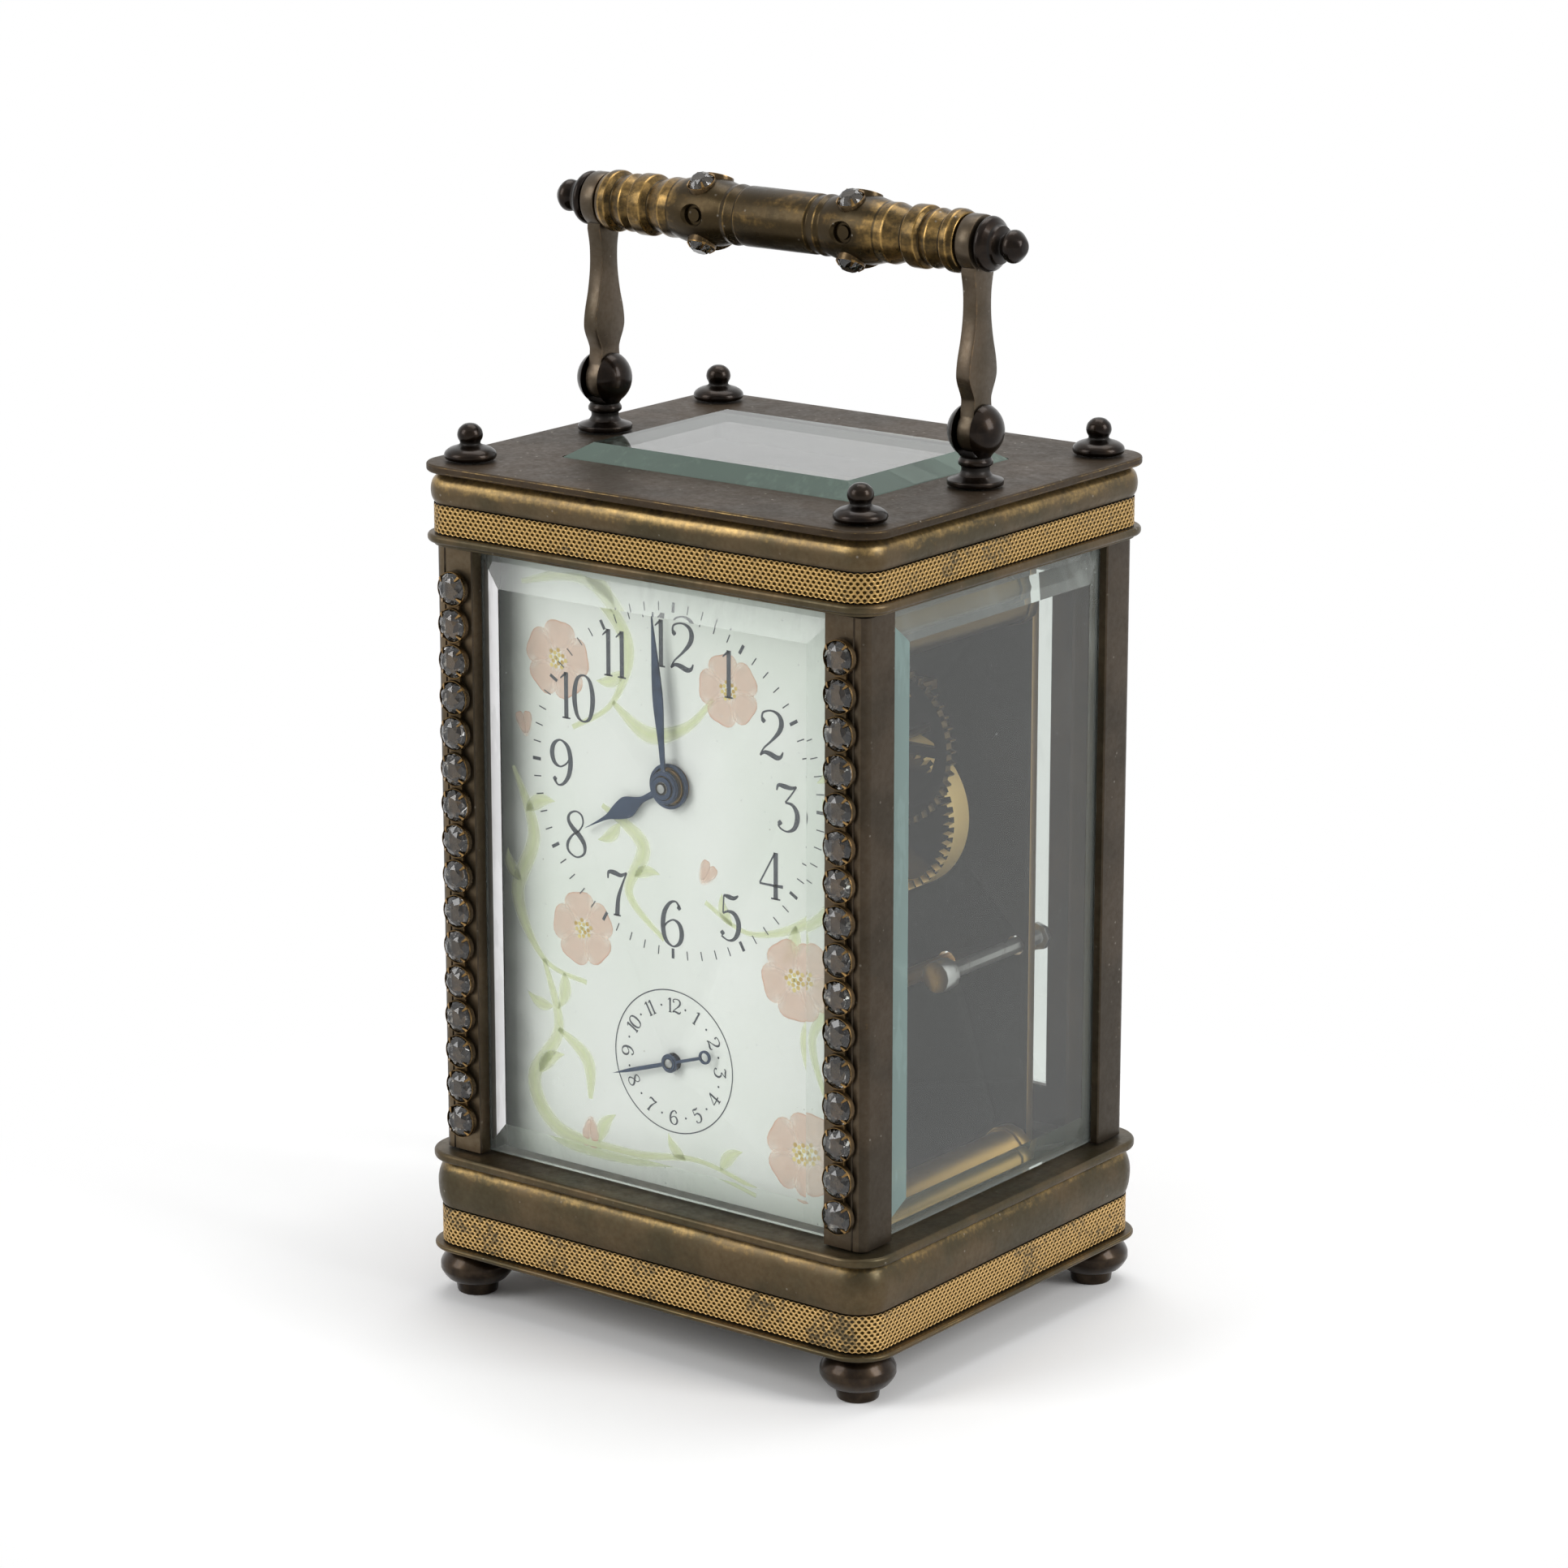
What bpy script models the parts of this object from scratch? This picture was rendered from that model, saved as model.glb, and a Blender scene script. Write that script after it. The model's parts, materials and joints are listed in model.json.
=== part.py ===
"""Brass carriage clock: glazed case, jewelled front posts, alarm dial, folding handle and its movement.

Lengths are millimetres until a mesh is made. +Z is up, the dial faces -Y, and the origin lies on the
ground under the middle of the case. Every moving piece has its own origin on the axis it turns about.
"""

import math
from dataclasses import dataclass

import bmesh
import bpy
from mathutils import Matrix, Vector
from mathutils.geometry import tessellate_polygon

MM = 0.001
SEAT = 0.3  # air left where one piece rests on another or passes through it

# Case, read from the photograph and scaled by the pitch of the stones
CASE_HALF_X = 38.0
CASE_HALF_Y = 32.6
CASE_CORNER = 4.8
FOOT_HEIGHT = 6.8
FLANGE_THICK = 1.1
BASE_BAND_HEIGHT = 5.3
BASE_BELLY_HEIGHT = 6.7
BASE_LIP_THICK = 1.3
POST_HEIGHT = 85.5
CROWN_LIP_HEIGHT = 1.9
CROWN_BAND_HEIGHT = 3.9
CROWN_BELLY_HEIGHT = 4.2
TOP_PLATE_THICK = 1.2
FRAME_WALL = 4.2  # thickness of the hollow mouldings

# How far each moulding stands outside the top plate's outline
FLANGE_OUT = 0.7
BASE_BAND_OUT = -0.4
BASE_LIP_OUT = 0.6
CROWN_BAND_OUT = -0.93
CROWN_LIP_OUT = 0.0

Z_FLANGE = FOOT_HEIGHT
Z_BASE_BAND = Z_FLANGE + FLANGE_THICK
Z_BASE_BELLY = Z_BASE_BAND + BASE_BAND_HEIGHT
Z_BASE_LIP = Z_BASE_BELLY + BASE_BELLY_HEIGHT
Z_DECK = Z_BASE_LIP + BASE_LIP_THICK
Z_CROWN_LIP = Z_DECK + POST_HEIGHT
Z_CROWN_BAND = Z_CROWN_LIP + CROWN_LIP_HEIGHT
Z_CROWN_BELLY = Z_CROWN_BAND + CROWN_BAND_HEIGHT
Z_TOP_PLATE = Z_CROWN_BELLY + CROWN_BELLY_HEIGHT
Z_TOP = Z_TOP_PLATE + TOP_PLATE_THICK

# Corner posts and the glasses that slide into their grooves
POST_INSET = 2.0
POST_X = 6.6
POST_Y = 6.4
POST_ROUND = 1.4
GLASS_THICK = 2.2
GLASS_SETBACK = 1.6
GLASS_EDGE = 1.1
GLASS_BEVEL = 3.8
GROOVE_DEPTH = 1.5
POST_OUTER_X = CASE_HALF_X - POST_INSET
POST_OUTER_Y = CASE_HALF_Y - POST_INSET
POST_INNER_X = POST_OUTER_X - POST_X
POST_INNER_Y = POST_OUTER_Y - POST_Y
WALL_LOW = Z_DECK + SEAT
WALL_HIGH = Z_CROWN_LIP - SEAT

# Top glass
TOP_GLASS_HALF_X = 24.2
TOP_GLASS_HALF_Y = 17.6
TOP_GLASS_BEVEL = 3.0
TOP_GLASS_RISE = 1.9
TOP_GLASS_DEPTH = 2.4

# Rear door, hinged at the left seen from the front
DOOR_THICK = 2.8
DOOR_BACK_SET = 0.8
DOOR_STILE = 4.9
DOOR_RAIL = 5.5
DOOR_PIN_RADIUS = 0.6
DOOR_PIN_REACH = 1.2
DOOR_HALF_X = POST_INNER_X - SEAT
DOOR_AXIS_Y = POST_OUTER_Y - DOOR_BACK_SET - DOOR_THICK / 2
DOOR_AXIS_X = -DOOR_HALF_X + DOOR_THICK / 2

# Feet, finials and stones
FOOT_X = CASE_HALF_X - 5.0
FOOT_Y = CASE_HALF_Y - 5.0
FOOT_RADIUS = 5.1
FINIAL_X = CASE_HALF_X - 5.6
FINIAL_Y = CASE_HALF_Y - 5.6
STONE_PITCH = 5.03
STONE_CUP_RADIUS = 2.4
STONE_CUP_DEPTH = 1.3
STONE_TABLE_RADIUS = 1.3
STONE_HEIGHT = 2.2
STONE_CLEAR = 4.7  # from the deck to the lowest stone's middle
STONE_LOW = Z_DECK + STONE_CLEAR
STONE_COUNT = 1 + int((POST_HEIGHT - STONE_CLEAR - STONE_CUP_RADIUS - SEAT) / STONE_PITCH)

# Folding handle
PIVOT_RISE = 7.45
PIVOT_X = CASE_HALF_X - 6.85
BALL_RADIUS = 3.8
TONGUE_THICK = 2.3
TONGUE_RADIUS = 2.9
ARM_LENGTH = 24.6
EYE_RADIUS = 3.75
SPIGOT_RADIUS = 1.8
HANDLE_PIN_RADIUS = 0.6
COLLAR_X = 12.4
Z_PIVOT = Z_TOP + PIVOT_RISE
ARM_IN = PIVOT_X - TONGUE_THICK / 2
ARM_OUT = PIVOT_X + TONGUE_THICK / 2

# Dial and hands
DIAL_THICK = 1.2
DIAL_HALF_X = POST_INNER_X + 2.1
DIAL_FRONT = -(POST_INNER_Y - 0.2)
DIAL_BACK = DIAL_FRONT + DIAL_THICK
DIAL_LOW = Z_DECK - 1.7
DIAL_HIGH = Z_CROWN_LIP - 1.7
CENTRE_DROP = 40.2  # from the top plate down to the hands' centre
ALARM_DROP = 78.7
CENTRE_Z = Z_TOP - CENTRE_DROP
ALARM_Z = Z_TOP - ALARM_DROP
MINUTE_HAND = 23.1
HOUR_HAND = 16.6
ALARM_HAND = 10.3
MINUTE_ANGLE = -5.0
HOUR_ANGLE = 240.5
ALARM_ANGLE = 251.5

# Movement plates
PLATE_THICK = 1.5
PLATE_HALF_X = POST_INNER_X - 1.4
PLATE_LOW = Z_BASE_BAND + SEAT
PLATE_HIGH = Z_CROWN_LIP - 2.7
MOTION_SPACE = 4.4
REAR_SPACE = 7.6
FRONT_PLATE_Y = DIAL_BACK + MOTION_SPACE
INSIDE_FRONT = FRONT_PLATE_Y + PLATE_THICK
BEHIND_PLATE = DOOR_AXIS_Y - DOOR_THICK / 2 - REAR_SPACE
INSIDE_BACK = BEHIND_PLATE - PLATE_THICK
PILLAR_RADIUS = 3.0
PILLAR_X = PLATE_HALF_X - PILLAR_RADIUS
PILLAR_LOW = Z_DECK - 0.4
PILLAR_HIGH = PLATE_HIGH - 5.0

# Wheels: teeth, and the module each pair shares
BARREL_TEETH = 60
CENTRE_PINION = 10
BARREL_MODULE = 0.5
CENTRE_TEETH = 48
THIRD_PINION = 6
CENTRE_MODULE = 0.5
THIRD_TEETH = 45
CONTRATE_PINION = 6
THIRD_MODULE = 0.5
CONTRATE_TEETH = 48
ESCAPE_PINION = 6
ESCAPE_TEETH = 15
CANNON_TEETH = 8
MINUTE_WHEEL_TEETH = 24
CANNON_MODULE = 0.54
MINUTE_PINION = 8
HOUR_TEETH = 32
HOUR_MODULE = CANNON_MODULE * (CANNON_TEETH + MINUTE_WHEEL_TEETH) / (MINUTE_PINION + HOUR_TEETH)

ROOT_DEPTH = 0.9  # of a wheel's teeth, in modules
WHEEL_THICK = 1.2
WHEEL_RIM = 1.9
RATCHET_TEETH = 18
RATCHET_MODULE = 0.65
ALARM_TEETH = 30
ALARM_MODULE = 0.6

# Where the wheels stand between the plates
CENTRE = (0.0, CENTRE_Z)
BARREL_X = -7.0
CONTRATE_X = 9.0
CONTRATE_DROP = 9.7
CONTRATE_AXIS = (CONTRATE_X, CENTRE_Z - CONTRATE_DROP)
CONTRATE_RADIUS = 11.0
CONTRATE_WALL = 1.0
CONTRATE_SPACE = 8.9  # from the contrate's teeth to the back plate
CENTRE_WHEEL_LEAD = 4.0
THIRD_WHEEL_LEAD = 2.5
BARREL_SPACE = 2.9
BARREL_CLEAR = 1.0
CONTRATE_FRONT = INSIDE_BACK - CONTRATE_SPACE
CENTRE_WHEEL_Y = CONTRATE_FRONT - CENTRE_WHEEL_LEAD
THIRD_WHEEL_Y = CENTRE_WHEEL_Y - THIRD_WHEEL_LEAD
BARREL_FRONT = INSIDE_FRONT + BARREL_SPACE
BARREL_BACK = THIRD_WHEEL_Y - BARREL_CLEAR
BARREL_RADIUS = BARREL_MODULE * BARREL_TEETH / 2 - 1.1
CONTRATE_PITCH_RADIUS = CONTRATE_RADIUS - CONTRATE_WALL / 2
ESCAPE_PINION_RADIUS = CONTRATE_PITCH_RADIUS * ESCAPE_PINION / CONTRATE_TEETH
ESCAPE_Y = CONTRATE_FRONT + 0.4 - ESCAPE_PINION_RADIUS
ESCAPE_X = CONTRATE_AXIS[0]
ALARM_BARREL_X = 13.5
ALARM_BARREL_RISE = 6.3
HAMMER_INSET = 3.0
HAMMER_RISE = 10.8
BELL_DROP = 1.2
BELL_RADIUS = 12.5
BELL_HEIGHT = 5.4
ALARM_BARREL_AXIS = (ALARM_BARREL_X, ALARM_Z + ALARM_BARREL_RISE)
HAMMER_AXIS = (PLATE_HALF_X - HAMMER_INSET, ALARM_Z + HAMMER_RISE)
BELL_AXIS = (0.0, ALARM_Z - BELL_DROP)

# Platform escapement on top of the plates
PLATFORM_THICK = 1.1
Z_PLATFORM = PLATE_HIGH + SEAT
Z_PLATFORM_TOP = Z_PLATFORM + PLATFORM_THICK
BALANCE_X = 1.0
BALANCE_Y = 0.0
BALANCE_RADIUS = 7.5
LEVER_DISTANCE = 5.2


@dataclass(frozen=True)
class Finish:
    """Colour and surface of one material."""

    colour: tuple
    roughness: float
    metallic: float


PATINA = Finish((0.075, 0.060, 0.043), 0.42, 0.9)
DARK_BRONZE = Finish((0.045, 0.035, 0.028), 0.30, 0.9)
GILT = Finish((0.46, 0.31, 0.12), 0.35, 1.0)
BRASS = Finish((0.50, 0.36, 0.15), 0.30, 1.0)
STEEL = Finish((0.36, 0.36, 0.37), 0.28, 1.0)
BLUED = Finish((0.02, 0.03, 0.07), 0.25, 0.9)
GLASS = Finish((0.72, 0.82, 0.78), 0.05, 0.0)
PORCELAIN = Finish((0.86, 0.88, 0.85), 0.18, 0.0)
PASTE = Finish((0.60, 0.60, 0.58), 0.08, 0.1)


def clear_scene():
    """Remove whatever the scene holds."""
    for item in list(bpy.data.objects):
        bpy.data.objects.remove(item, do_unlink=True)


def make_material(name, finish):
    """Give a piece its own material."""
    material = bpy.data.materials.new(name)
    material.use_nodes = True
    shader = material.node_tree.nodes["Principled BSDF"]
    shader.inputs["Base Color"].default_value = (*finish.colour, 1.0)
    shader.inputs["Roughness"].default_value = finish.roughness
    shader.inputs["Metallic"].default_value = finish.metallic
    material.diffuse_color = (*finish.colour, 1.0)
    return material


def add_piece(name, mesh_data, finish, at=(0.0, 0.0, 0.0), smooth=False):
    """Make a named object from (points, faces) in millimetres, with its origin at a place."""
    points, faces = mesh_data
    mesh = bpy.data.meshes.new(name)
    work = bmesh.new()
    corners = [work.verts.new(Vector(p) * MM) for p in points]
    for face in faces:
        work.faces.new([corners[i] for i in face])
    bmesh.ops.recalc_face_normals(work, faces=work.faces)
    work.to_mesh(mesh)
    work.free()
    for polygon in mesh.polygons:
        polygon.use_smooth = smooth
    mesh.materials.append(make_material(name + "_finish", finish))
    item = bpy.data.objects.new(name, mesh)
    item.location = Vector(at) * MM
    bpy.context.collection.objects.link(item)
    return item


def add_cutter(name, mesh_data, at=(0.0, 0.0, 0.0)):
    """Make an object that only shapes another one."""
    item = add_piece(name, mesh_data, PATINA, at)
    item.hide_render = True
    item.display_type = "WIRE"
    return item


def combine(item, other, operation):
    """Cut another object from a piece, or join it on."""
    step = item.modifiers.new(other.name, "BOOLEAN")
    step.operation = operation
    step.solver = "EXACT"
    step.object = other


def circle(radius, count, at=(0.0, 0.0), turn=0.0):
    """Return the corners of a regular polygon."""
    corners = []
    for i in range(count):
        angle = turn + 2 * math.pi * i / count
        corners.append((at[0] + radius * math.cos(angle), at[1] + radius * math.sin(angle)))
    return corners


def rectangle(half_x, half_y, at=(0.0, 0.0)):
    """Return the corners of a rectangle."""
    x, y = at
    signs = ((-1, -1), (1, -1), (1, 1), (-1, 1))
    return [(x + sign_x * half_x, y + sign_y * half_y) for sign_x, sign_y in signs]


def rounded_rectangle(half_x, half_y, radius, steps=4):
    """Return the outline of a rectangle with round corners, always with the same number of points."""
    corners = []
    for quarter, (sign_x, sign_y) in enumerate([(1, 1), (-1, 1), (-1, -1), (1, -1)]):
        middle_x = sign_x * (half_x - radius)
        middle_y = sign_y * (half_y - radius)
        for i in range(steps + 1):
            angle = math.pi / 2 * (quarter + i / steps)
            corners.append((middle_x + radius * math.cos(angle), middle_y + radius * math.sin(angle)))
    return corners


def lay(points, axis):
    """Turn points built along Z so that their axis is X, Y or Z."""
    if axis == "X":
        return [(w, u, v) for u, v, w in points]
    if axis == "Y":
        return [(u, w, v) for u, v, w in points]
    return points


def turned(profile, count, axis="Z", turn=0.0):
    """Spin (radius, height) pairs about the axis; both end radii are 0, or the profile is a ring."""
    closed_ring = profile[0][0] > 0 and profile[-1][0] > 0
    points = []
    rings = []
    for radius, height in profile:
        if radius == 0:
            rings.append([len(points)])
            points.append((0.0, 0.0, height))
            continue
        rings.append(list(range(len(points), len(points) + count)))
        points += [(x, y, height) for x, y in circle(radius, count, turn=turn)]
    faces = []
    pairs = list(zip(rings, rings[1:]))
    if closed_ring:
        pairs.append((rings[-1], rings[0]))
    for low, high in pairs:
        for i in range(count):
            j = (i + 1) % count
            if len(low) == 1:
                faces.append((low[0], high[j], high[i]))
            elif len(high) == 1:
                faces.append((low[i], low[j], high[0]))
            else:
                faces.append((low[i], low[j], high[j], high[i]))
    return lay(points, axis), faces


def looped(levels, axis="Z"):
    """Join outlines with equal numbers of points, level by level, and round again to the first one."""
    points = []
    rings = []
    for outline, height in levels:
        rings.append(list(range(len(points), len(points) + len(outline))))
        points += [(x, y, height) for x, y in outline]
    faces = []
    for low, high in zip(rings, rings[1:] + rings[:1]):
        for i in range(len(low)):
            j = (i + 1) % len(low)
            faces.append((low[i], low[j], high[j], high[i]))
    return lay(points, axis), faces


def solid_levels(levels):
    """Close a stack of outlines with a flat face at each end."""
    points = []
    rings = []
    for outline, height in levels:
        rings.append(list(range(len(points), len(points) + len(outline))))
        points += [(x, y, height) for x, y in outline]
    faces = [tuple(rings[0]), tuple(rings[-1])]
    for low, high in zip(rings, rings[1:]):
        for i in range(len(low)):
            j = (i + 1) % len(low)
            faces.append((low[i], low[j], high[j], high[i]))
    return points, faces


def cap(loops):
    """Triangulate an outline with holes, given as lists of (index, x, y)."""
    flat = [corner for loop in loops for corner in loop]
    shape = [[Vector((x, y, 0.0)) for _, x, y in loop] for loop in loops]
    return [tuple(flat[i][0] for i in triangle) for triangle in tessellate_polygon(shape)]


@dataclass(frozen=True)
class Step:
    """One length of a stepped body: its outline, where it ends, and windows through it alone."""

    outline: list
    end: float
    windows: tuple = ()


def stepped(start, steps, axis="Z", bore=None):
    """Build one closed body from outlines stacked along an axis; neighbours lie one inside the other."""
    points = []
    faces = []

    def ring(outline, height):
        first = len(points)
        points.extend((x, y, height) for x, y in outline)
        return [(first + i, x, y) for i, (x, y) in enumerate(outline)]

    def wall(low, high):
        for i in range(len(low)):
            j = (i + 1) % len(low)
            faces.append((low[i][0], low[j][0], high[j][0], high[i][0]))

    def size(loop):
        return abs(sum(a[1] * b[2] - b[1] * a[2] for a, b in zip(loop, loop[1:] + loop[:1])))

    height = start
    before = None
    bore_low = ring(bore, start) if bore else None
    for step in steps:
        low = ring(step.outline, height)
        high = ring(step.outline, step.end)
        wall(low, high)
        low_windows = [ring(window, height) for window in step.windows]
        high_windows = [ring(window, step.end) for window in step.windows]
        for low_window, high_window in zip(low_windows, high_windows):
            wall(low_window, high_window)
        if before is None:
            faces.extend(cap([low] + low_windows + ([bore_low] if bore else [])))
        else:
            last, last_windows = before
            if size(last) > size(low):
                faces.extend(cap([last, low] + last_windows))
            else:
                faces.extend(cap([low, last] + low_windows))
        before = (high, high_windows)
        height = step.end
    last, last_windows = before
    bore_high = ring(bore, height) if bore else None
    faces.extend(cap([last] + last_windows + ([bore_high] if bore else [])))
    if bore:
        wall(bore_low, bore_high)
    return lay(points, axis), faces


def swept_frame(levels, opening, low, high):
    """Build a hollow moulding: (outset, height) pairs outside, and one straight opening inside."""
    rings = []
    for out, height in levels:
        radius = max(CASE_CORNER + out, 0.5)
        rings.append((rounded_rectangle(CASE_HALF_X + out, CASE_HALF_Y + out, radius), height))
    inner = rounded_rectangle(opening[0], opening[1], 1.0)
    rings.append((inner, high))
    rings.append((inner, low))
    return looped(rings)


def tooth_ring(teeth, module, turn, addendum, dedendum, foot_share, tip_share):
    """Return the outline of a toothed wheel, with one tooth centred on an angle."""
    pitch = 2 * math.pi / teeth
    root = module * teeth / 2 - dedendum * module
    tip = module * teeth / 2 + addendum * module
    corners = []
    for i in range(teeth):
        middle = turn + i * pitch
        for radius, offset in ((root, -foot_share), (tip, -tip_share), (tip, tip_share), (root, foot_share)):
            angle = middle + offset * pitch / 2
            corners.append((radius * math.cos(angle), radius * math.sin(angle)))
    return corners


def wheel_outline(teeth, module, turn):
    """Return the outline of a wheel that meets a pinion."""
    return tooth_ring(
        teeth, module, turn, addendum=0.7, dedendum=ROOT_DEPTH, foot_share=0.44, tip_share=0.16,
    )


def pinion_outline(teeth, module, turn):
    """Return the outline of a pinion's leaves."""
    return tooth_ring(teeth, module, turn, addendum=0.55, dedendum=1.1, foot_share=0.34, tip_share=0.22)


def gap_turn(direction, teeth):
    """Return the turn that puts a gap, not a tooth, in a direction."""
    return direction + math.pi / teeth


def wheel_windows(inner, outer, arms, steps=3, arm_half=0.7, turn=0.0):
    """Return the openings between the arms of a crossed-out wheel."""
    windows = []
    for i in range(arms):
        begin = turn + 2 * math.pi * i / arms
        end = turn + 2 * math.pi * (i + 1) / arms
        corners = []
        for radius, order in ((inner, range(steps + 1)), (outer, range(steps, -1, -1))):
            lean = math.asin(arm_half / radius)
            for k in order:
                angle = begin + lean + (end - begin - 2 * lean) * k / steps
                corners.append((radius * math.cos(angle), radius * math.sin(angle)))
        windows.append(corners)
    return tuple(windows)


def meeting_point(first, first_radius, second, second_radius, side):
    """Return where two circles cross, on one side of the line between their centres."""
    dx = second[0] - first[0]
    dy = second[1] - first[1]
    apart = math.hypot(dx, dy)
    along = (first_radius**2 - second_radius**2 + apart**2) / (2 * apart)
    across = side * math.sqrt(first_radius**2 - along**2)
    return (first[0] + (along * dx - across * dy) / apart, first[1] + (along * dy + across * dx) / apart)


def rim_inside(teeth, module):
    """Return the inner radius of a crossed-out wheel's rim."""
    return module * (teeth / 2 - ROOT_DEPTH) - WHEEL_RIM


def bearing(source, target):
    """Return the angle of the line from one centre to another."""
    return math.atan2(target[1] - source[1], target[0] - source[0])


BARREL_DISTANCE = BARREL_MODULE * (BARREL_TEETH + CENTRE_PINION) / 2
BARREL_AXIS = (BARREL_X, CENTRE_Z - math.sqrt(BARREL_DISTANCE**2 - BARREL_X**2))
THIRD_AXIS = meeting_point(
    CENTRE,
    CENTRE_MODULE * (CENTRE_TEETH + THIRD_PINION) / 2,
    CONTRATE_AXIS,
    THIRD_MODULE * (THIRD_TEETH + CONTRATE_PINION) / 2,
    side=1,
)
MINUTE_WHEEL_AXIS = (-CANNON_MODULE * (CANNON_TEETH + MINUTE_WHEEL_TEETH) / 2, CENTRE_Z)


def build_base():
    """Flange plate, patterned band and hollow moulding of the base."""
    top = Z_BASE_BAND - SEAT
    outer = [
        (FLANGE_OUT - 0.3, Z_FLANGE),
        (FLANGE_OUT, Z_FLANGE + 0.25),
        (FLANGE_OUT, top - 0.2),
        (FLANGE_OUT - 0.2, top),
    ]
    rings = [
        (rounded_rectangle(CASE_HALF_X + out, CASE_HALF_Y + out, CASE_CORNER + out), height)
        for out, height in outer
    ]
    add_piece("base_plate", solid_levels(rings), PATINA)

    band_top = Z_BASE_BELLY - SEAT
    inside_x = CASE_HALF_X - FRAME_WALL
    inside_y = CASE_HALF_Y - FRAME_WALL
    band = [(BASE_BAND_OUT, Z_BASE_BAND), (BASE_BAND_OUT, band_top)]
    add_piece("base_band", swept_frame(band, (inside_x, inside_y), Z_BASE_BAND, band_top), GILT)

    base = Z_BASE_BELLY
    lip = Z_BASE_LIP
    outside = [
        (BASE_BAND_OUT - 0.1, base),
        (0.0, base + 0.22 * BASE_BELLY_HEIGHT),
        (0.1, base + 0.55 * BASE_BELLY_HEIGHT),
        (-0.4, base + 0.82 * BASE_BELLY_HEIGHT),
        (-1.2, lip - 0.1),
        (BASE_LIP_OUT - 0.2, lip),
        (BASE_LIP_OUT, lip + 0.3),
        (BASE_LIP_OUT, Z_DECK - 0.3),
        (BASE_LIP_OUT - 0.3, Z_DECK),
    ]
    levels = [
        (rounded_rectangle(CASE_HALF_X + out, CASE_HALF_Y + out, CASE_CORNER + out), height)
        for out, height in outside
    ]
    opening = rounded_rectangle(DIAL_HALF_X + 0.4, POST_INNER_Y + 0.4, 1.0)
    hollow = rounded_rectangle(inside_x, inside_y, 1.0)
    levels.append((opening, Z_DECK))
    levels.append((opening, lip - 1.2))
    levels.append((hollow, lip - 1.2))
    levels.append((hollow, base))
    moulding = add_piece("base_moulding", looped(levels), PATINA)
    hole = turned(
        [(0, Z_DECK - DOOR_PIN_REACH - 0.4), (DOOR_PIN_RADIUS + 0.3, Z_DECK - DOOR_PIN_REACH - 0.4),
         (DOOR_PIN_RADIUS + 0.3, Z_DECK + 1.0), (0, Z_DECK + 1.0)], 10,
    )
    cutter = add_cutter("base_pin_hole", hole, (DOOR_AXIS_X, DOOR_AXIS_Y, 0.0))
    combine(moulding, cutter, "DIFFERENCE")


def build_crown():
    """Lip, patterned band, belly and top plate of the crown."""
    low = Z_CROWN_LIP
    top = Z_CROWN_BAND - SEAT
    lip_levels = [
        (-0.9, low),
        (-0.9, low + 0.4),
        (CROWN_LIP_OUT - 0.2, low + 0.5),
        (CROWN_LIP_OUT, low + 0.8),
        (CROWN_LIP_OUT, top - 0.3),
        (CROWN_LIP_OUT - 0.25, top),
    ]
    opening = (TOP_GLASS_HALF_X + 1.3, TOP_GLASS_HALF_Y + 1.4)
    lip = add_piece("crown_lip", swept_frame(lip_levels, opening, low, top), PATINA)
    hole = turned(
        [(0, low - 1.0), (DOOR_PIN_RADIUS + 0.3, low - 1.0),
         (DOOR_PIN_RADIUS + 0.3, low + DOOR_PIN_REACH + 0.1), (0, low + DOOR_PIN_REACH + 0.1)], 10,
    )
    cutter = add_cutter("crown_pin_hole", hole, (DOOR_AXIS_X, DOOR_AXIS_Y, 0.0))
    combine(lip, cutter, "DIFFERENCE")

    inside = (CASE_HALF_X - FRAME_WALL, CASE_HALF_Y - FRAME_WALL)
    band_top = Z_CROWN_BELLY - SEAT
    band = [(CROWN_BAND_OUT, Z_CROWN_BAND), (CROWN_BAND_OUT, band_top)]
    add_piece("crown_band", swept_frame(band, inside, Z_CROWN_BAND, band_top), GILT)

    belly_top = Z_TOP_PLATE - SEAT
    belly = [
        (CROWN_BAND_OUT - 0.1, Z_CROWN_BELLY),
        (-0.65, Z_CROWN_BELLY + 0.18 * CROWN_BELLY_HEIGHT),
        (-0.55, Z_CROWN_BELLY + 0.45 * CROWN_BELLY_HEIGHT),
        (-0.85, Z_CROWN_BELLY + 0.72 * CROWN_BELLY_HEIGHT),
        (-1.7, belly_top),
    ]
    add_piece("crown_moulding", swept_frame(belly, inside, Z_CROWN_BELLY, belly_top), PATINA)

    plate = [
        (-0.25, Z_TOP_PLATE),
        (0.0, Z_TOP_PLATE + 0.25),
        (0.0, Z_TOP - 0.2),
        (-0.2, Z_TOP),
    ]
    opening = (TOP_GLASS_HALF_X + SEAT, TOP_GLASS_HALF_Y + SEAT)
    add_piece("top_plate", swept_frame(plate, opening, Z_TOP_PLATE, Z_TOP), PATINA)

    edge = rectangle(TOP_GLASS_HALF_X, TOP_GLASS_HALF_Y)
    flat = rectangle(TOP_GLASS_HALF_X - TOP_GLASS_BEVEL, TOP_GLASS_HALF_Y - TOP_GLASS_BEVEL)
    glass = [(edge, Z_TOP - TOP_GLASS_DEPTH), (edge, Z_TOP), (flat, Z_TOP + TOP_GLASS_RISE)]
    add_piece("top_glass", solid_levels(glass), GLASS)


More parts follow.
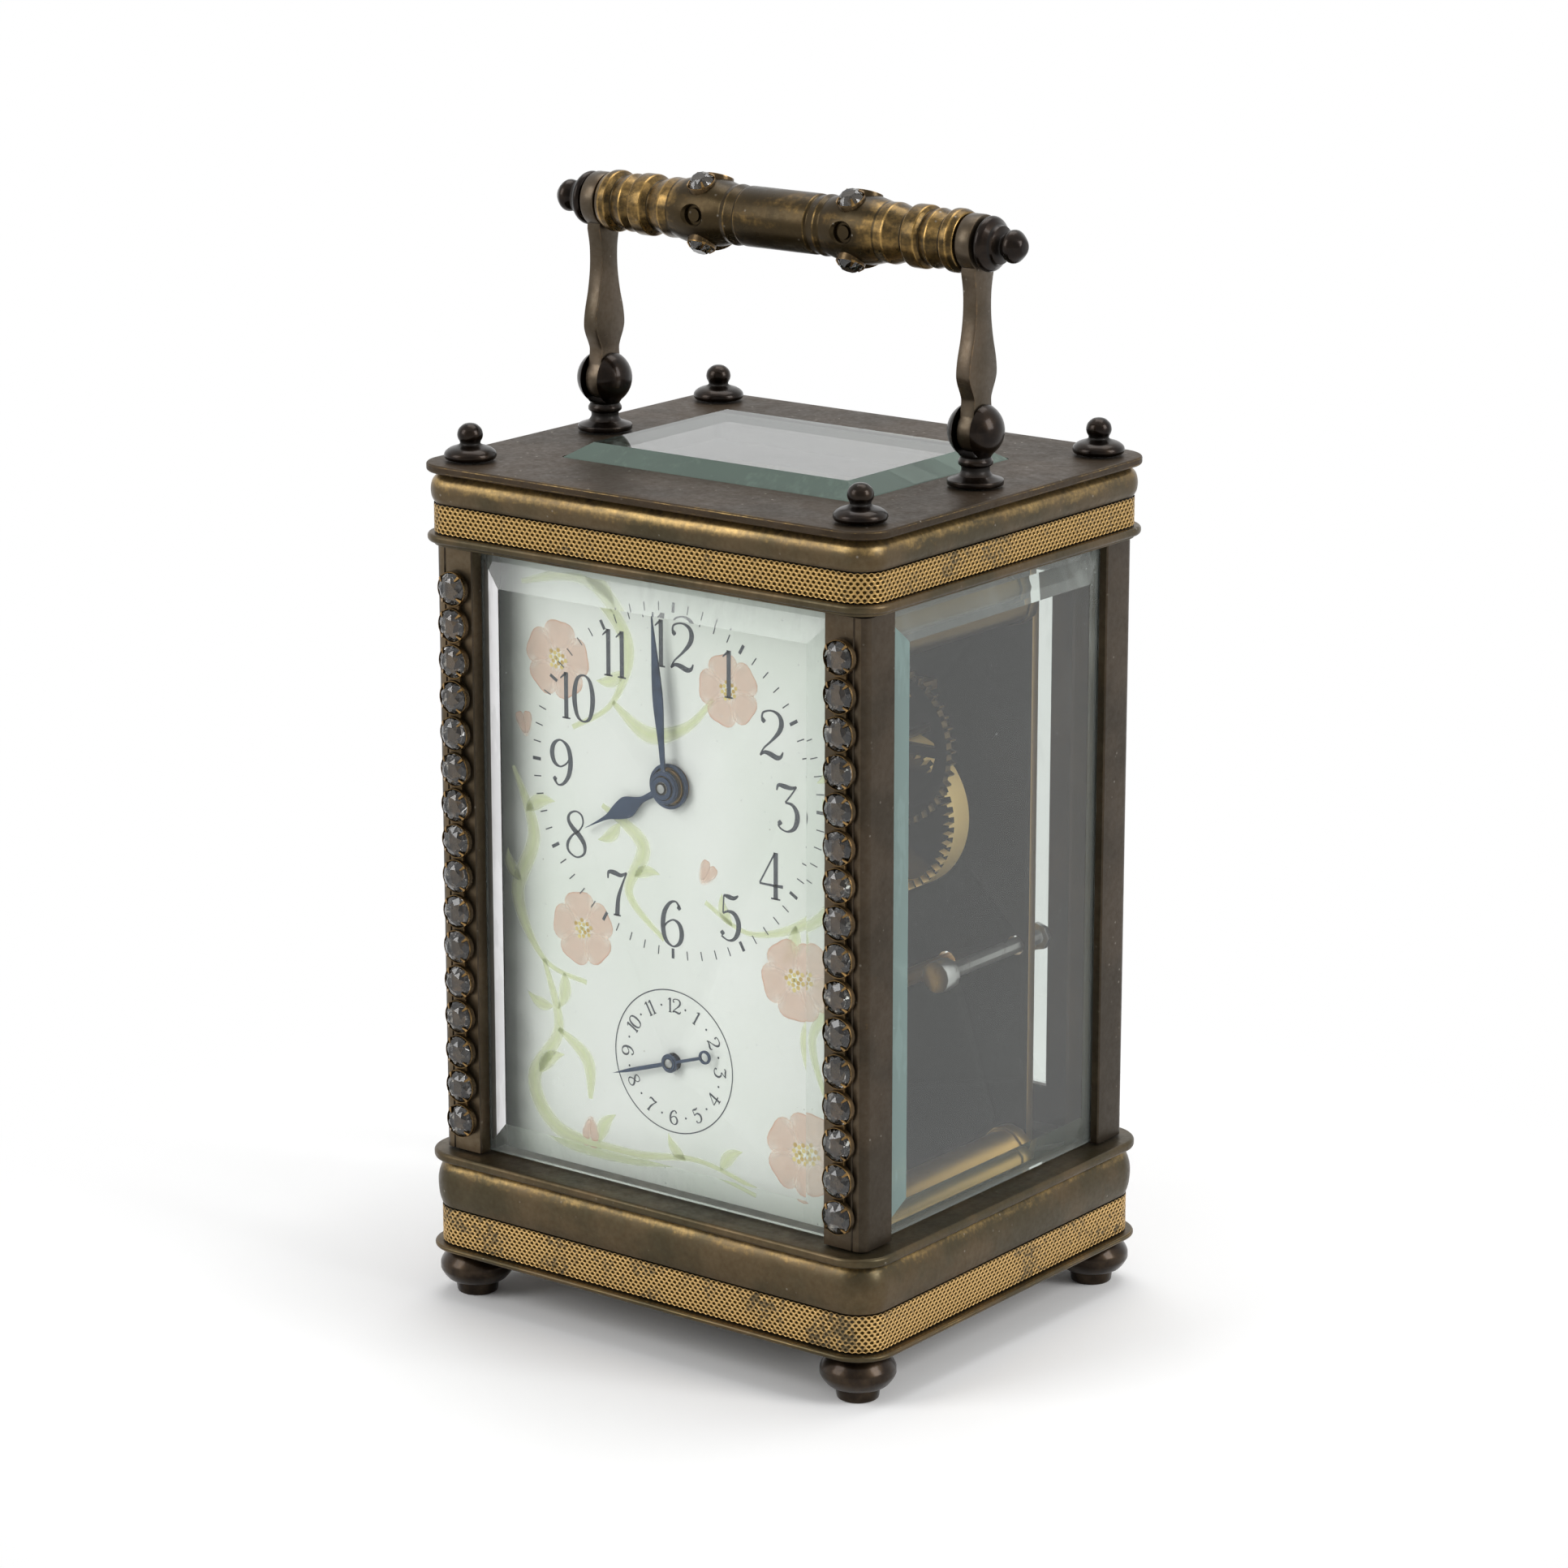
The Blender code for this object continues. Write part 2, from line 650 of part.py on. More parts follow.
def post_section(sign_x, sign_y, front):
    """Return a corner post's outline, with a groove for each glass it holds."""
    groove_low = GLASS_SETBACK + GLASS_THICK - GLASS_EDGE - SEAT
    groove_high = GLASS_SETBACK + GLASS_THICK + SEAT
    corners = []
    steps = 4
    for i in range(steps + 1):
        angle = math.pi / 2 * i / steps
        corners.append((POST_ROUND * (1 - math.cos(angle)), POST_ROUND * (1 - math.sin(angle))))
    outline = corners + [(POST_X, 0.0)]
    if front:
        outline.append((POST_X, groove_low))
        outline.append((POST_X - GROOVE_DEPTH, groove_low))
        outline.append((POST_X - GROOVE_DEPTH, groove_high))
        outline.append((POST_X, groove_high))
    outline.append((POST_X, POST_Y))
    outline.append((groove_high, POST_Y))
    outline.append((groove_high, POST_Y - GROOVE_DEPTH))
    outline.append((groove_low, POST_Y - GROOVE_DEPTH))
    outline.append((groove_low, POST_Y))
    outline.append((0.0, POST_Y))
    return [(sign_x * (POST_OUTER_X - u), sign_y * (POST_OUTER_Y - v)) for u, v in outline]


def build_posts():
    """Four corner posts."""
    for side, sign_x in (("left", -1), ("right", 1)):
        for end, sign_y in (("front", -1), ("rear", 1)):
            outline = post_section(sign_x, sign_y, end == "front")
            body = stepped(WALL_LOW, [Step(outline, WALL_HIGH)])
            add_piece(f"corner_post_{end}_{side}", body, PATINA)


def bevelled_glass(half_wide, half_high, tongue):
    """Return a glass lying in the ground plane, bevelled on top, with a thin tongue round its edge."""
    edge = rectangle(half_wide, half_high)
    shoulder = rectangle(half_wide - tongue, half_high - tongue)
    flat = rectangle(half_wide - tongue - GLASS_BEVEL, half_high - tongue - GLASS_BEVEL)
    return [(edge, 0.0), (edge, GLASS_EDGE), (shoulder, GLASS_EDGE + 0.02), (flat, GLASS_THICK)]


def build_glasses():
    """Front and side glasses, standing in the posts' grooves."""
    half_high = (WALL_HIGH - WALL_LOW) / 2
    middle = (WALL_HIGH + WALL_LOW) / 2
    tongue = GROOVE_DEPTH - SEAT + 0.2

    half_wide = POST_INNER_X + GROOVE_DEPTH - SEAT
    inner_face = POST_OUTER_Y - GLASS_SETBACK - GLASS_THICK
    points, faces = solid_levels(bevelled_glass(half_wide, half_high, tongue))
    front = [(x, -inner_face - height, middle + y) for x, y, height in points]
    add_piece("front_glass", (front, faces), GLASS)

    half_wide = POST_INNER_Y + GROOVE_DEPTH - SEAT
    inner_face = POST_OUTER_X - GLASS_SETBACK - GLASS_THICK
    points, faces = solid_levels(bevelled_glass(half_wide, half_high, tongue))
    for name, sign in (("left_glass", -1), ("right_glass", 1)):
        side = [(sign * (inner_face + height), x, middle + y) for x, y, height in points]
        add_piece(name, (side, faces), GLASS)


def build_door():
    """Rear door: a frame that turns on two stub pins, its glass and its knob."""
    axis = (DOOR_AXIS_X, DOOR_AXIS_Y, 0.0)
    half = DOOR_THICK / 2
    reach = DOOR_HALF_X - DOOR_AXIS_X
    plan = [(reach, -half), (reach, half)]
    for i in range(9):
        angle = math.pi / 2 + math.pi * i / 8
        plan.append((half * math.cos(angle), half * math.sin(angle)))
    frame = add_piece("rear_door_frame", stepped(WALL_LOW, [Step(plan, WALL_HIGH)]), PATINA, axis)

    opening_half = DOOR_HALF_X - DOOR_STILE
    middle = -DOOR_AXIS_X
    low = WALL_LOW + DOOR_RAIL
    high = WALL_HIGH - DOOR_RAIL
    window = stepped(low, [Step(rectangle(opening_half, 2 * DOOR_THICK, (middle, 0.0)), high)])
    combine(frame, add_cutter("door_window", window, axis), "DIFFERENCE")
    for name, start, end in (
        ("door_pin_low", Z_DECK - DOOR_PIN_REACH + 0.1, WALL_LOW + 3.0),
        ("door_pin_high", WALL_HIGH - 3.0, Z_CROWN_LIP + DOOR_PIN_REACH - 0.3),
    ):
        pin = stepped(start, [Step(circle(DOOR_PIN_RADIUS, 10), end)])
        combine(frame, add_cutter(name, pin, axis), "UNION")

    glass_wide = opening_half - SEAT
    glass_high = (high - low) / 2 - SEAT
    edge = rectangle(glass_wide, glass_high)
    flat = rectangle(glass_wide - GLASS_BEVEL, glass_high - GLASS_BEVEL)
    levels = [(edge, -1.0), (edge, 0.1), (flat, 1.0)]
    points, faces = solid_levels(levels)
    placed = [(middle + x, height, (low + high) / 2 + y) for x, y, height in points]
    add_piece("rear_door_glass", (placed, faces), GLASS, axis)

    knob = [
        (0, 0.0), (1.5, 0.0), (1.5, 0.4), (0.8, 0.7), (0.8, 1.2), (1.9, 1.9), (2.0, 2.5), (1.3, 3.1),
        (0, 3.2),
    ]
    knob_x = DOOR_HALF_X - DOOR_STILE / 2 - DOOR_AXIS_X
    knob_y = DOOR_THICK / 2 + SEAT
    points, faces = turned(knob, 12, "Y")
    shifted = [(x + knob_x, y + knob_y, z + CENTRE_Z - 12.0) for x, y, z in points]
    add_piece("door_knob", (shifted, faces), DARK_BRONZE, axis, smooth=True)


def build_feet_and_finials():
    """Bun feet under the corners and knobs over them."""
    tier = 0.28 * FOOT_HEIGHT
    top = FOOT_HEIGHT - SEAT
    foot = [
        (0, 0.0),
        (2.8, 0.0),
        (3.0, tier - 0.2),
        (4.1, tier + 0.2),
        (FOOT_RADIUS, tier + 0.36 * (top - tier)),
        (4.9, tier + 0.64 * (top - tier)),
        (3.7, top),
        (0, top),
    ]
    finial = [
        (0, SEAT),
        (3.45, SEAT),
        (3.55, 0.8),
        (2.7, 1.5),
        (1.2, 2.1),
        (1.9, 2.8),
        (1.9, 3.7),
        (1.1, 4.8),
        (0, 5.1),
    ]
    for side, sign_x in (("left", -1), ("right", 1)):
        for end, sign_y in (("front", -1), ("rear", 1)):
            place = (sign_x * FOOT_X, sign_y * FOOT_Y, 0.0)
            add_piece(f"foot_{end}_{side}", turned(foot, 14), DARK_BRONZE, place, smooth=True)
            place = (sign_x * FINIAL_X, sign_y * FINIAL_Y, Z_TOP)
            add_piece(f"finial_{end}_{side}", turned(finial, 12), DARK_BRONZE, place, smooth=True)


def build_stones():
    """A chain of set stones up each front post."""
    back = -(POST_OUTER_Y + SEAT)
    cup = [
        (0, back),
        (STONE_CUP_RADIUS, back),
        (STONE_CUP_RADIUS, back - STONE_CUP_DEPTH),
        (STONE_TABLE_RADIUS, back - STONE_HEIGHT),
        (0, back - STONE_HEIGHT),
    ]
    middle = (POST_INNER_X + POST_OUTER_X) / 2 - 0.2
    for name, x in (("jewel_chain_left", -middle), ("jewel_chain_right", middle)):
        high = (STONE_COUNT - 1) * STONE_PITCH
        strip = stepped(-1.0, [Step(rectangle(0.9, 0.25, (0.0, back - 0.3)), high + 1.0)])
        chain = add_piece(name, strip, PASTE, (x, 0.0, STONE_LOW))
        points = []
        faces = []
        for i in range(STONE_COUNT):
            first = len(points)
            cup_points, cup_faces = turned(cup, 8, "Y", turn=math.pi / 8)
            points += [(u, v, w + i * STONE_PITCH) for u, v, w in cup_points]
            faces += [tuple(first + k for k in face) for face in cup_faces]
        cups = add_cutter(name + "_cups", (points, faces), (x, 0.0, STONE_LOW))
        combine(chain, cups, "UNION")


def build_handle_posts():
    """Slotted balls on turned necks, which carry the handle."""
    neck = [(0, SEAT), (3.75, SEAT), (3.75, 1.0), (2.3, 1.5), (1.9, 2.7), (2.3, 3.0), (2.3, 3.5)]
    steps = 7
    start = -math.acos(2.0 / BALL_RADIUS)
    ball = []
    for i in range(steps):
        angle = start + (math.pi / 2 - start) * i / steps
        ball.append((BALL_RADIUS * math.cos(angle), PIVOT_RISE + BALL_RADIUS * math.sin(angle)))
    profile = neck + ball + [(0, PIVOT_RISE + BALL_RADIUS)]
    slot_half = TONGUE_THICK / 2 + SEAT
    slot_floor = -TONGUE_RADIUS - SEAT
    slot = stepped(slot_floor, [Step(rectangle(slot_half, 2 * BALL_RADIUS), 2 * BALL_RADIUS)])
    pin_hole = stepped(-2 * BALL_RADIUS, [Step(circle(HANDLE_PIN_RADIUS + 0.2, 10), 2 * BALL_RADIUS)], "X")
    pin_half = math.sqrt(BALL_RADIUS**2 - 1.0) - 0.2
    pin = stepped(-pin_half, [Step(circle(HANDLE_PIN_RADIUS, 10), pin_half)], "X")
    for side, sign in (("left", -1), ("right", 1)):
        place = (sign * PIVOT_X, 0.0, Z_TOP)
        pivot = (sign * PIVOT_X, 0.0, Z_PIVOT)
        post = add_piece(f"handle_post_{side}", turned(profile, 14), DARK_BRONZE, place, smooth=True)
        combine(post, add_cutter(f"handle_slot_{side}", slot, pivot), "DIFFERENCE")
        combine(post, add_cutter(f"handle_pin_hole_{side}", pin_hole, pivot), "DIFFERENCE")
        add_piece(f"handle_pin_{side}", pin, STEEL, pivot)


def arm_outline():
    """Return the baluster outline of a handle arm, from its pivot to its eye."""
    corners = []
    low = math.radians(50)
    for i in range(9):
        angle = low + (math.pi * 2 - 2 * low) * i / 8
        corners.append((-TONGUE_RADIUS * math.sin(angle), TONGUE_RADIUS * math.cos(angle)))
    right = [
        (1.95, 0.16), (2.2, 0.20), (2.9, 0.26), (3.15, 0.31), (2.9, 0.39),
        (2.2, 0.50), (1.75, 0.62), (1.75, 0.74), (2.2, 0.84),
    ]
    rising = [(half, share * ARM_LENGTH) for half, share in right]
    eye = []
    begin = math.radians(-55)
    for i in range(9):
        angle = begin + (math.pi - 2 * begin) * i / 8
        eye.append((EYE_RADIUS * math.cos(angle), ARM_LENGTH + EYE_RADIUS * math.sin(angle)))
    falling = [(-half, height) for half, height in reversed(rising)]
    return corners + rising + eye + falling


def build_handle():
    """Arms, the turned bar between them and the knobs outside them."""
    bore = circle(HANDLE_PIN_RADIUS + 0.2, 10)
    eye_hole = circle(SPIGOT_RADIUS + 0.25, 14, (0.0, ARM_LENGTH))
    arm = stepped(-TONGUE_THICK / 2, [Step(arm_outline(), TONGUE_THICK / 2, (bore, eye_hole))], "X")
    turning = [
        (4.05, 0.195), (3.8, 0.205), (4.15, 0.25), (3.9, 0.276), (4.5, 0.35), (4.5, 0.505), (4.0, 0.576),
        (4.1, 0.626), (3.3, 0.707), (4.2, 0.731), (4.2, 0.798), (3.5, 0.811), (4.0, 0.855), (3.4, 0.916),
        (4.2, 0.936), (4.2, 0.97), (3.8, 1.0),
    ]
    half_bar = ARM_IN - SEAT
    spigot_end = ARM_OUT + 0.1
    bar = [(radius, share * half_bar) for radius, share in turning]
    bar += [(SPIGOT_RADIUS, half_bar), (SPIGOT_RADIUS, spigot_end), (0, spigot_end)]
    profile = [(radius, -x) for radius, x in reversed(bar)] + bar
    place = (0.0, 0.0, Z_PIVOT + ARM_LENGTH)
    handle = add_piece("handle_bar", turned(profile, 12, "X", turn=math.pi / 12), GILT, place, smooth=True)
    points = []
    faces = []
    setting = [(0, 3.4), (1.85, 3.4), (1.85, 5.0), (1.0, 5.9), (0, 5.9)]
    for x in (-COLLAR_X, COLLAR_X):
        for angle in (62, 112, -62, -112):
            first = len(points)
            tilt = Matrix.Rotation(math.radians(90 - angle), 3, "X")
            cup_points, cup_faces = turned(setting, 6)
            for point in cup_points:
                moved = tilt @ Vector(point)
                points.append((moved.x + x, moved.y, moved.z))
            faces += [tuple(first + k for k in face) for face in cup_faces]
    combine(handle, add_cutter("handle_cups", (points, faces), place), "UNION")

    face = spigot_end + SEAT
    knob = [
        (0, face), (3.4, face), (3.7, face + 0.5), (3.5, face + 1.1), (2.6, face + 1.8), (2.5, face + 2.3),
        (1.4, face + 2.8), (2.1, face + 3.7), (2.1, face + 4.6), (1.1, face + 5.7), (0, face + 5.9),
    ]
    for side, sign in (("left", -1), ("right", 1)):
        add_piece(f"handle_arm_{side}", arm, PATINA, (sign * PIVOT_X, 0.0, Z_PIVOT))
        turned_knob = turned([(radius, sign * x) for radius, x in knob], 12, "X")
        add_piece(f"handle_knob_{side}", turned_knob, DARK_BRONZE, place, smooth=True)


def build_dial():
    """Porcelain dial plate with two holes, and feet that reach back to the front plate."""
    holes = (circle(2.8, 16, CENTRE), circle(1.2, 12, (0.0, ALARM_Z)))
    middle = (0.0, (DIAL_LOW + DIAL_HIGH) / 2)
    outline = rectangle(DIAL_HALF_X, (DIAL_HIGH - DIAL_LOW) / 2, middle)
    plate = stepped(DIAL_FRONT, [Step(outline, DIAL_BACK, holes)], "Y")
    dial = add_piece("dial", plate, PORCELAIN)
    for i, (x, z) in enumerate(((-22.0, CENTRE_Z + 20.0), (22.0, CENTRE_Z + 20.0), (0.0, DIAL_LOW + 6.0))):
        foot = stepped(DIAL_FRONT + 0.6, [Step(circle(1.2, 10, (x, z)), FRONT_PLATE_Y - SEAT)], "Y")
        combine(dial, add_cutter(f"dial_foot_{i}", foot), "UNION")


def turned_outline(outline, degrees):
    """Turn an outline that points up so that it points the given number of degrees clockwise."""
    cosine = math.cos(math.radians(degrees))
    sine = math.sin(math.radians(degrees))
    return [(x * cosine + y * sine, y * cosine - x * sine) for x, y in outline]


def hand_outline(hub, blade):
    """Return a hand's outline: a round hub and a blade given as (half width, distance) pairs."""
    start = math.asin(blade[0][0] / hub)
    corners = []
    for i in range(19):
        angle = math.pi / 2 - start - (2 * math.pi - 2 * start) * i / 18
        corners.append((hub * math.cos(angle), hub * math.sin(angle)))
    left = [(-half, reach) for half, reach in blade]
    right = [(half, reach) for half, reach in reversed(blade) if half > 0]
    return corners + left + right


def build_hands():
    """Hour, minute and alarm hands."""
    hour_blade = [
        (0.45, 3.4), (0.4, 5.2), (0.75, 6.2), (1.35, 7.6), (1.45, 8.6),
        (1.0, 10.2), (0.45, 11.6), (0.2, 13.0), (0.0, HOUR_HAND),
    ]
    hour = turned_outline(hand_outline(3.1, hour_blade), HOUR_ANGLE)
    body = stepped(0.0, [Step(hour, 0.4), Step(circle(3.0, 18), 0.7)], "Y", bore=circle(2.65, 16))
    front = DIAL_FRONT - 1.0
    add_piece("hour_hand", body, BLUED, (0.0, front, CENTRE_Z))

    minute_blade = [(0.35, 2.5), (0.45, 6.0), (0.8, 11.0), (0.7, 14.5), (0.35, 19.0), (0.0, MINUTE_HAND)]
    minute = turned_outline(hand_outline(2.3, minute_blade), MINUTE_ANGLE)
    body = stepped(0.0, [Step(circle(2.2, 16), 0.25), Step(minute, 0.6)], "Y", bore=circle(1.7, 14))
    add_piece("minute_hand", body, BLUED, (0.0, DIAL_FRONT - 2.05, CENTRE_Z))

    tail = -5.4
    alarm_blade = [(0.28, 1.4), (0.25, 7.0), (0.0, ALARM_HAND)]
    outline = hand_outline(1.3, alarm_blade)
    counter = [(0.25, tail), (0.95, tail - 0.5), (0.95, tail - 1.4), (0.0, tail - 1.9),
               (-0.95, tail - 1.4), (-0.95, tail - 0.5), (-0.25, tail)]
    low = min(range(len(outline)), key=lambda i: outline[i][1])
    outline = turned_outline(outline[:low] + counter + outline[low + 1:], ALARM_ANGLE)
    steps = [
        Step(circle(1.0, 12), 0.3),
        Step(outline, 0.65),
        Step(circle(0.75, 12), FRONT_PLATE_Y + PLATE_THICK + 0.5 - (DIAL_FRONT - 1.4)),
        Step(circle(3.2, 16), FRONT_PLATE_Y + PLATE_THICK + 1.5 - (DIAL_FRONT - 1.4)),
    ]
    add_piece("alarm_hand", stepped(0.0, steps, "Y"), BLUED, (0.0, DIAL_FRONT - 1.4, ALARM_Z))


def build_motion_work():
    """The wheels under the dial that turn the hour hand once for twelve turns of the minute hand."""
    plate_gap = FRONT_PLATE_Y - SEAT
    pinion = pinion_outline(CANNON_TEETH, CANNON_MODULE, math.pi)
    steps = [
        Step(circle(1.5, 14), plate_gap - 0.8),
        Step(pinion, plate_gap),
    ]
    body = stepped(DIAL_FRONT - 2.2, steps, "Y", bore=circle(1.15, 12))
    add_piece("cannon_pinion", body, STEEL, (0.0, 0.0, CENTRE_Z))

    turn = gap_turn(0.0, MINUTE_WHEEL_TEETH)
    small_turn = gap_turn(0.0, MINUTE_PINION)
    steps = [
        Step(pinion_outline(MINUTE_PINION, HOUR_MODULE, small_turn), plate_gap - 0.9),
        Step(wheel_outline(MINUTE_WHEEL_TEETH, CANNON_MODULE, turn), plate_gap - 0.2),
        Step(circle(0.9, 12), plate_gap),
    ]
    body = stepped(plate_gap - 2.3, steps, "Y")
    add_piece("minute_wheel", body, BRASS, (MINUTE_WHEEL_AXIS[0], 0.0, CENTRE_Z))

    steps = [
        Step(circle(2.4, 16), plate_gap - 2.2),
        Step(wheel_outline(HOUR_TEETH, HOUR_MODULE, math.pi), plate_gap - 1.3),
    ]
    body = stepped(DIAL_FRONT - 0.95, steps, "Y", bore=circle(1.75, 14))
    add_piece("hour_wheel", body, BRASS, (0.0, 0.0, CENTRE_Z))


def build_plates():
    """Movement plates; the front one carries the four riveted pillars."""
    middle = (0.0, (PLATE_LOW + PLATE_HIGH) / 2)
    outline = rectangle(PLATE_HALF_X, (PLATE_HIGH - PLATE_LOW) / 2, middle)
    holes = (circle(1.25, 12, CENTRE), circle(1.1, 12, (0.0, ALARM_Z)))
    front = stepped(FRONT_PLATE_Y, [Step(outline, INSIDE_FRONT, holes)], "Y")
    plate = add_piece("front_plate", front, BRASS)
    number = 0
    for x in (-PILLAR_X, PILLAR_X):
        for z in (PILLAR_LOW, PILLAR_HIGH):
            steps = [
                Step(circle(PILLAR_RADIUS, 12, (x, z)), INSIDE_BACK - SEAT - 2.0),
                Step(circle(PILLAR_RADIUS + 0.5, 12, (x, z)), INSIDE_BACK - SEAT),
            ]
            pillar = stepped(FRONT_PLATE_Y + 0.7, steps, "Y")
            combine(plate, add_cutter(f"pillar_{number}", pillar), "UNION")
            number += 1

    holes = (
        circle(1.25, 12, CENTRE),
        circle(1.75, 12, BARREL_AXIS),
        circle(1.55, 12, ALARM_BARREL_AXIS),
        circle(1.4, 12, HAMMER_AXIS),
    )
    back = stepped(INSIDE_BACK, [Step(outline, BEHIND_PLATE, holes)], "Y")
    plate = add_piece("back_plate", back, BRASS)
    cock_low = Z_PLATFORM - 20.0
    side = [(ESCAPE_Y - 1.8, cock_low), (INSIDE_BACK + 0.7, cock_low), (INSIDE_BACK + 0.7, cock_low + 1.3),
            (ESCAPE_Y - 1.8, cock_low + 1.3)]
    cock = stepped(ESCAPE_X - 2.4, [Step(side, ESCAPE_X + 2.4)], "X")
    combine(plate, add_cutter("escape_cock", cock), "UNION")
    hole = stepped(cock_low - 1.0, [Step(circle(0.8, 10, (ESCAPE_X, ESCAPE_Y)), cock_low + 3.0)])
    combine(plate, add_cutter("escape_cock_hole", hole), "DIFFERENCE")


def build_train():
    """Going barrel, centre wheel, third wheel and contrate wheel."""
    teeth_turn = bearing(BARREL_AXIS, CENTRE)
    steps = [
        Step(wheel_outline(BARREL_TEETH, BARREL_MODULE, teeth_turn), BARREL_FRONT + 1.6),
        Step(circle(BARREL_RADIUS, 30), BARREL_BACK),
    ]
    body = stepped(BARREL_FRONT, steps, "Y", bore=circle(1.7, 14))
    add_piece("going_barrel", body, BRASS, (BARREL_AXIS[0], 0.0, BARREL_AXIS[1]))

    ratchet = tooth_ring(
        RATCHET_TEETH, RATCHET_MODULE, 0.0, addendum=0.7, dedendum=0.7, foot_share=0.5, tip_share=0.1,
    )
    steps = [
        Step(circle(1.4, 14), BARREL_BACK + 0.4),
        Step(ratchet, BARREL_BACK + 1.5),
        Step(circle(1.4, 14), BEHIND_PLATE + 0.4),
        Step(circle(1.3, 4), BEHIND_PLATE + 4.0),
    ]
    body = stepped(INSIDE_FRONT + SEAT, steps, "Y")
    add_piece("barrel_arbor", body, STEEL, (BARREL_AXIS[0], 0.0, BARREL_AXIS[1]))

    gap = gap_turn(bearing(CENTRE, BARREL_AXIS), CENTRE_PINION)
    centre_pinion = pinion_outline(CENTRE_PINION, BARREL_MODULE, gap)
    centre_wheel = wheel_outline(CENTRE_TEETH, CENTRE_MODULE, bearing(CENTRE, THIRD_AXIS))
    windows = wheel_windows(3.0, rim_inside(CENTRE_TEETH, CENTRE_MODULE), 4)
    steps = [
        Step(circle(0.9, 12), BARREL_FRONT - 0.3),
        Step(centre_pinion, BARREL_FRONT + 1.9),
        Step(circle(0.9, 12), CENTRE_WHEEL_Y),
        Step(centre_wheel, CENTRE_WHEEL_Y + WHEEL_THICK, windows),
        Step(circle(0.9, 12), BEHIND_PLATE + 0.4),
        Step(circle(0.85, 4), BEHIND_PLATE + 3.0),
    ]
    add_piece("centre_wheel", stepped(DIAL_FRONT - 2.5, steps, "Y"), BRASS, (0.0, 0.0, CENTRE_Z))

    gap = gap_turn(bearing(THIRD_AXIS, CENTRE), THIRD_PINION)
    third_pinion = pinion_outline(THIRD_PINION, CENTRE_MODULE, gap)
    third_wheel = wheel_outline(THIRD_TEETH, THIRD_MODULE, bearing(THIRD_AXIS, CONTRATE_AXIS))
    windows = wheel_windows(3.0, rim_inside(THIRD_TEETH, THIRD_MODULE), 4)
    steps = [
        Step(circle(0.6, 10), THIRD_WHEEL_Y),
        Step(third_wheel, THIRD_WHEEL_Y + WHEEL_THICK, windows),
        Step(circle(0.6, 10), CENTRE_WHEEL_Y - 0.3),
        Step(third_pinion, CENTRE_WHEEL_Y + WHEEL_THICK + 0.3),
        Step(circle(0.6, 10), INSIDE_BACK - SEAT),
    ]
    body = stepped(INSIDE_FRONT + SEAT, steps, "Y")
    add_piece("third_wheel", body, BRASS, (THIRD_AXIS[0], 0.0, THIRD_AXIS[1]))

    add_piece("contrate_wheel", contrate_body(), BRASS, (CONTRATE_AXIS[0], 0.0, CONTRATE_AXIS[1]))


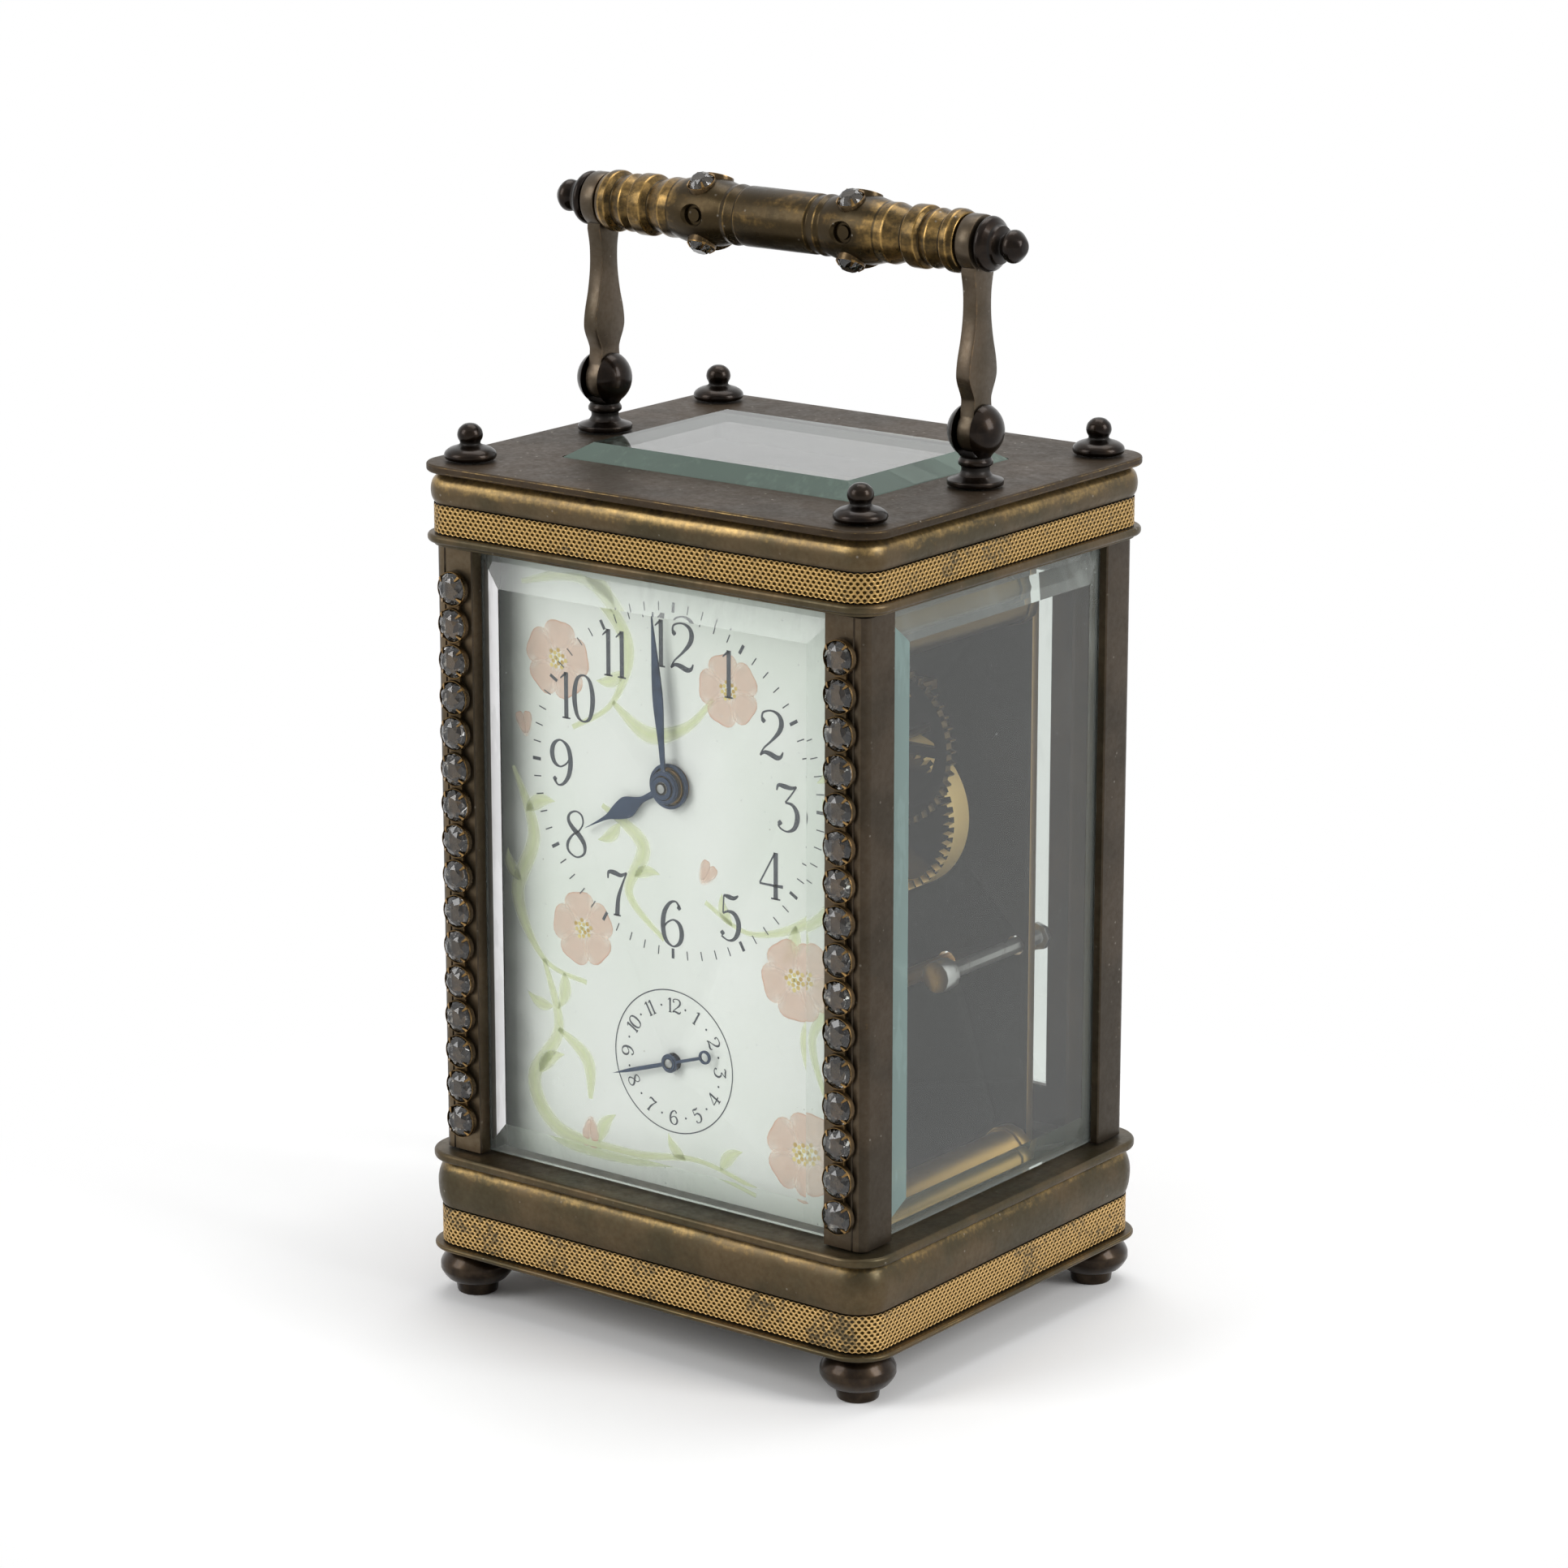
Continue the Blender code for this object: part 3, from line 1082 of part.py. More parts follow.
def contrate_body():
    """Return the cup-shaped wheel whose teeth stand forward, with its arbor and pinion."""
    points = []
    faces = []
    pitch = 2 * math.pi / CONTRATE_TEETH
    top = math.pi / 2
    outer = CONTRATE_RADIUS
    inner = CONTRATE_RADIUS - CONTRATE_WALL
    tip = CONTRATE_FRONT
    root = CONTRATE_FRONT + 1.2
    floor = CONTRATE_FRONT + 3.7
    back = CONTRATE_FRONT + 4.7

    def add_ring(radius, y, share):
        ring = []
        for i in range(CONTRATE_TEETH):
            for sign in (-1, 1):
                angle = top + i * pitch + sign * share * pitch / 2
                ring.append(len(points))
                points.append((radius * math.cos(angle), y, radius * math.sin(angle)))
        return ring

    def add_wall(first, second):
        for i in range(len(first)):
            j = (i + 1) % len(first)
            faces.append((first[i], first[j], second[j], second[i]))

    root_share = 0.44
    back_ring = add_ring(outer, back, root_share)
    root_out = add_ring(outer, root, root_share)
    root_in = add_ring(inner, root, root_share)
    floor_ring = add_ring(inner, floor, root_share)
    tip_out = add_ring(outer, tip, 0.2)
    tip_in = add_ring(inner, tip, 0.2)
    add_wall(back_ring, root_out)
    add_wall(root_in, floor_ring)
    for i in range(CONTRATE_TEETH):
        a = 2 * i
        b = 2 * i + 1
        c = (2 * i + 2) % (2 * CONTRATE_TEETH)
        faces.append((root_out[a], root_out[b], tip_out[b], tip_out[a]))
        faces.append((root_in[a], tip_in[a], tip_in[b], root_in[b]))
        faces.append((tip_out[a], tip_out[b], tip_in[b], tip_in[a]))
        faces.append((root_out[a], tip_out[a], tip_in[a], root_in[a]))
        faces.append((root_out[b], root_in[b], tip_in[b], tip_out[b]))
        faces.append((root_out[b], root_out[c], root_in[c], root_in[b]))

    def loop(ring):
        return [(i, points[i][0], points[i][2]) for i in ring]

    def plain_ring(outline, y):
        first = len(points)
        points.extend((x, y, z) for x, z in outline)
        return list(range(first, first + len(outline)))

    arbor = circle(0.6, 10)
    turn = gap_turn(bearing(CONTRATE_AXIS, THIRD_AXIS), CONTRATE_PINION)
    pinion = pinion_outline(CONTRATE_PINION, THIRD_MODULE, turn)
    rear_near = plain_ring(arbor, back)
    rear_far = plain_ring(arbor, INSIDE_BACK - SEAT)
    add_wall(rear_near, rear_far)
    faces.append(tuple(rear_far))
    faces.extend(cap([loop(back_ring), loop(rear_near)]))
    leaves_low = THIRD_WHEEL_Y - 0.5
    leaves_high = THIRD_WHEEL_Y + WHEEL_THICK + 0.5
    front_near = plain_ring(arbor, floor)
    pinion_back = plain_ring(arbor, leaves_high)
    add_wall(front_near, pinion_back)
    faces.extend(cap([loop(floor_ring), loop(front_near)]))
    leaves_back = plain_ring(pinion, leaves_high)
    leaves_front = plain_ring(pinion, leaves_low)
    faces.extend(cap([loop(leaves_back), loop(pinion_back)]))
    add_wall(leaves_back, leaves_front)
    pinion_front = plain_ring(arbor, leaves_low)
    faces.extend(cap([loop(leaves_front), loop(pinion_front)]))
    front_far = plain_ring(arbor, INSIDE_FRONT + SEAT)
    add_wall(pinion_front, front_far)
    faces.append(tuple(front_far))
    return points, faces


def build_escapement():
    """Platform on top of the plates, with the escape wheel, lever, balance, spring and cock."""
    low = Z_PLATFORM
    west = BALANCE_X - BALANCE_RADIUS - 5.5
    east = ESCAPE_X + 6.0
    outline = [(west, FRONT_PLATE_Y), (east, FRONT_PLATE_Y), (east, BEHIND_PLATE), (west, BEHIND_PLATE)]
    hole = circle(0.85, 12, (ESCAPE_X, ESCAPE_Y))
    add_piece("platform", stepped(low, [Step(outline, Z_PLATFORM_TOP, (hole,))]), BRASS)

    pinion_low = CONTRATE_AXIS[1] + CONTRATE_PITCH_RADIUS - 0.8
    module = 2 * ESCAPE_PINION_RADIUS / ESCAPE_PINION
    leaves = pinion_outline(ESCAPE_PINION, module, gap_turn(math.pi / 2, ESCAPE_PINION))
    teeth = []
    for i in range(ESCAPE_TEETH):
        angle = 2 * math.pi * i / ESCAPE_TEETH
        for radius, lean in ((2.3, -0.05), (3.3, 0.10), (3.25, 0.18), (2.3, 0.14)):
            teeth.append((radius * math.cos(angle + lean), radius * math.sin(angle + lean)))
    wheel_low = Z_PLATFORM_TOP + 0.4
    steps = [
        Step(leaves, pinion_low + 1.6),
        Step(circle(0.5, 10), wheel_low),
        Step(teeth, wheel_low + 0.45),
        Step(circle(0.35, 8), wheel_low + 1.0),
    ]
    add_piece("escape_wheel", stepped(pinion_low, steps), STEEL, (ESCAPE_X, ESCAPE_Y, 0.0))

    toward = math.atan2(ESCAPE_Y - BALANCE_Y, ESCAPE_X - BALANCE_X)
    lever_x = ESCAPE_X - LEVER_DISTANCE * math.cos(toward)
    lever_y = ESCAPE_Y - LEVER_DISTANCE * math.sin(toward)
    reach = math.hypot(lever_x - BALANCE_X, lever_y - BALANCE_Y) - 1.6
    shape = [
        (-reach, -0.9), (-reach + 0.9, -0.4), (-0.6, -0.35), (-0.6, -2.9), (1.6, -3.0), (1.7, -2.4),
        (0.6, -2.1), (0.6, 2.1), (1.7, 2.4), (1.6, 3.0), (-0.6, 2.9), (-0.6, 0.35), (-reach + 0.9, 0.4),
        (-reach, 0.9), (-reach + 0.35, 0.0),
    ]
    cosine = math.cos(toward)
    sine = math.sin(toward)
    lever = [(x * cosine - y * sine, x * sine + y * cosine) for x, y in shape]
    steps = [
        Step(circle(0.3, 8), wheel_low),
        Step(lever, wheel_low + 0.45),
        Step(circle(0.3, 8), wheel_low + 1.0),
    ]
    add_piece("pallet_lever", stepped(Z_PLATFORM_TOP + 0.2, steps), STEEL, (lever_x, lever_y, 0.0))

    staff_low = Z_PLATFORM_TOP + 0.3
    rim_low = Z_PLATFORM_TOP + 2.4
    rim_windows = wheel_windows(1.4, BALANCE_RADIUS - 0.9, 2, steps=6)
    steps = [
        Step(circle(0.35, 8), staff_low + 0.5),
        Step(circle(1.2, 12), staff_low + 0.9),
        Step(circle(0.35, 8), rim_low),
        Step(circle(BALANCE_RADIUS, 24), rim_low + 0.8, rim_windows),
        Step(circle(0.35, 8), rim_low + 2.6),
    ]
    add_piece("balance_wheel", stepped(staff_low, steps), BRASS, (BALANCE_X, BALANCE_Y, 0.0))

    add_piece("hairspring", spiral_ribbon(0.9, 3.5, 4, 0.16, 0.4, 14), BLUED,
              (BALANCE_X, BALANCE_Y, rim_low + 1.4))

    cock_top = rim_low + 4.0
    left = -BALANCE_RADIUS - 3.6 + BALANCE_X
    side = [
        (left, Z_PLATFORM_TOP + SEAT), (left + 3.0, Z_PLATFORM_TOP + SEAT), (left + 3.0, rim_low + 2.9),
        (BALANCE_X + 1.8, rim_low + 2.9), (BALANCE_X + 1.8, cock_top), (left, cock_top),
    ]
    cock = stepped(BALANCE_Y - 2.0, [Step(side, BALANCE_Y + 2.0)], "Y")
    add_piece("balance_cock", cock, BRASS)


def spiral_ribbon(inner, outer, turns, thick, high, steps):
    """Return a flat spiral spring lying in the ground plane."""
    points = []
    faces = []
    count = turns * steps
    for i in range(count + 1):
        angle = 2 * math.pi * i / steps
        radius = inner + (outer - inner) * i / count
        for side, level in ((-1, 0.0), (1, 0.0), (1, high), (-1, high)):
            reach = radius + side * thick / 2
            points.append((reach * math.cos(angle), reach * math.sin(angle), level))
    for i in range(count):
        for k in range(4):
            m = (k + 1) % 4
            faces.append((4 * i + k, 4 * i + m, 4 * i + 4 + m, 4 * i + 4 + k))
    faces.append((0, 1, 2, 3))
    faces.append(tuple(4 * count + k for k in range(4)))
    return points, faces


def build_alarm():
    """Alarm barrel with its winding arbor, the bell and the hammer that strikes it."""
    teeth = wheel_outline(ALARM_TEETH, ALARM_MODULE, 0.0)
    drum_radius = ALARM_MODULE * ALARM_TEETH / 2 - 1.1
    steps = [
        Step(circle(1.2, 12), BARREL_FRONT),
        Step(teeth, BARREL_FRONT + 1.4),
        Step(circle(drum_radius, 20), BARREL_FRONT + 10.0),
        Step(circle(1.2, 12), BEHIND_PLATE + 0.4),
        Step(circle(1.1, 4), BEHIND_PLATE + 3.6),
    ]
    body = stepped(INSIDE_FRONT + SEAT, steps, "Y")
    add_piece("alarm_barrel", body, BRASS, (ALARM_BARREL_AXIS[0], 0.0, ALARM_BARREL_AXIS[1]))

    rear = BEHIND_PLATE
    mouth = rear + 0.9
    crown = mouth + BELL_HEIGHT
    bell = [
        (0, rear + SEAT), (1.6, rear + SEAT), (1.6, crown - 1.7), (0.6 * BELL_RADIUS, crown - 2.0),
        (BELL_RADIUS - 1.7, crown - 3.3), (BELL_RADIUS - 0.8, mouth), (BELL_RADIUS, mouth),
        (BELL_RADIUS - 0.8, crown - 2.9), (0.64 * BELL_RADIUS, crown - 1.1), (2.2, crown - 0.6),
        (2.2, crown), (0, crown),
    ]
    add_piece("bell", turned(bell, 22, "Y"), STEEL, (BELL_AXIS[0], 0.0, BELL_AXIS[1]), smooth=True)

    head = (BELL_AXIS[0] + BELL_RADIUS + 2.6 - HAMMER_AXIS[0], BELL_AXIS[1] + 0.6 - HAMMER_AXIS[1])
    length = math.hypot(*head)
    along = (head[0] / length, head[1] / length)
    across = (-along[1], along[0])
    outline = []
    for middle, radius, sign, opening in ((0.0, 2.0, -1, 30), (length, 2.1, 1, 25)):
        for i in range(7):
            angle = math.radians((180 - opening) * (i / 3 - 1))
            reach = middle + sign * radius * math.cos(angle)
            aside = -sign * radius * math.sin(angle)
            outline.append((reach * along[0] + aside * across[0], reach * along[1] + aside * across[1]))
    steps = [
        Step(circle(2.2, 12), 1.8),
        Step(circle(1.1, 10), BEHIND_PLATE + 3.6),
        Step(outline, BEHIND_PLATE + 4.4),
        Step(circle(1.7, 12, head), BEHIND_PLATE + 6.0),
    ]
    body = stepped(-1.0, steps, "Y")
    add_piece("alarm_hammer", body, STEEL, (HAMMER_AXIS[0], 0.0, HAMMER_AXIS[1]))


def main():
    """Build every piece of the clock."""
    clear_scene()
    build_base()
    build_crown()
    build_posts()
    build_glasses()
    build_door()
    build_feet_and_finials()
    build_stones()
    build_handle_posts()
    build_handle()
    build_dial()
    build_hands()
    build_motion_work()
    build_plates()
    build_train()
    build_escapement()
    build_alarm()


main()
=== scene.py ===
"""Looks of a brass carriage clock with jewelled front posts, an alarm dial and a folding handle.

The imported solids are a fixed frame: what is made here lies over them, rides on the same bodies and takes
its sizes from them. Lengths are millimetres until a mesh is made. +Z is up and the dial faces -Y.
"""

import json
import logging
import math
import random
from abc import ABC, abstractmethod
from dataclasses import dataclass, field
from enum import Enum
from typing import Any, ClassVar, Iterable, Optional, Sequence, Union

import bmesh
import bpy
from mathutils import Matrix, Vector
from mathutils.geometry import tessellate_polygon


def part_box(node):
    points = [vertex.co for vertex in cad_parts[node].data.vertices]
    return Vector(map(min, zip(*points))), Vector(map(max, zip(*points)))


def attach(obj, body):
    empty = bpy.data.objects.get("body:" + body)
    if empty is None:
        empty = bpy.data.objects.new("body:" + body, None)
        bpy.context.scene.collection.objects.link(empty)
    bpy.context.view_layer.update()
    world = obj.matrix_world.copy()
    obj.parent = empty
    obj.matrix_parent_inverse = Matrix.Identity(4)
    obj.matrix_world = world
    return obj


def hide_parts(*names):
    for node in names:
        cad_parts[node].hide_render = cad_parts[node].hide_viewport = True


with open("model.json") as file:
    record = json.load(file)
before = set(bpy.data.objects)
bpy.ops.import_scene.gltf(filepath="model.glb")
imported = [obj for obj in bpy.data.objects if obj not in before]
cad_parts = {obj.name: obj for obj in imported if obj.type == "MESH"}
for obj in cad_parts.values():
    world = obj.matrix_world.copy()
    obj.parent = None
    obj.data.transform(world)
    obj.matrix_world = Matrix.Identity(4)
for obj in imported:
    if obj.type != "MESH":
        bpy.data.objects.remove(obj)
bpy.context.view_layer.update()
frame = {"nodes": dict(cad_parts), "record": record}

log = logging.getLogger("clock")

MM = 0.001
UP = Vector((0.0, 0.0, 1.0))
FORWARD = Vector((0.0, -1.0, 0.0))
SEAT = 0.3  # the air that the solids keep between two pieces

Item = bpy.types.Object
Colour = tuple[float, float, float, float]
Point = tuple[float, float]
Loop = list[Point]
Level = tuple[Loop, float, float]
Profile = Sequence[Sequence[float]]


def srgb(code: str) -> Colour:
    """Turn a colour as a screen shows it, "#rrggbb", into the linear values that a shader takes."""
    channels = [int(code[i:i + 2], 16) / 255 for i in (1, 3, 5)]
    return (*(c / 12.92 if c <= 0.04045 else ((c + 0.055) / 1.055) ** 2.4 for c in channels), 1.0)


def extent(node: str) -> tuple[Vector, Vector]:
    """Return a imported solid's lowest and highest corners in millimetres."""
    low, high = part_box(node)
    return low / MM, high / MM


def settle(piece: Item, body: str, slot: str, *nodes: str) -> None:
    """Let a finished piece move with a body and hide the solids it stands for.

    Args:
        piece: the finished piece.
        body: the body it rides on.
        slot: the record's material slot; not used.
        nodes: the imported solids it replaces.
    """
    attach(piece, body)
    if nodes:
        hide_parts(*nodes)
    log.info("%s: %d faces on %s", piece.name, len(piece.data.polygons), body)


class Signal:
    """A value in a node tree; arithmetic on it adds Math nodes."""

    def __init__(self, tree: "NodeTree", socket: bpy.types.NodeSocket) -> None:
        """Remember the socket and the tree it is in."""
        self.tree = tree
        self.socket = socket

    def _math(self, operation: str, *values: "Link") -> "Signal":
        """Add one Math node and return its result."""
        return self.tree.value("ShaderNodeMath", {"operation": operation}, dict(enumerate(values)))

    def __add__(self, other: "Link") -> "Signal":
        """Add."""
        return self._math("ADD", self, other)

    def __radd__(self, other: "Link") -> "Signal":
        """Add, with the signal on the right."""
        return self._math("ADD", other, self)

    def __sub__(self, other: "Link") -> "Signal":
        """Subtract."""
        return self._math("SUBTRACT", self, other)

    def __rsub__(self, other: "Link") -> "Signal":
        """Subtract the signal."""
        return self._math("SUBTRACT", other, self)

    def __mul__(self, other: "Link") -> "Signal":
        """Multiply."""
        return self._math("MULTIPLY", self, other)

    def __rmul__(self, other: "Link") -> "Signal":
        """Multiply, with the signal on the right."""
        return self._math("MULTIPLY", other, self)

    def __truediv__(self, other: "Link") -> "Signal":
        """Divide."""
        return self._math("DIVIDE", self, other)

    def __mod__(self, other: "Link") -> "Signal":
        """Take the remainder."""
        return self._math("MODULO", self, other)

    def floor(self) -> "Signal":
        """Round down."""
        return self._math("FLOOR", self)

    def size(self) -> "Signal":
        """Drop the sign."""
        return self._math("ABSOLUTE", self)

    def most(self, other: "Link") -> "Signal":
        """Take the larger of two values."""
        return self._math("MAXIMUM", self, other)

    def least(self, other: "Link") -> "Signal":
        """Take the smaller of two values."""
        return self._math("MINIMUM", self, other)

    def ramp(self, low: float, high: float) -> "Signal":
        """Rise smoothly from 0 at low to 1 at high, or fall where high is below low."""
        sockets = {"Value": self, "From Min": low, "From Max": high}
        return self.tree.value("ShaderNodeMapRange", {"interpolation_type": "SMOOTHSTEP"}, sockets)


Link = Union[Signal, bpy.types.NodeSocket, float, Sequence[float]]
Settings = Optional[dict[str, Any]]
Sockets = Optional[dict[Union[str, int], Link]]


class NodeTree:
    """Adds nodes to a tree from a node's type, its settings and its sockets."""

    def __init__(self, tree: bpy.types.NodeTree) -> None:
        """Remember the tree."""
        self.tree = tree

    def add(self, kind: str, settings: Settings = None, sockets: Sockets = None) -> bpy.types.Node:
        """Add a node.

        Args:
            kind: the node's type.
            settings: its own settings, set before its sockets.
            sockets: a value or a link for each named or numbered input.

        Returns:
            The node.
        """
        node = self.tree.nodes.new(kind)
        for name, value in (settings or {}).items():
            setattr(node, name, value)
        for name, value in (sockets or {}).items():
            source = value.socket if isinstance(value, Signal) else value
            if isinstance(source, bpy.types.NodeSocket):
                self.tree.links.new(source, node.inputs[name])
            else:
                node.inputs[name].default_value = source
        return node

    def value(self, kind: str, settings: Settings = None, sockets: Sockets = None,
              output: Union[int, str] = 0) -> Signal:
        """Add a node and return one of its outputs."""
        return Signal(self, self.add(kind, settings, sockets).outputs[output])

    def vector(self, operation: str, first: Link, second: Link) -> Signal:
        """Add one Vector Math node on two vectors and return its vector."""
        return self.value("ShaderNodeVectorMath", {"operation": operation}, {0: first, 1: second})

    def ray(self, output: str) -> Signal:
        """Read what kind of ray meets the surface, or how often it was turned."""
        return self.value("ShaderNodeLightPath", {}, {}, output)


class Shader(NodeTree):
    """The node tree of one material, on the piece's own coordinates."""

    def __init__(self, name: str) -> None:
        """Start an empty material with a name.

        Args:
            name: its name.
        """
        self.made = bpy.data.materials.new(name)
        self.made.use_nodes = True
        super().__init__(self.made.node_tree)
        self.tree.nodes.clear()
        self.coordinates = self.add("ShaderNodeTexCoord")

    def noise(self, size: float, detail: float = 3.0, rough: float = 0.55,
              stretch: Optional[Sequence[float]] = None) -> Signal:
        """Add cloudy noise.

        Args:
            size: how wide one cloud is.
            detail: how many finer octaves it has.
            rough: how strong they are.
            stretch: how much longer the clouds are along each axis.

        Returns:
            A value round 0.5.
        """
        place = self.coordinates.outputs["Object"]
        if stretch:
            scale = [1.0 / amount for amount in stretch]
            place = self.value("ShaderNodeMapping", {}, {"Vector": place, "Scale": scale})
        sockets = {"Vector": place, "Scale": 1.0 / (size * MM), "Detail": detail, "Roughness": rough}
        return self.value("ShaderNodeTexNoise", {}, sockets)

    def cells(self, size: float) -> Signal:
        """Add the distance to scattered points, about size apart."""
        sockets = {"Vector": self.coordinates.outputs["Object"], "Scale": 1.0 / (size * MM)}
        return self.value("ShaderNodeTexVoronoi", {}, sockets)

    def attribute(self, name: str) -> Signal:
        """Read a value painted on the piece's points."""
        return self.value("ShaderNodeAttribute", {"attribute_name": name}, {}, "Fac")

    def axis(self, name: str, output: str = "Object") -> Signal:
        """Read one coordinate, of the place in millimetres or of the surface's own direction."""
        read = self.value("ShaderNodeSeparateXYZ", {}, {0: self.coordinates.outputs[output]}, name)
        return read / MM if output == "Object" else read

    def blend(self, share: Link, low: Link, high: Link, mode: str = "MIX") -> Signal:
        """Mix two colours, with a share of the second one."""
        settings = {"data_type": "RGBA", "blend_type": mode}
        return self.value("ShaderNodeMix", settings, {0: share, 6: low, 7: high}, 2)

    def bump(self, height: Signal, depth: float, strength: float = 1.0) -> Signal:
        """Turn a height from 0 to 1, of a depth in millimetres, into a direction for a shader's Normal."""
        sockets = {"Height": height, "Distance": depth * MM, "Strength": strength}
        return self.value("ShaderNodeBump", {}, sockets)

    def mixed(self, share: Link, first: Link, second: Link) -> Signal:
        """Mix two shaders."""
        return self.value("ShaderNodeMixShader", {}, {0: share, 1: first, 2: second})

    def close(self, surface: Signal) -> bpy.types.Material:
        """End the material with a shader and return it."""
        self.add("ShaderNodeOutputMaterial", {}, {"Surface": surface})
        return self.made

    def surface(self, sockets: dict[str, Link]) -> bpy.types.Material:
        """Close the material with one shader and return it."""
        return self.close(self.value("ShaderNodeBsdfPrincipled", {}, sockets))

    def clear_surface(self, sockets: dict[str, Link], veil: Link = 0.0,
                      haze: Colour = (1.0, 1.0, 1.0, 1.0)) -> bpy.types.Material:
        """Close the material with a glass that lets lamplight straight through.

        Args:
            sockets: the glass shader's inputs.
            veil: how much of the glass is hidden by a matt haze.
            haze: the haze's colour.

        Returns:
            The material.
        """
        glass = self.value("ShaderNodeBsdfPrincipled", {}, {"Transmission Weight": 1.0, **sockets})
        matt = self.value("ShaderNodeBsdfPrincipled", {}, {"Base Color": haze, "Roughness": 0.3})
        through = self.value("ShaderNodeBsdfTransparent")
        return self.close(self.mixed(self.ray("Is Shadow Ray"), self.mixed(veil, glass, matt), through))


@dataclass(frozen=True)
class Finish(ABC):
    """A surface that several pieces share; its material is made once."""

    name: str

    made: ClassVar[dict["Finish", bpy.types.Material]] = {}

    @abstractmethod
    def _mix(self, shader: Shader) -> bpy.types.Material:
        """Build the material's nodes.

        Args:
            shader: the tree to build it in.

        Returns:
            The material.
        """

    def material(self) -> bpy.types.Material:
        """Return the finish's material, making it the first time."""
        if self not in Finish.made:
            Finish.made[self] = self._mix(Shader(self.name))
        return Finish.made[self]


@dataclass(frozen=True)
class OldBrass(Finish):
    """Lacquered brass gone brown and olive, gilt again where its edges are rubbed.

    Points carry a "wear" from -1, caked with grime, to 1, rubbed bare.
    """

    brown: str
    olive: str
    gilt: str = "#c9a86c"
    grime: str = "#1b1711"
    roughness: float = 0.38
    metal: float = 0.82
    gloss: float = 0.5
    rub: float = 0.0
    worn: float = 1.0
    dust: float = 0.35

    def _mix(self, shader: Shader) -> bpy.types.Material:
        """Mottle brown and olive, then lay grime, dust and rubbed gilding over them.

        Args:
            shader: the tree to build it in.

        Returns:
            The material.
        """
        cloud = shader.noise(11.0, 4.0)
        patch = shader.noise(3.2, 4.0, 0.6) - 0.5
        grain = shader.noise(0.7, 3.0, 0.6) - 0.5
        streak = shader.noise(2.0, 3.0, 0.6, (6.0, 6.0, 1.0)) - 0.5
        wear = shader.attribute("wear")
        base = shader.blend(cloud.ramp(0.38, 0.62), srgb(self.brown), srgb(self.olive))
        base = shader.blend(grain * 0.9 + patch * 0.5 + 0.35, base, srgb("#8a7a60"), "SOFT_LIGHT")
        ragged = patch * 0.5 + streak * 0.8 + grain * 0.6
        rubbed = (wear * self.worn + self.rub + ragged).ramp(0.3, 1.2)
        grimy = (0.0 - wear + patch * 0.8).ramp(0.25, 0.9) * 0.85
        specks = shader.cells(1.7).ramp(0.13, 0.05) * shader.noise(6.0).ramp(0.45, 0.6) * self.dust
        colour = shader.blend(rubbed, base, srgb(self.gilt))
        colour = shader.blend(grimy, colour, srgb(self.grime))
        return shader.surface({
            "Base Color": shader.blend(specks, colour, srgb("#a39c90")),
            "Metallic": self.metal + rubbed * (1.0 - self.metal) - grimy * 0.4 - specks * 0.6,
            "Roughness": self.roughness + grain * 0.25 + patch * 0.2 + grimy * 0.2 - rubbed * 0.12,
            "Specular IOR Level": self.gloss,
            "Normal": shader.bump(grain * 0.6 + patch * 0.4 + 0.5, 0.03, 0.45),
        })


@dataclass(frozen=True)
class GiltNet(Finish):
    """Fire-gilt sheet pressed into a fine net of dimples, tarnished in patches.

    Points carry a "depth", 0 on the net and 1 at a dimple's bottom.
    """

    gilt: str
    hollow: str = "#35280f"
    tarnish: str = "#3f3a2c"

    def _mix(self, shader: Shader) -> bpy.types.Material:
        """Darken the dimples and let tarnish spread in patches.

        Args:
            shader: the tree to build it in.

        Returns:
            The material.
        """
        patch = shader.noise(7.0, 4.0, 0.6)
        grain = shader.noise(0.6)
        tarnish = (patch + (grain - 0.5) * 0.7).ramp(0.5, 0.74) * 0.8
        colour = shader.blend(shader.attribute("depth").ramp(0.1, 0.55), srgb(self.gilt), srgb(self.hollow))
        return shader.surface({
            "Base Color": shader.blend(tarnish, colour, srgb(self.tarnish)),
            "Metallic": 1.0 - tarnish * 0.4,
            "Roughness": 0.3 + grain * 0.18 + tarnish * 0.2,
            "Normal": shader.bump(grain, 0.02, 0.4),
        })


@dataclass(frozen=True)
class DarkBronze(Finish):
    """Turned brass under dark glossy lacquer, a little worn on its edges."""

    dark: str
    light: str
    gilt: str = "#8a6c44"
    roughness: float = 0.2
    coat: float = 0.2

    def _mix(self, shader: Shader) -> bpy.types.Material:
        """Cloud the lacquer, and show brass and dull grime by wear.

        Args:
            shader: the tree to build it in.

        Returns:
            The material.
        """
        wear = shader.attribute("wear")
        patch = shader.noise(2.6, 4.0, 0.6)
        grain = shader.noise(0.5)
        rubbed = (wear + (patch - 0.5) * 1.2 + (grain - 0.5) * 0.6).ramp(0.55, 1.2)
        grimy = (0.0 - wear + (patch - 0.5) * 0.6).ramp(0.2, 0.9) * 0.8
        colour = shader.blend(patch.ramp(0.35, 0.7), srgb(self.dark), srgb(self.light))
        colour = shader.blend(rubbed * 0.6, colour, srgb(self.gilt))
        return shader.surface({
            "Base Color": shader.blend(grimy, colour, srgb("#0d0a07")),
            "Metallic": 0.9 - grimy * 0.4,
            "Roughness": self.roughness + patch * 0.14 + grain * 0.08 + grimy * 0.25,
            "Coat Weight": self.coat - grimy * self.coat,
            "Coat Roughness": 0.12,
            "Normal": shader.bump(grain * 0.5 + patch * 0.5, 0.03, 0.35),
        })


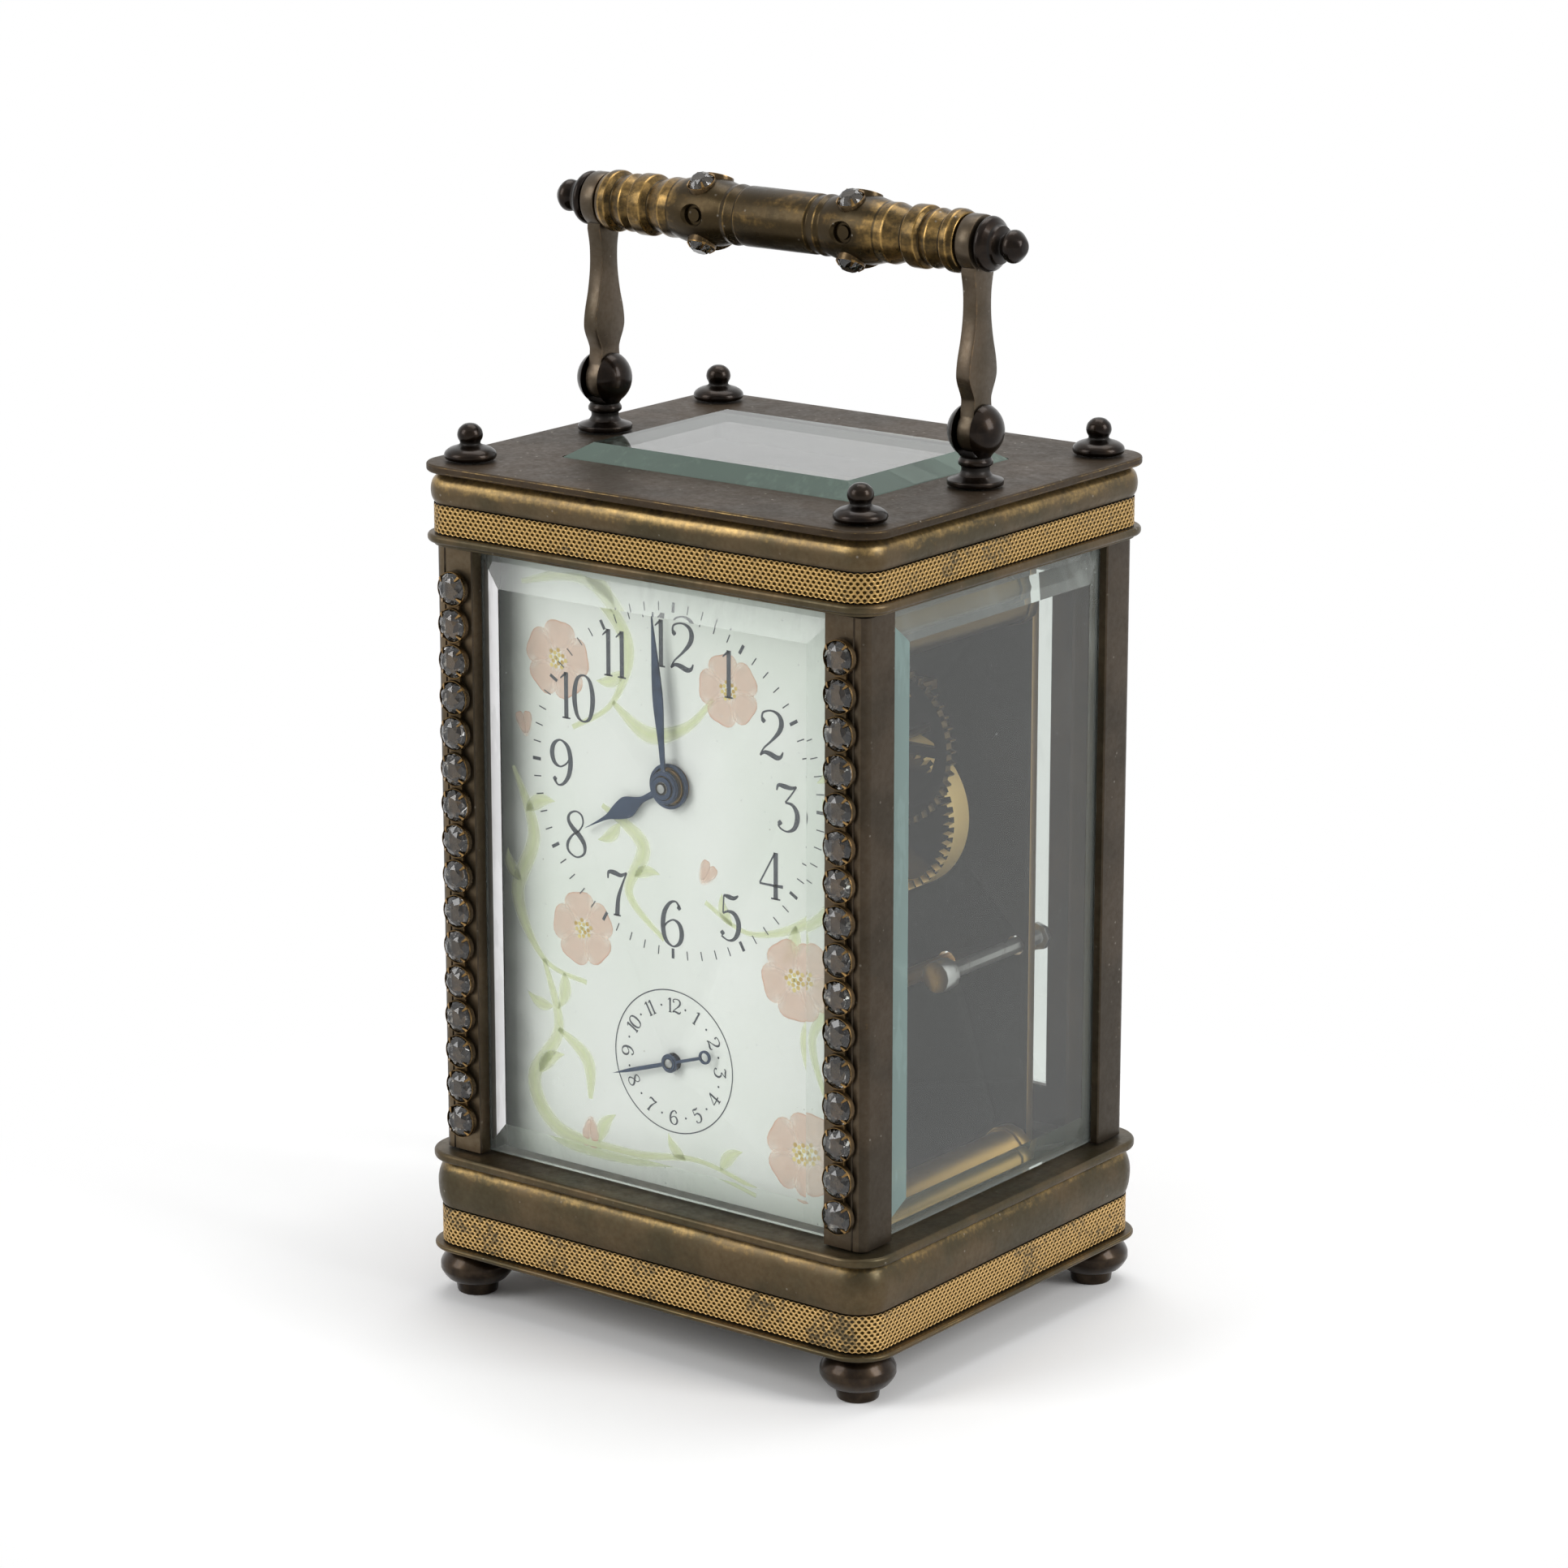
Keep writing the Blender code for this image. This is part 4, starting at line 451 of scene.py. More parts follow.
@dataclass(frozen=True)
class WorksBrass(Finish):
    """Brass of the movement: bright where it was cut, spotted, and rougher and darker on its broad faces; the
    darkening is painted shade.
    """

    bright: str = "#c39a57"
    dull: str = "#6d6049"
    # how far the broad faces are darkened, painted shade, and roughened
    face: float = 0.55
    metal: float = 1.0

    def _mix(self, shader: Shader) -> bpy.types.Material:
        """Roughen and darken the faces that look forward or back, the darkening as painted shade, with grain
        along the rolling.

        Args:
            shader: the tree to build it in.

        Returns:
            The material.
        """
        # painted shade: faces that look forward or back are darkened, standing in for the dark inside of the
        # case that they mirror
        facing = shader.axis("Y", "Normal").size().ramp(0.8, 0.98)
        patch = shader.noise(5.0, 4.0, 0.6)
        rolled = shader.noise(0.35, 2.0, 0.5, (9.0, 9.0, 1.0))
        dull = (facing * self.face + (patch - 0.5) * 0.7).ramp(0.1, 0.75)
        spots = shader.cells(2.4).ramp(0.16, 0.07) * patch.ramp(0.45, 0.6) * 0.6
        colour = shader.blend(dull, srgb(self.bright), srgb(self.dull))
        return shader.surface({
            "Base Color": shader.blend(spots, colour, srgb("#2f2a20")),
            "Metallic": self.metal,
            "Roughness": 0.26 + dull * 0.2 + rolled * 0.12 + spots * 0.3,
            "Normal": shader.bump(rolled, 0.012, 0.35),
        })


@dataclass(frozen=True)
class Steel(Finish):
    """Ground steel, plain or tempered blue."""

    colour: str = "#a9a9a7"
    stain: str = "#6e6a62"
    roughness: float = 0.24

    def _mix(self, shader: Shader) -> bpy.types.Material:
        """Stain the steel lightly and leave its grinding marks.

        Args:
            shader: the tree to build it in.

        Returns:
            The material.
        """
        ground = shader.noise(0.22, 2.0, 0.5, (1.0, 1.0, 7.0))
        stained = shader.noise(2.2, 4.0, 0.6).ramp(0.5, 0.72)
        return shader.surface({
            "Base Color": shader.blend(stained * 0.7, srgb(self.colour), srgb(self.stain)),
            "Metallic": 1.0,
            "Roughness": self.roughness + ground * 0.12 + stained * 0.15,
            "Normal": shader.bump(ground, 0.008, 0.35),
        })


@dataclass(frozen=True)
class ClearGlass(Finish):
    """Old plate glass with faint smears, or the greener, hazier look into its ground bevels; on some bevels
    the haze is painted light and shade: pale, teal or green-grey for the reflections they show, dark for the
    shade they lie in.
    """

    tint: str = "#f6f9f7"
    haze: str = "#dfe5e1"
    veil: float = 0.006

    def _mix(self, shader: Shader) -> bpy.types.Material:
        """Smear the glass unevenly.

        Args:
            shader: the tree to build it in.

        Returns:
            The material.
        """
        cloud = shader.noise(16.0, 3.0, 0.6)
        smeared = (cloud * 0.7 + shader.noise(1.6, 3.0, 0.6, (1.0, 1.0, 6.0)) * 0.5).ramp(0.6, 0.85)
        specks = shader.cells(1.9).ramp(0.1, 0.04) * cloud.ramp(0.45, 0.65) * 0.2
        veil = (self.veil + smeared * self.veil * 0.8 + specks).least(1.0)
        sockets = {"Base Color": srgb(self.tint), "Roughness": 0.0, "IOR": 1.36}
        return shader.clear_surface(sockets, veil, srgb(self.haze))


@dataclass(frozen=True)
class Porcelain(Finish):
    """White porcelain with a soft green cast, specked with dust, with painted shade along its sides where the
    posts would shadow it.
    """

    white: str = "#f9faf6"
    # where the painted shade along the sides is darkest, in millimetres from the middle
    edge: float = 28.6

    def _mix(self, shader: Shader) -> bpy.types.Material:
        """Vary the glaze's tone slightly, paint shade towards its sides and add a few specks.

        Args:
            shader: the tree to build it in.

        Returns:
            The material.
        """
        cloud = shader.noise(30.0, 2.0, 0.5)
        clump = shader.noise(9.0)
        specks = shader.cells(3.1).ramp(0.045, 0.02) * clump.ramp(0.5, 0.6) * 0.7
        shade = shader.blend(cloud.ramp(0.3, 0.7), srgb(self.white), srgb("#eef3ea"))
        # painted shade: the glaze darkens towards its left and right edges, standing in for the posts' shadow
        edge = (shader.axis("X").size() - clump * 3.0).ramp(self.edge - 6.5, self.edge) * 0.8
        shade = shader.blend(edge, shade, srgb("#565d55"))
        return shader.surface({
            "Base Color": shader.blend(specks, shade, srgb("#8d8772")),
            "Roughness": 0.12 + specks * 0.4 + cloud * 0.05,
            "Coat Weight": 0.3,
            "Coat Roughness": 0.06,
            "Normal": shader.bump(shader.noise(4.0, 2.0), 0.01, 0.3),
        })


@dataclass(frozen=True)
class Paint(Finish):
    """Thin colour fired on the porcelain.

    Points carry a "cover", from 0 where the glaze shows to 1, and a "shade", 1 where the brush left more.
    """

    colour: str
    deep: str
    strength: float = 0.9
    broken: float = 0.0

    def _mix(self, shader: Shader) -> bpy.types.Material:
        """Let the paint thin out towards its edges and in small bare spots.

        Args:
            shader: the tree to build it in.

        Returns:
            The material.
        """
        wash = shader.noise(1.5, 3.0, 0.6, (1.0, 1.0, 2.5))
        fleck = shader.noise(0.28, 2.0, 0.5).ramp(0.56, 0.72)
        shade = (shader.attribute("shade") + (wash - 0.5) * 0.8).ramp(0.1, 0.95)
        return shader.surface({
            "Base Color": shader.blend(shade, srgb(self.colour), srgb(self.deep)),
            "Roughness": 0.16 + wash * 0.1,
            "Alpha": shader.attribute("cover") * self.strength * (1.0 - fleck * self.broken),
            "Coat Weight": 0.3,
            "Coat Roughness": 0.06,
        })


@dataclass(frozen=True)
class PasteStone(Finish):
    """Colourless cut glass whose facets differ: some clear, some tinted dark as painted reflection of dark
    surroundings.

    Faces carry a "wear" from -1, tinted darkest, to 1, clear.
    """

    smoke: str
    tint: str = "#f6f5f2"

    def _mix(self, shader: Shader) -> bpy.types.Material:
        """Tint facets dark by their wear and by noise within them, as painted reflection.

        Args:
            shader: the tree to build it in.

        Returns:
            The material.
        """
        inner = shader.noise(1.1, 2.0, 0.5)
        # painted reflection: facets low in wear, and noise within them, tint the glass dark
        painted_dark_share = (shader.attribute("wear") * 0.7 + (inner - 0.5) * 0.7).ramp(0.3, -0.3)
        colour = shader.blend(painted_dark_share, srgb(self.tint), srgb(self.smoke))
        return shader.clear_surface({"Base Color": colour, "Roughness": 0.0, "IOR": 1.66})


@dataclass(frozen=True)
class Foil(Finish):
    """Darkened metal foil that backs a stone, with brighter creases."""

    bright: str
    dark: str

    def _mix(self, shader: Shader) -> bpy.types.Material:
        """Crease the foil.

        Args:
            shader: the tree to build it in.

        Returns:
            The material.
        """
        creased = shader.noise(0.9, 3.0, 0.6)
        return shader.surface({
            "Base Color": shader.blend(creased.ramp(0.47, 0.6), srgb(self.dark), srgb(self.bright)),
            "Metallic": 1.0,
            "Roughness": 0.12 + creased * 0.1,
            "Normal": shader.bump(creased, 0.15, 0.8),
        })


PATINA = OldBrass("patinated_brass", "#5d503b", "#4a4331")
# painted light: lighter copies of the post brass for the posts' front faces, the right post's a little less
# light
POST_FRONT_PAINTED_LIGHT = OldBrass("post_face_brass", "#6f624f", "#5e5342", worn=0.25)
RIGHT_POST_PAINTED_LIGHT = OldBrass("right_post_face_brass", "#594e3f", "#4c4336", worn=0.25)
PLATE_PATINA = OldBrass("top_plate_brass", "#463c31", "#3c342a", roughness=0.48, metal=0.6, gloss=0.12,
                        worn=0.8, dust=0.7)
POST_PATINA = OldBrass("post_brass", "#494035", "#3d362c", worn=0.25)
ARM_PATINA = OldBrass("arm_brass", "#5b5145", "#4a4236", gilt="#94795a", worn=0.5, roughness=0.34)
BAR_GILT = OldBrass("handle_gilt", "#3b301b", "#2e2615", gilt="#a88750", roughness=0.32)
CLAW = OldBrass("setting_gilt", "#55452e", "#433825", gilt="#b08c58", worn=0.8, rub=0.1, roughness=0.3,
                dust=0.0)
NET = GiltNet("gilt_brass", "#b2925d")
# painted light: a lighter copy of the gilt net for the base, which lies in shade
PAINTED_LIGHT_BASE_NET = GiltNet("base_gilt_brass", "#c6a36b")
BRONZE = DarkBronze("dark_bronze", "#140c07", "#241a11")
FOOT_BRONZE = DarkBronze("foot_bronze", "#22180f", "#392d20")
WORKS = WorksBrass("movement_brass")
# painted light and painted shade: lighter copies of the movement brass for the drum, the lower pillars and
# the back plate's rear face; darker copies for the plates' faces, some rims, the upper pillars and the drum's
# front
LIT_DRUM_WORKS = WorksBrass("drum_brass", "#fbdc98", "#cfae70", 0.2, 0.75)
LIT_PILLAR_WORKS = WorksBrass("pillar_brass", "#a38651", "#6f6041", 0.4)
DEEP_WORKS = WorksBrass("shaded_brass", "#a88d62", "#2b2822", 1.1)
LIT_BACK_PLATE_WORKS = WorksBrass("back_plate_brass", "#c9a465", "#8b754b", 0.5)
PAINTED_SHADE_WORKS = WorksBrass("dim_brass", "#5a4c33", "#2b2822", 0.9)
STEEL = Steel("steel")
BLUED = Steel("blued_steel", "#3f4c62", "#2a3343", 0.34)
GLASS = ClearGlass("plate_glass")
BEVEL = ClearGlass("ground_bevel", "#e9f0eb", "#b9c0ba", 0.16)
# painted reflection on the front glass's left bevel, and painted shade on that bevel's outer part
PAINTED_REFLECTION_BEVEL = ClearGlass("pale_bevel", "#e9f0eb", "#efeff0", 0.9)
PAINTED_SHADE_BEVEL = ClearGlass("dark_bevel", "#e9f0eb", "#5d5c57", 0.75)
# painted reflection: a green-grey matt haze on the top glass's bevels and edges
TOP_GLASS_REFLECTION_BEVEL = ClearGlass("top_bevel", "#b9d0c2", "#4f6157", 0.7)
# painted reflection: a teal matt haze on the side glasses' front bevels
SIDE_GLASS_REFLECTION_BEVEL = ClearGlass("edge_bevel", "#a9c8bd", "#728682", 0.85)
WHITE = Porcelain("porcelain")
INK = Paint("fired_ink", "#3d424b", "#2c3038", strength=1.0, broken=0.15)
PETAL = Paint("peach_paint", "#f6d6c2", "#e0ab8e")
LEAF = Paint("green_paint", "#f6fbd2", "#e6efba", strength=0.85)
STAMEN = Paint("yellow_paint", "#ecd98a", "#cfae5a")
# paste stones with facets tinted dark as painted reflection; the handle's stones lighter
PASTE = PasteStone("paste_stone", "#383532")
CLEAR_PASTE = PasteStone("clear_paste", "#a19e99")
FOIL = Foil("stone_foil", "#b7b3ab", "#1b1a18")
# painted light: a brighter foil behind the handle's stones, for their highlights
BRIGHT_FOIL = Foil("bright_foil", "#e6e4e0", "#7a7770")


class Axis(Enum):
    """The way a turned or cut piece points."""

    X = "X"
    Y = "Y"
    Z = "Z"

    def lay(self, u: float, v: float, w: float) -> Vector:
        """Turn a point built along Z so that it lies along this axis."""
        return Vector({Axis.X: (w, u, v), Axis.Y: (u, w, v), Axis.Z: (u, v, w)}[self])


class Place(Enum):
    """One of two opposite places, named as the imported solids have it."""

    @property
    def word(self) -> str:
        """The place's name in a solid's name."""
        return self.name.lower()


class Side(Place):
    """Left or right of the dial."""

    LEFT = -1
    RIGHT = 1


class End(Place):
    """Front or rear of the case."""

    FRONT = -1
    REAR = 1


def circle(radius: float, count: int = 48, at: Point = (0.0, 0.0), turn: float = 0.0) -> Loop:
    """Return a round loop, counter-clockwise."""
    steps = [turn + 2 * math.pi * i / count for i in range(count)]
    return [(at[0] + radius * math.cos(a), at[1] + radius * math.sin(a)) for a in steps]


def rectangle(half_x: float, half_y: float, at: Point = (0.0, 0.0)) -> Loop:
    """Return a rectangle's loop, counter-clockwise."""
    return [(at[0] + x * half_x, at[1] + y * half_y) for x, y in ((-1, -1), (1, -1), (1, 1), (-1, 1))]


def rounded(half_x: float, half_y: float, radius: float, steps: int = 16) -> Loop:
    """Return a rectangle with round corners, always with the same number of points.

    Args:
        half_x: half its width.
        half_y: half its depth.
        radius: its corners' radius.
        steps: pieces in each corner.

    Returns:
        The loop, counter-clockwise from the middle of its right side's upper corner.
    """
    loop = []
    for quarter, (sign_x, sign_y) in enumerate(((1, 1), (-1, 1), (-1, -1), (1, -1))):
        for i in range(steps + 1):
            angle = math.pi / 2 * (quarter + i / steps)
            x = sign_x * (half_x - radius) + radius * math.cos(angle)
            loop.append((x, sign_y * (half_y - radius) + radius * math.sin(angle)))
    return loop


def through(points: Profile, steps: int = 5) -> list[tuple[float, ...]]:
    """Run a smooth curve through points.

    Args:
        points: the points, with any number of values each.
        steps: pieces between two of them.

    Returns:
        The curve's points, ends included.
    """
    padded = [points[0], *points, points[-1]]
    run = []
    for i in range(len(points) - 1):
        for t in (k / steps for k in range(steps)):
            run.append(tuple(
                0.5 * (2 * b + (c - a) * t + (2 * a - 5 * b + 4 * c - d) * t ** 2
                       + (3 * b - a - 3 * c + d) * t ** 3)
                for a, b, c, d in zip(*padded[i:i + 4])
            ))
    return [*run, tuple(points[-1])]


def eased(points: Profile, radius: float = 0.14, edge: float = 0.6, steps: int = 3) -> Profile:
    """Round a profile's corners and paint wear on them.

    Args:
        points: (out, up) or (out, up, wear), from the bottom up with the material on the left.
        radius: how far from a corner the rounding starts.
        edge: the wear added where a corner stands out; where it turns in, the same is taken away.
        steps: pieces in each rounding.

    Returns:
        The rounded profile with a wear on every point.
    """
    given = [(*p, 0.0)[:3] for p in points]
    result = [given[0]]
    for before, here, after in zip(given, given[1:], given[2:]):
        spot = Vector(here[:2])
        come, leave = spot - Vector(before[:2]), Vector(after[:2]) - spot
        turn = math.atan2(come.x * leave.y - come.y * leave.x, come.dot(leave))
        if min(come.length, leave.length) < 1e-6 or abs(turn) < 0.3:
            result.append(here)
            continue
        reach = min(radius, 0.42 * come.length, 0.42 * leave.length)
        start, stop = spot - come.normalized() * reach, spot + leave.normalized() * reach
        for t in (k / steps for k in range(steps + 1)):
            x, y = start * (1 - t) ** 2 + spot * (2 * t * (1 - t)) + stop * t ** 2
            result.append((x, y, here[2] + math.copysign(edge, turn) * math.sin(math.pi * t)))
    return [*result, given[-1]]


def offset(loop: Loop, distance: float) -> Loop:
    """Move a loop to its left by a distance, which is inwards on a counter-clockwise one.

    Args:
        loop: the loop.
        distance: how far it moves.

    Returns:
        The moved loop.
    """
    moved = []
    for i, here in enumerate(loop):
        come = (Vector(here) - Vector(loop[i - 1])).normalized()
        leave = (Vector(loop[(i + 1) % len(loop)]) - Vector(here)).normalized()
        normal = Vector((-come.y - leave.y, come.x + leave.x))
        if normal.length < 1e-6:
            normal = Vector((-come.y, come.x))
        normal.normalize()
        share = max(0.35, normal.dot(Vector((-come.y, come.x))))
        moved.append(tuple(Vector(here) + normal * (distance / share)))
    return moved


class Draft:
    """A piece being made, in millimetres; its points carry the wear that the finishes read."""

    def __init__(self, *painted: str) -> None:
        """Start an empty piece whose points carry further values besides "wear".

        Args:
            painted: further values that its points carry, besides "wear".
        """
        self.work = bmesh.new()
        layers = self.work.verts.layers.float
        self.layers = {name: layers.new(name) for name in ("wear", *painted)}

    def ring(self, points: Iterable[Sequence[float]], **painted: float) -> list[bmesh.types.BMVert]:
        """Add points.

        Args:
            points: their places in millimetres.
            painted: the values they carry.

        Returns:
            The new points.
        """
        made = [self.work.verts.new(Vector(point) * MM) for point in points]
        for vert in made:
            for name, value in painted.items():
                vert[self.layers[name]] = value
        return made

    def span(self, low: list, high: list, slot: int = 0, closed: bool = True) -> None:
        """Join two rings with faces; a ring of one point makes a fan.

        Args:
            low: the first ring.
            high: the second ring.
            slot: which of the piece's materials the faces get.
            closed: whether the last points join the first ones.
        """
        count = max(len(low), len(high))
        for i in range(count if closed else count - 1):
            j = (i + 1) % count
            corners = [low[i % len(low)], low[j % len(low)], high[j % len(high)], high[i % len(high)]]
            self.work.faces.new(list(dict.fromkeys(corners))).material_index = slot

    def cap(self, rings: Sequence[list], slot: int = 0) -> None:
        """Fill a ring, less the rings inside it, with flat faces.

        Args:
            rings: the outer ring and those inside it.
            slot: which of the piece's materials the faces get.
        """
        flat = [vert for ring in rings for vert in ring]
        for corners in tessellate_polygon([[vert.co / MM for vert in ring] for ring in rings]):
            self.work.faces.new([flat[i] for i in corners]).material_index = slot

    def turned(self, profile: Profile, count: int = 48, axis: Axis = Axis.Z,
               at: Sequence[float] = (0.0, 0.0, 0.0), flip: bool = False, slot: int = 0) -> "Draft":
        """Spin a profile about an axis.

        Args:
            profile: (radius, height, wear); end radii of 0 close it, otherwise it is a closed ring.
            count: pieces round the axis.
            axis: the axis's direction.
            at: where the axis's origin lies.
            flip: whether heights count backwards.
            slot: which of the piece's materials the faces get.

        Returns:
            The draft itself.
        """
        rings = []
        for radius, height, wear in [(*p, 0.0)[:3] for p in profile]:
            loop = circle(radius, count) if radius > 1e-5 else [(0.0, 0.0)]
            way = -height if flip else height
            rings.append(self.ring([Vector(at) + axis.lay(u, v, way) for u, v in loop], wear=wear))
        if len(rings[0]) > 1 and len(rings[-1]) > 1:
            rings.append(rings[0])
        for low, high in zip(rings, rings[1:]):
            self.span(low, high, slot)
        return self

    def looped(self, levels: Sequence[Level]) -> "Draft":
        """Join level loops of equal length, (loop, height, wear), and round again to the first one.

        Args:
            levels: (loop, height, wear).

        Returns:
            The draft itself.
        """
        rings = [self.ring([(x, y, z) for x, y in loop], wear=wear) for loop, z, wear in levels]
        for low, high in zip(rings, rings[1:] + rings[:1]):
            self.span(low, high)
        return self

    def stacked(self, levels: Sequence[Level], axis: Axis = Axis.Z, slots: Sequence[int] = ()) -> "Draft":
        """Join loops level by level and close both ends with flat faces.

        Args:
            levels: (loop, height, wear).
            axis: the way the stack points.
            slots: the material of each storey and of the two end faces, or none for the first one.

        Returns:
            The draft itself.
        """
        rings = [self.ring([axis.lay(u, v, w) for u, v in loop], wear=wear) for loop, w, wear in levels]
        slots = slots or [0] * (len(rings) + 1)
        for low, high, slot in zip(rings, rings[1:], slots):
            self.span(low, high, slot)
        self.cap([rings[0]], slots[-2])
        self.cap([rings[-1]], slots[-1])
        return self

    def slab(self, outline: Loop, low: float, high: float, axis: Axis, holes: Sequence[Loop] = (),
             bevel: float = 0.12, at: Sequence[float] = (0.0, 0.0, 0.0), worn: float = 0.6) -> "Draft":
        """Cut a plate with soft edges from an outline.

        Args:
            outline: its loop, counter-clockwise.
            low: where it starts along the axis.
            high: where it ends.
            axis: the axis it is thick along.
            holes: loops of its holes, counter-clockwise.
            bevel: how far its edges are softened.
            at: where the axis's origin lies.
            worn: the wear on the softened edges.

        Returns:
            The draft itself.
        """
        loops = [outline] + [list(reversed(hole)) for hole in holes]
        rims = []
        for sign, face in ((1, low), (-1, high)):
            steps = []
            for inward, depth, wear in ((0.0, 1.0, worn / 3), (0.29, 0.29, worn), (1.0, 0.0, worn / 3)):
                height = face + sign * depth * bevel
                shifted = [offset(loop, inward * bevel) for loop in loops]
                steps.append([self.ring([Vector(at) + axis.lay(u, v, height) for u, v in loop], wear=wear)
                              for loop in shifted])
            for outer, inner in zip(steps, steps[1:]):
                for a, b in zip(outer, inner):
                    self.span(a, b)
            self.cap(steps[-1])
            rims.append(steps[0])
        for a, b in zip(*rims):
            self.span(a, b)
        return self

    def moved(self, matrix: Matrix) -> "Draft":
        """Move everything made so far, by a matrix in millimetres.

        Args:
            matrix: the matrix, in millimetres.

        Returns:
            The draft itself.
        """
        scaled = matrix.copy()
        scaled.translation = matrix.translation * MM
        bmesh.ops.transform(self.work, matrix=scaled, verts=self.work.verts)
        return self

    def piece(self, name: str, *finishes: Finish, sharp: float = 38.0, face: Optional[Vector] = None) -> Item:
        """Close the draft into an object.

        Args:
            name: the piece's name.
            finishes: its finishes, one for each material slot.
            sharp: the angle, in degrees, past which an edge stays sharp.
            face: for a flat piece, the way its faces must look.

        Returns:
            The object, with its place in its mesh.
        """
        bmesh.ops.remove_doubles(self.work, verts=self.work.verts, dist=2e-6)
        bmesh.ops.recalc_face_normals(self.work, faces=self.work.faces)
        if face is not None:
            self.work.normal_update()
            bmesh.ops.reverse_faces(self.work, faces=[f for f in self.work.faces if f.normal.dot(face) < 0])
        return kept(self.work, name, finishes, sharp)


def kept(work: bmesh.types.BMesh, name: str, finishes: Sequence[Finish], sharp: float) -> Item:
    """Keep a mesh in the making as an object in the scene.

    Args:
        work: the mesh in the making, which is freed.
        name: the object's name.
        finishes: its finishes, one for each material slot.
        sharp: the angle, in degrees, past which an edge stays sharp.

    Returns:
        The object.
    """
    mesh = bpy.data.meshes.new(name)
    work.to_mesh(mesh)
    work.free()
    for finish in finishes:
        mesh.materials.append(finish.material())
    item = bpy.data.objects.new(name, mesh)
    bpy.context.scene.collection.objects.link(item)
    soften(item, sharp)
    return item


def soften(piece: Item, sharp: float) -> None:
    """Shade a piece smoothly up to an angle in degrees."""
    piece.data.shade_smooth()
    piece.data.set_sharp_from_angle(angle=math.radians(sharp))


def apply_modifiers(piece: Item, sharp: float) -> None:
    """Turn a piece's modifiers into its mesh, take them off and shade it smoothly up to an angle.

    Args:
        piece: the piece.
        sharp: the angle, in degrees, past which an edge stays sharp.
    """
    graph = bpy.context.evaluated_depsgraph_get()
    mesh = bpy.data.meshes.new_from_object(piece.evaluated_get(graph))
    piece.modifiers.clear()
    piece.data = mesh
    soften(piece, sharp)


def cut(piece: Item, cutter: Item, sharp: float = 38.0) -> None:
    """Cut one object from another and drop the cutter.

    Args:
        piece: the piece.
        cutter: the object that is cut away.
        sharp: the angle, in degrees, past which an edge stays sharp.
    """
    step = piece.modifiers.new("cut", "BOOLEAN")
    step.operation = "DIFFERENCE"
    step.solver = "EXACT"
    step.object = cutter
    apply_modifiers(piece, sharp)
    bpy.data.objects.remove(cutter)


def refined(node: str, finish: Finish, body: str, slot: str, bevel: float = 0.0) -> Item:
    """Stand a smoothly shaded copy, with softened edges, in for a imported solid.

    Args:
        node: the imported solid.
        finish: the copy's finish.
        body: the body it rides on.
        slot: the record's material slot.
        bevel: how far its sharp edges are softened, in millimetres.

    Returns:
        The copy.
    """
    sharp = 35.0
    work = bmesh.new()
    work.from_mesh(frame["nodes"][node].data)
    bmesh.ops.remove_doubles(work, verts=work.verts, dist=1e-6)
    bmesh.ops.dissolve_limit(work, angle_limit=math.radians(0.5), verts=work.verts, edges=work.edges)
    piece = kept(work, node + "_fine", [finish], sharp)
    if bevel:
        step = piece.modifiers.new("soft edges", "BEVEL")
        step.width = bevel * MM
        step.segments = 2
        step.limit_method = "ANGLE"
        step.angle_limit = math.radians(sharp)
        apply_modifiers(piece, sharp)
    settle(piece, body, slot, node)
    return piece


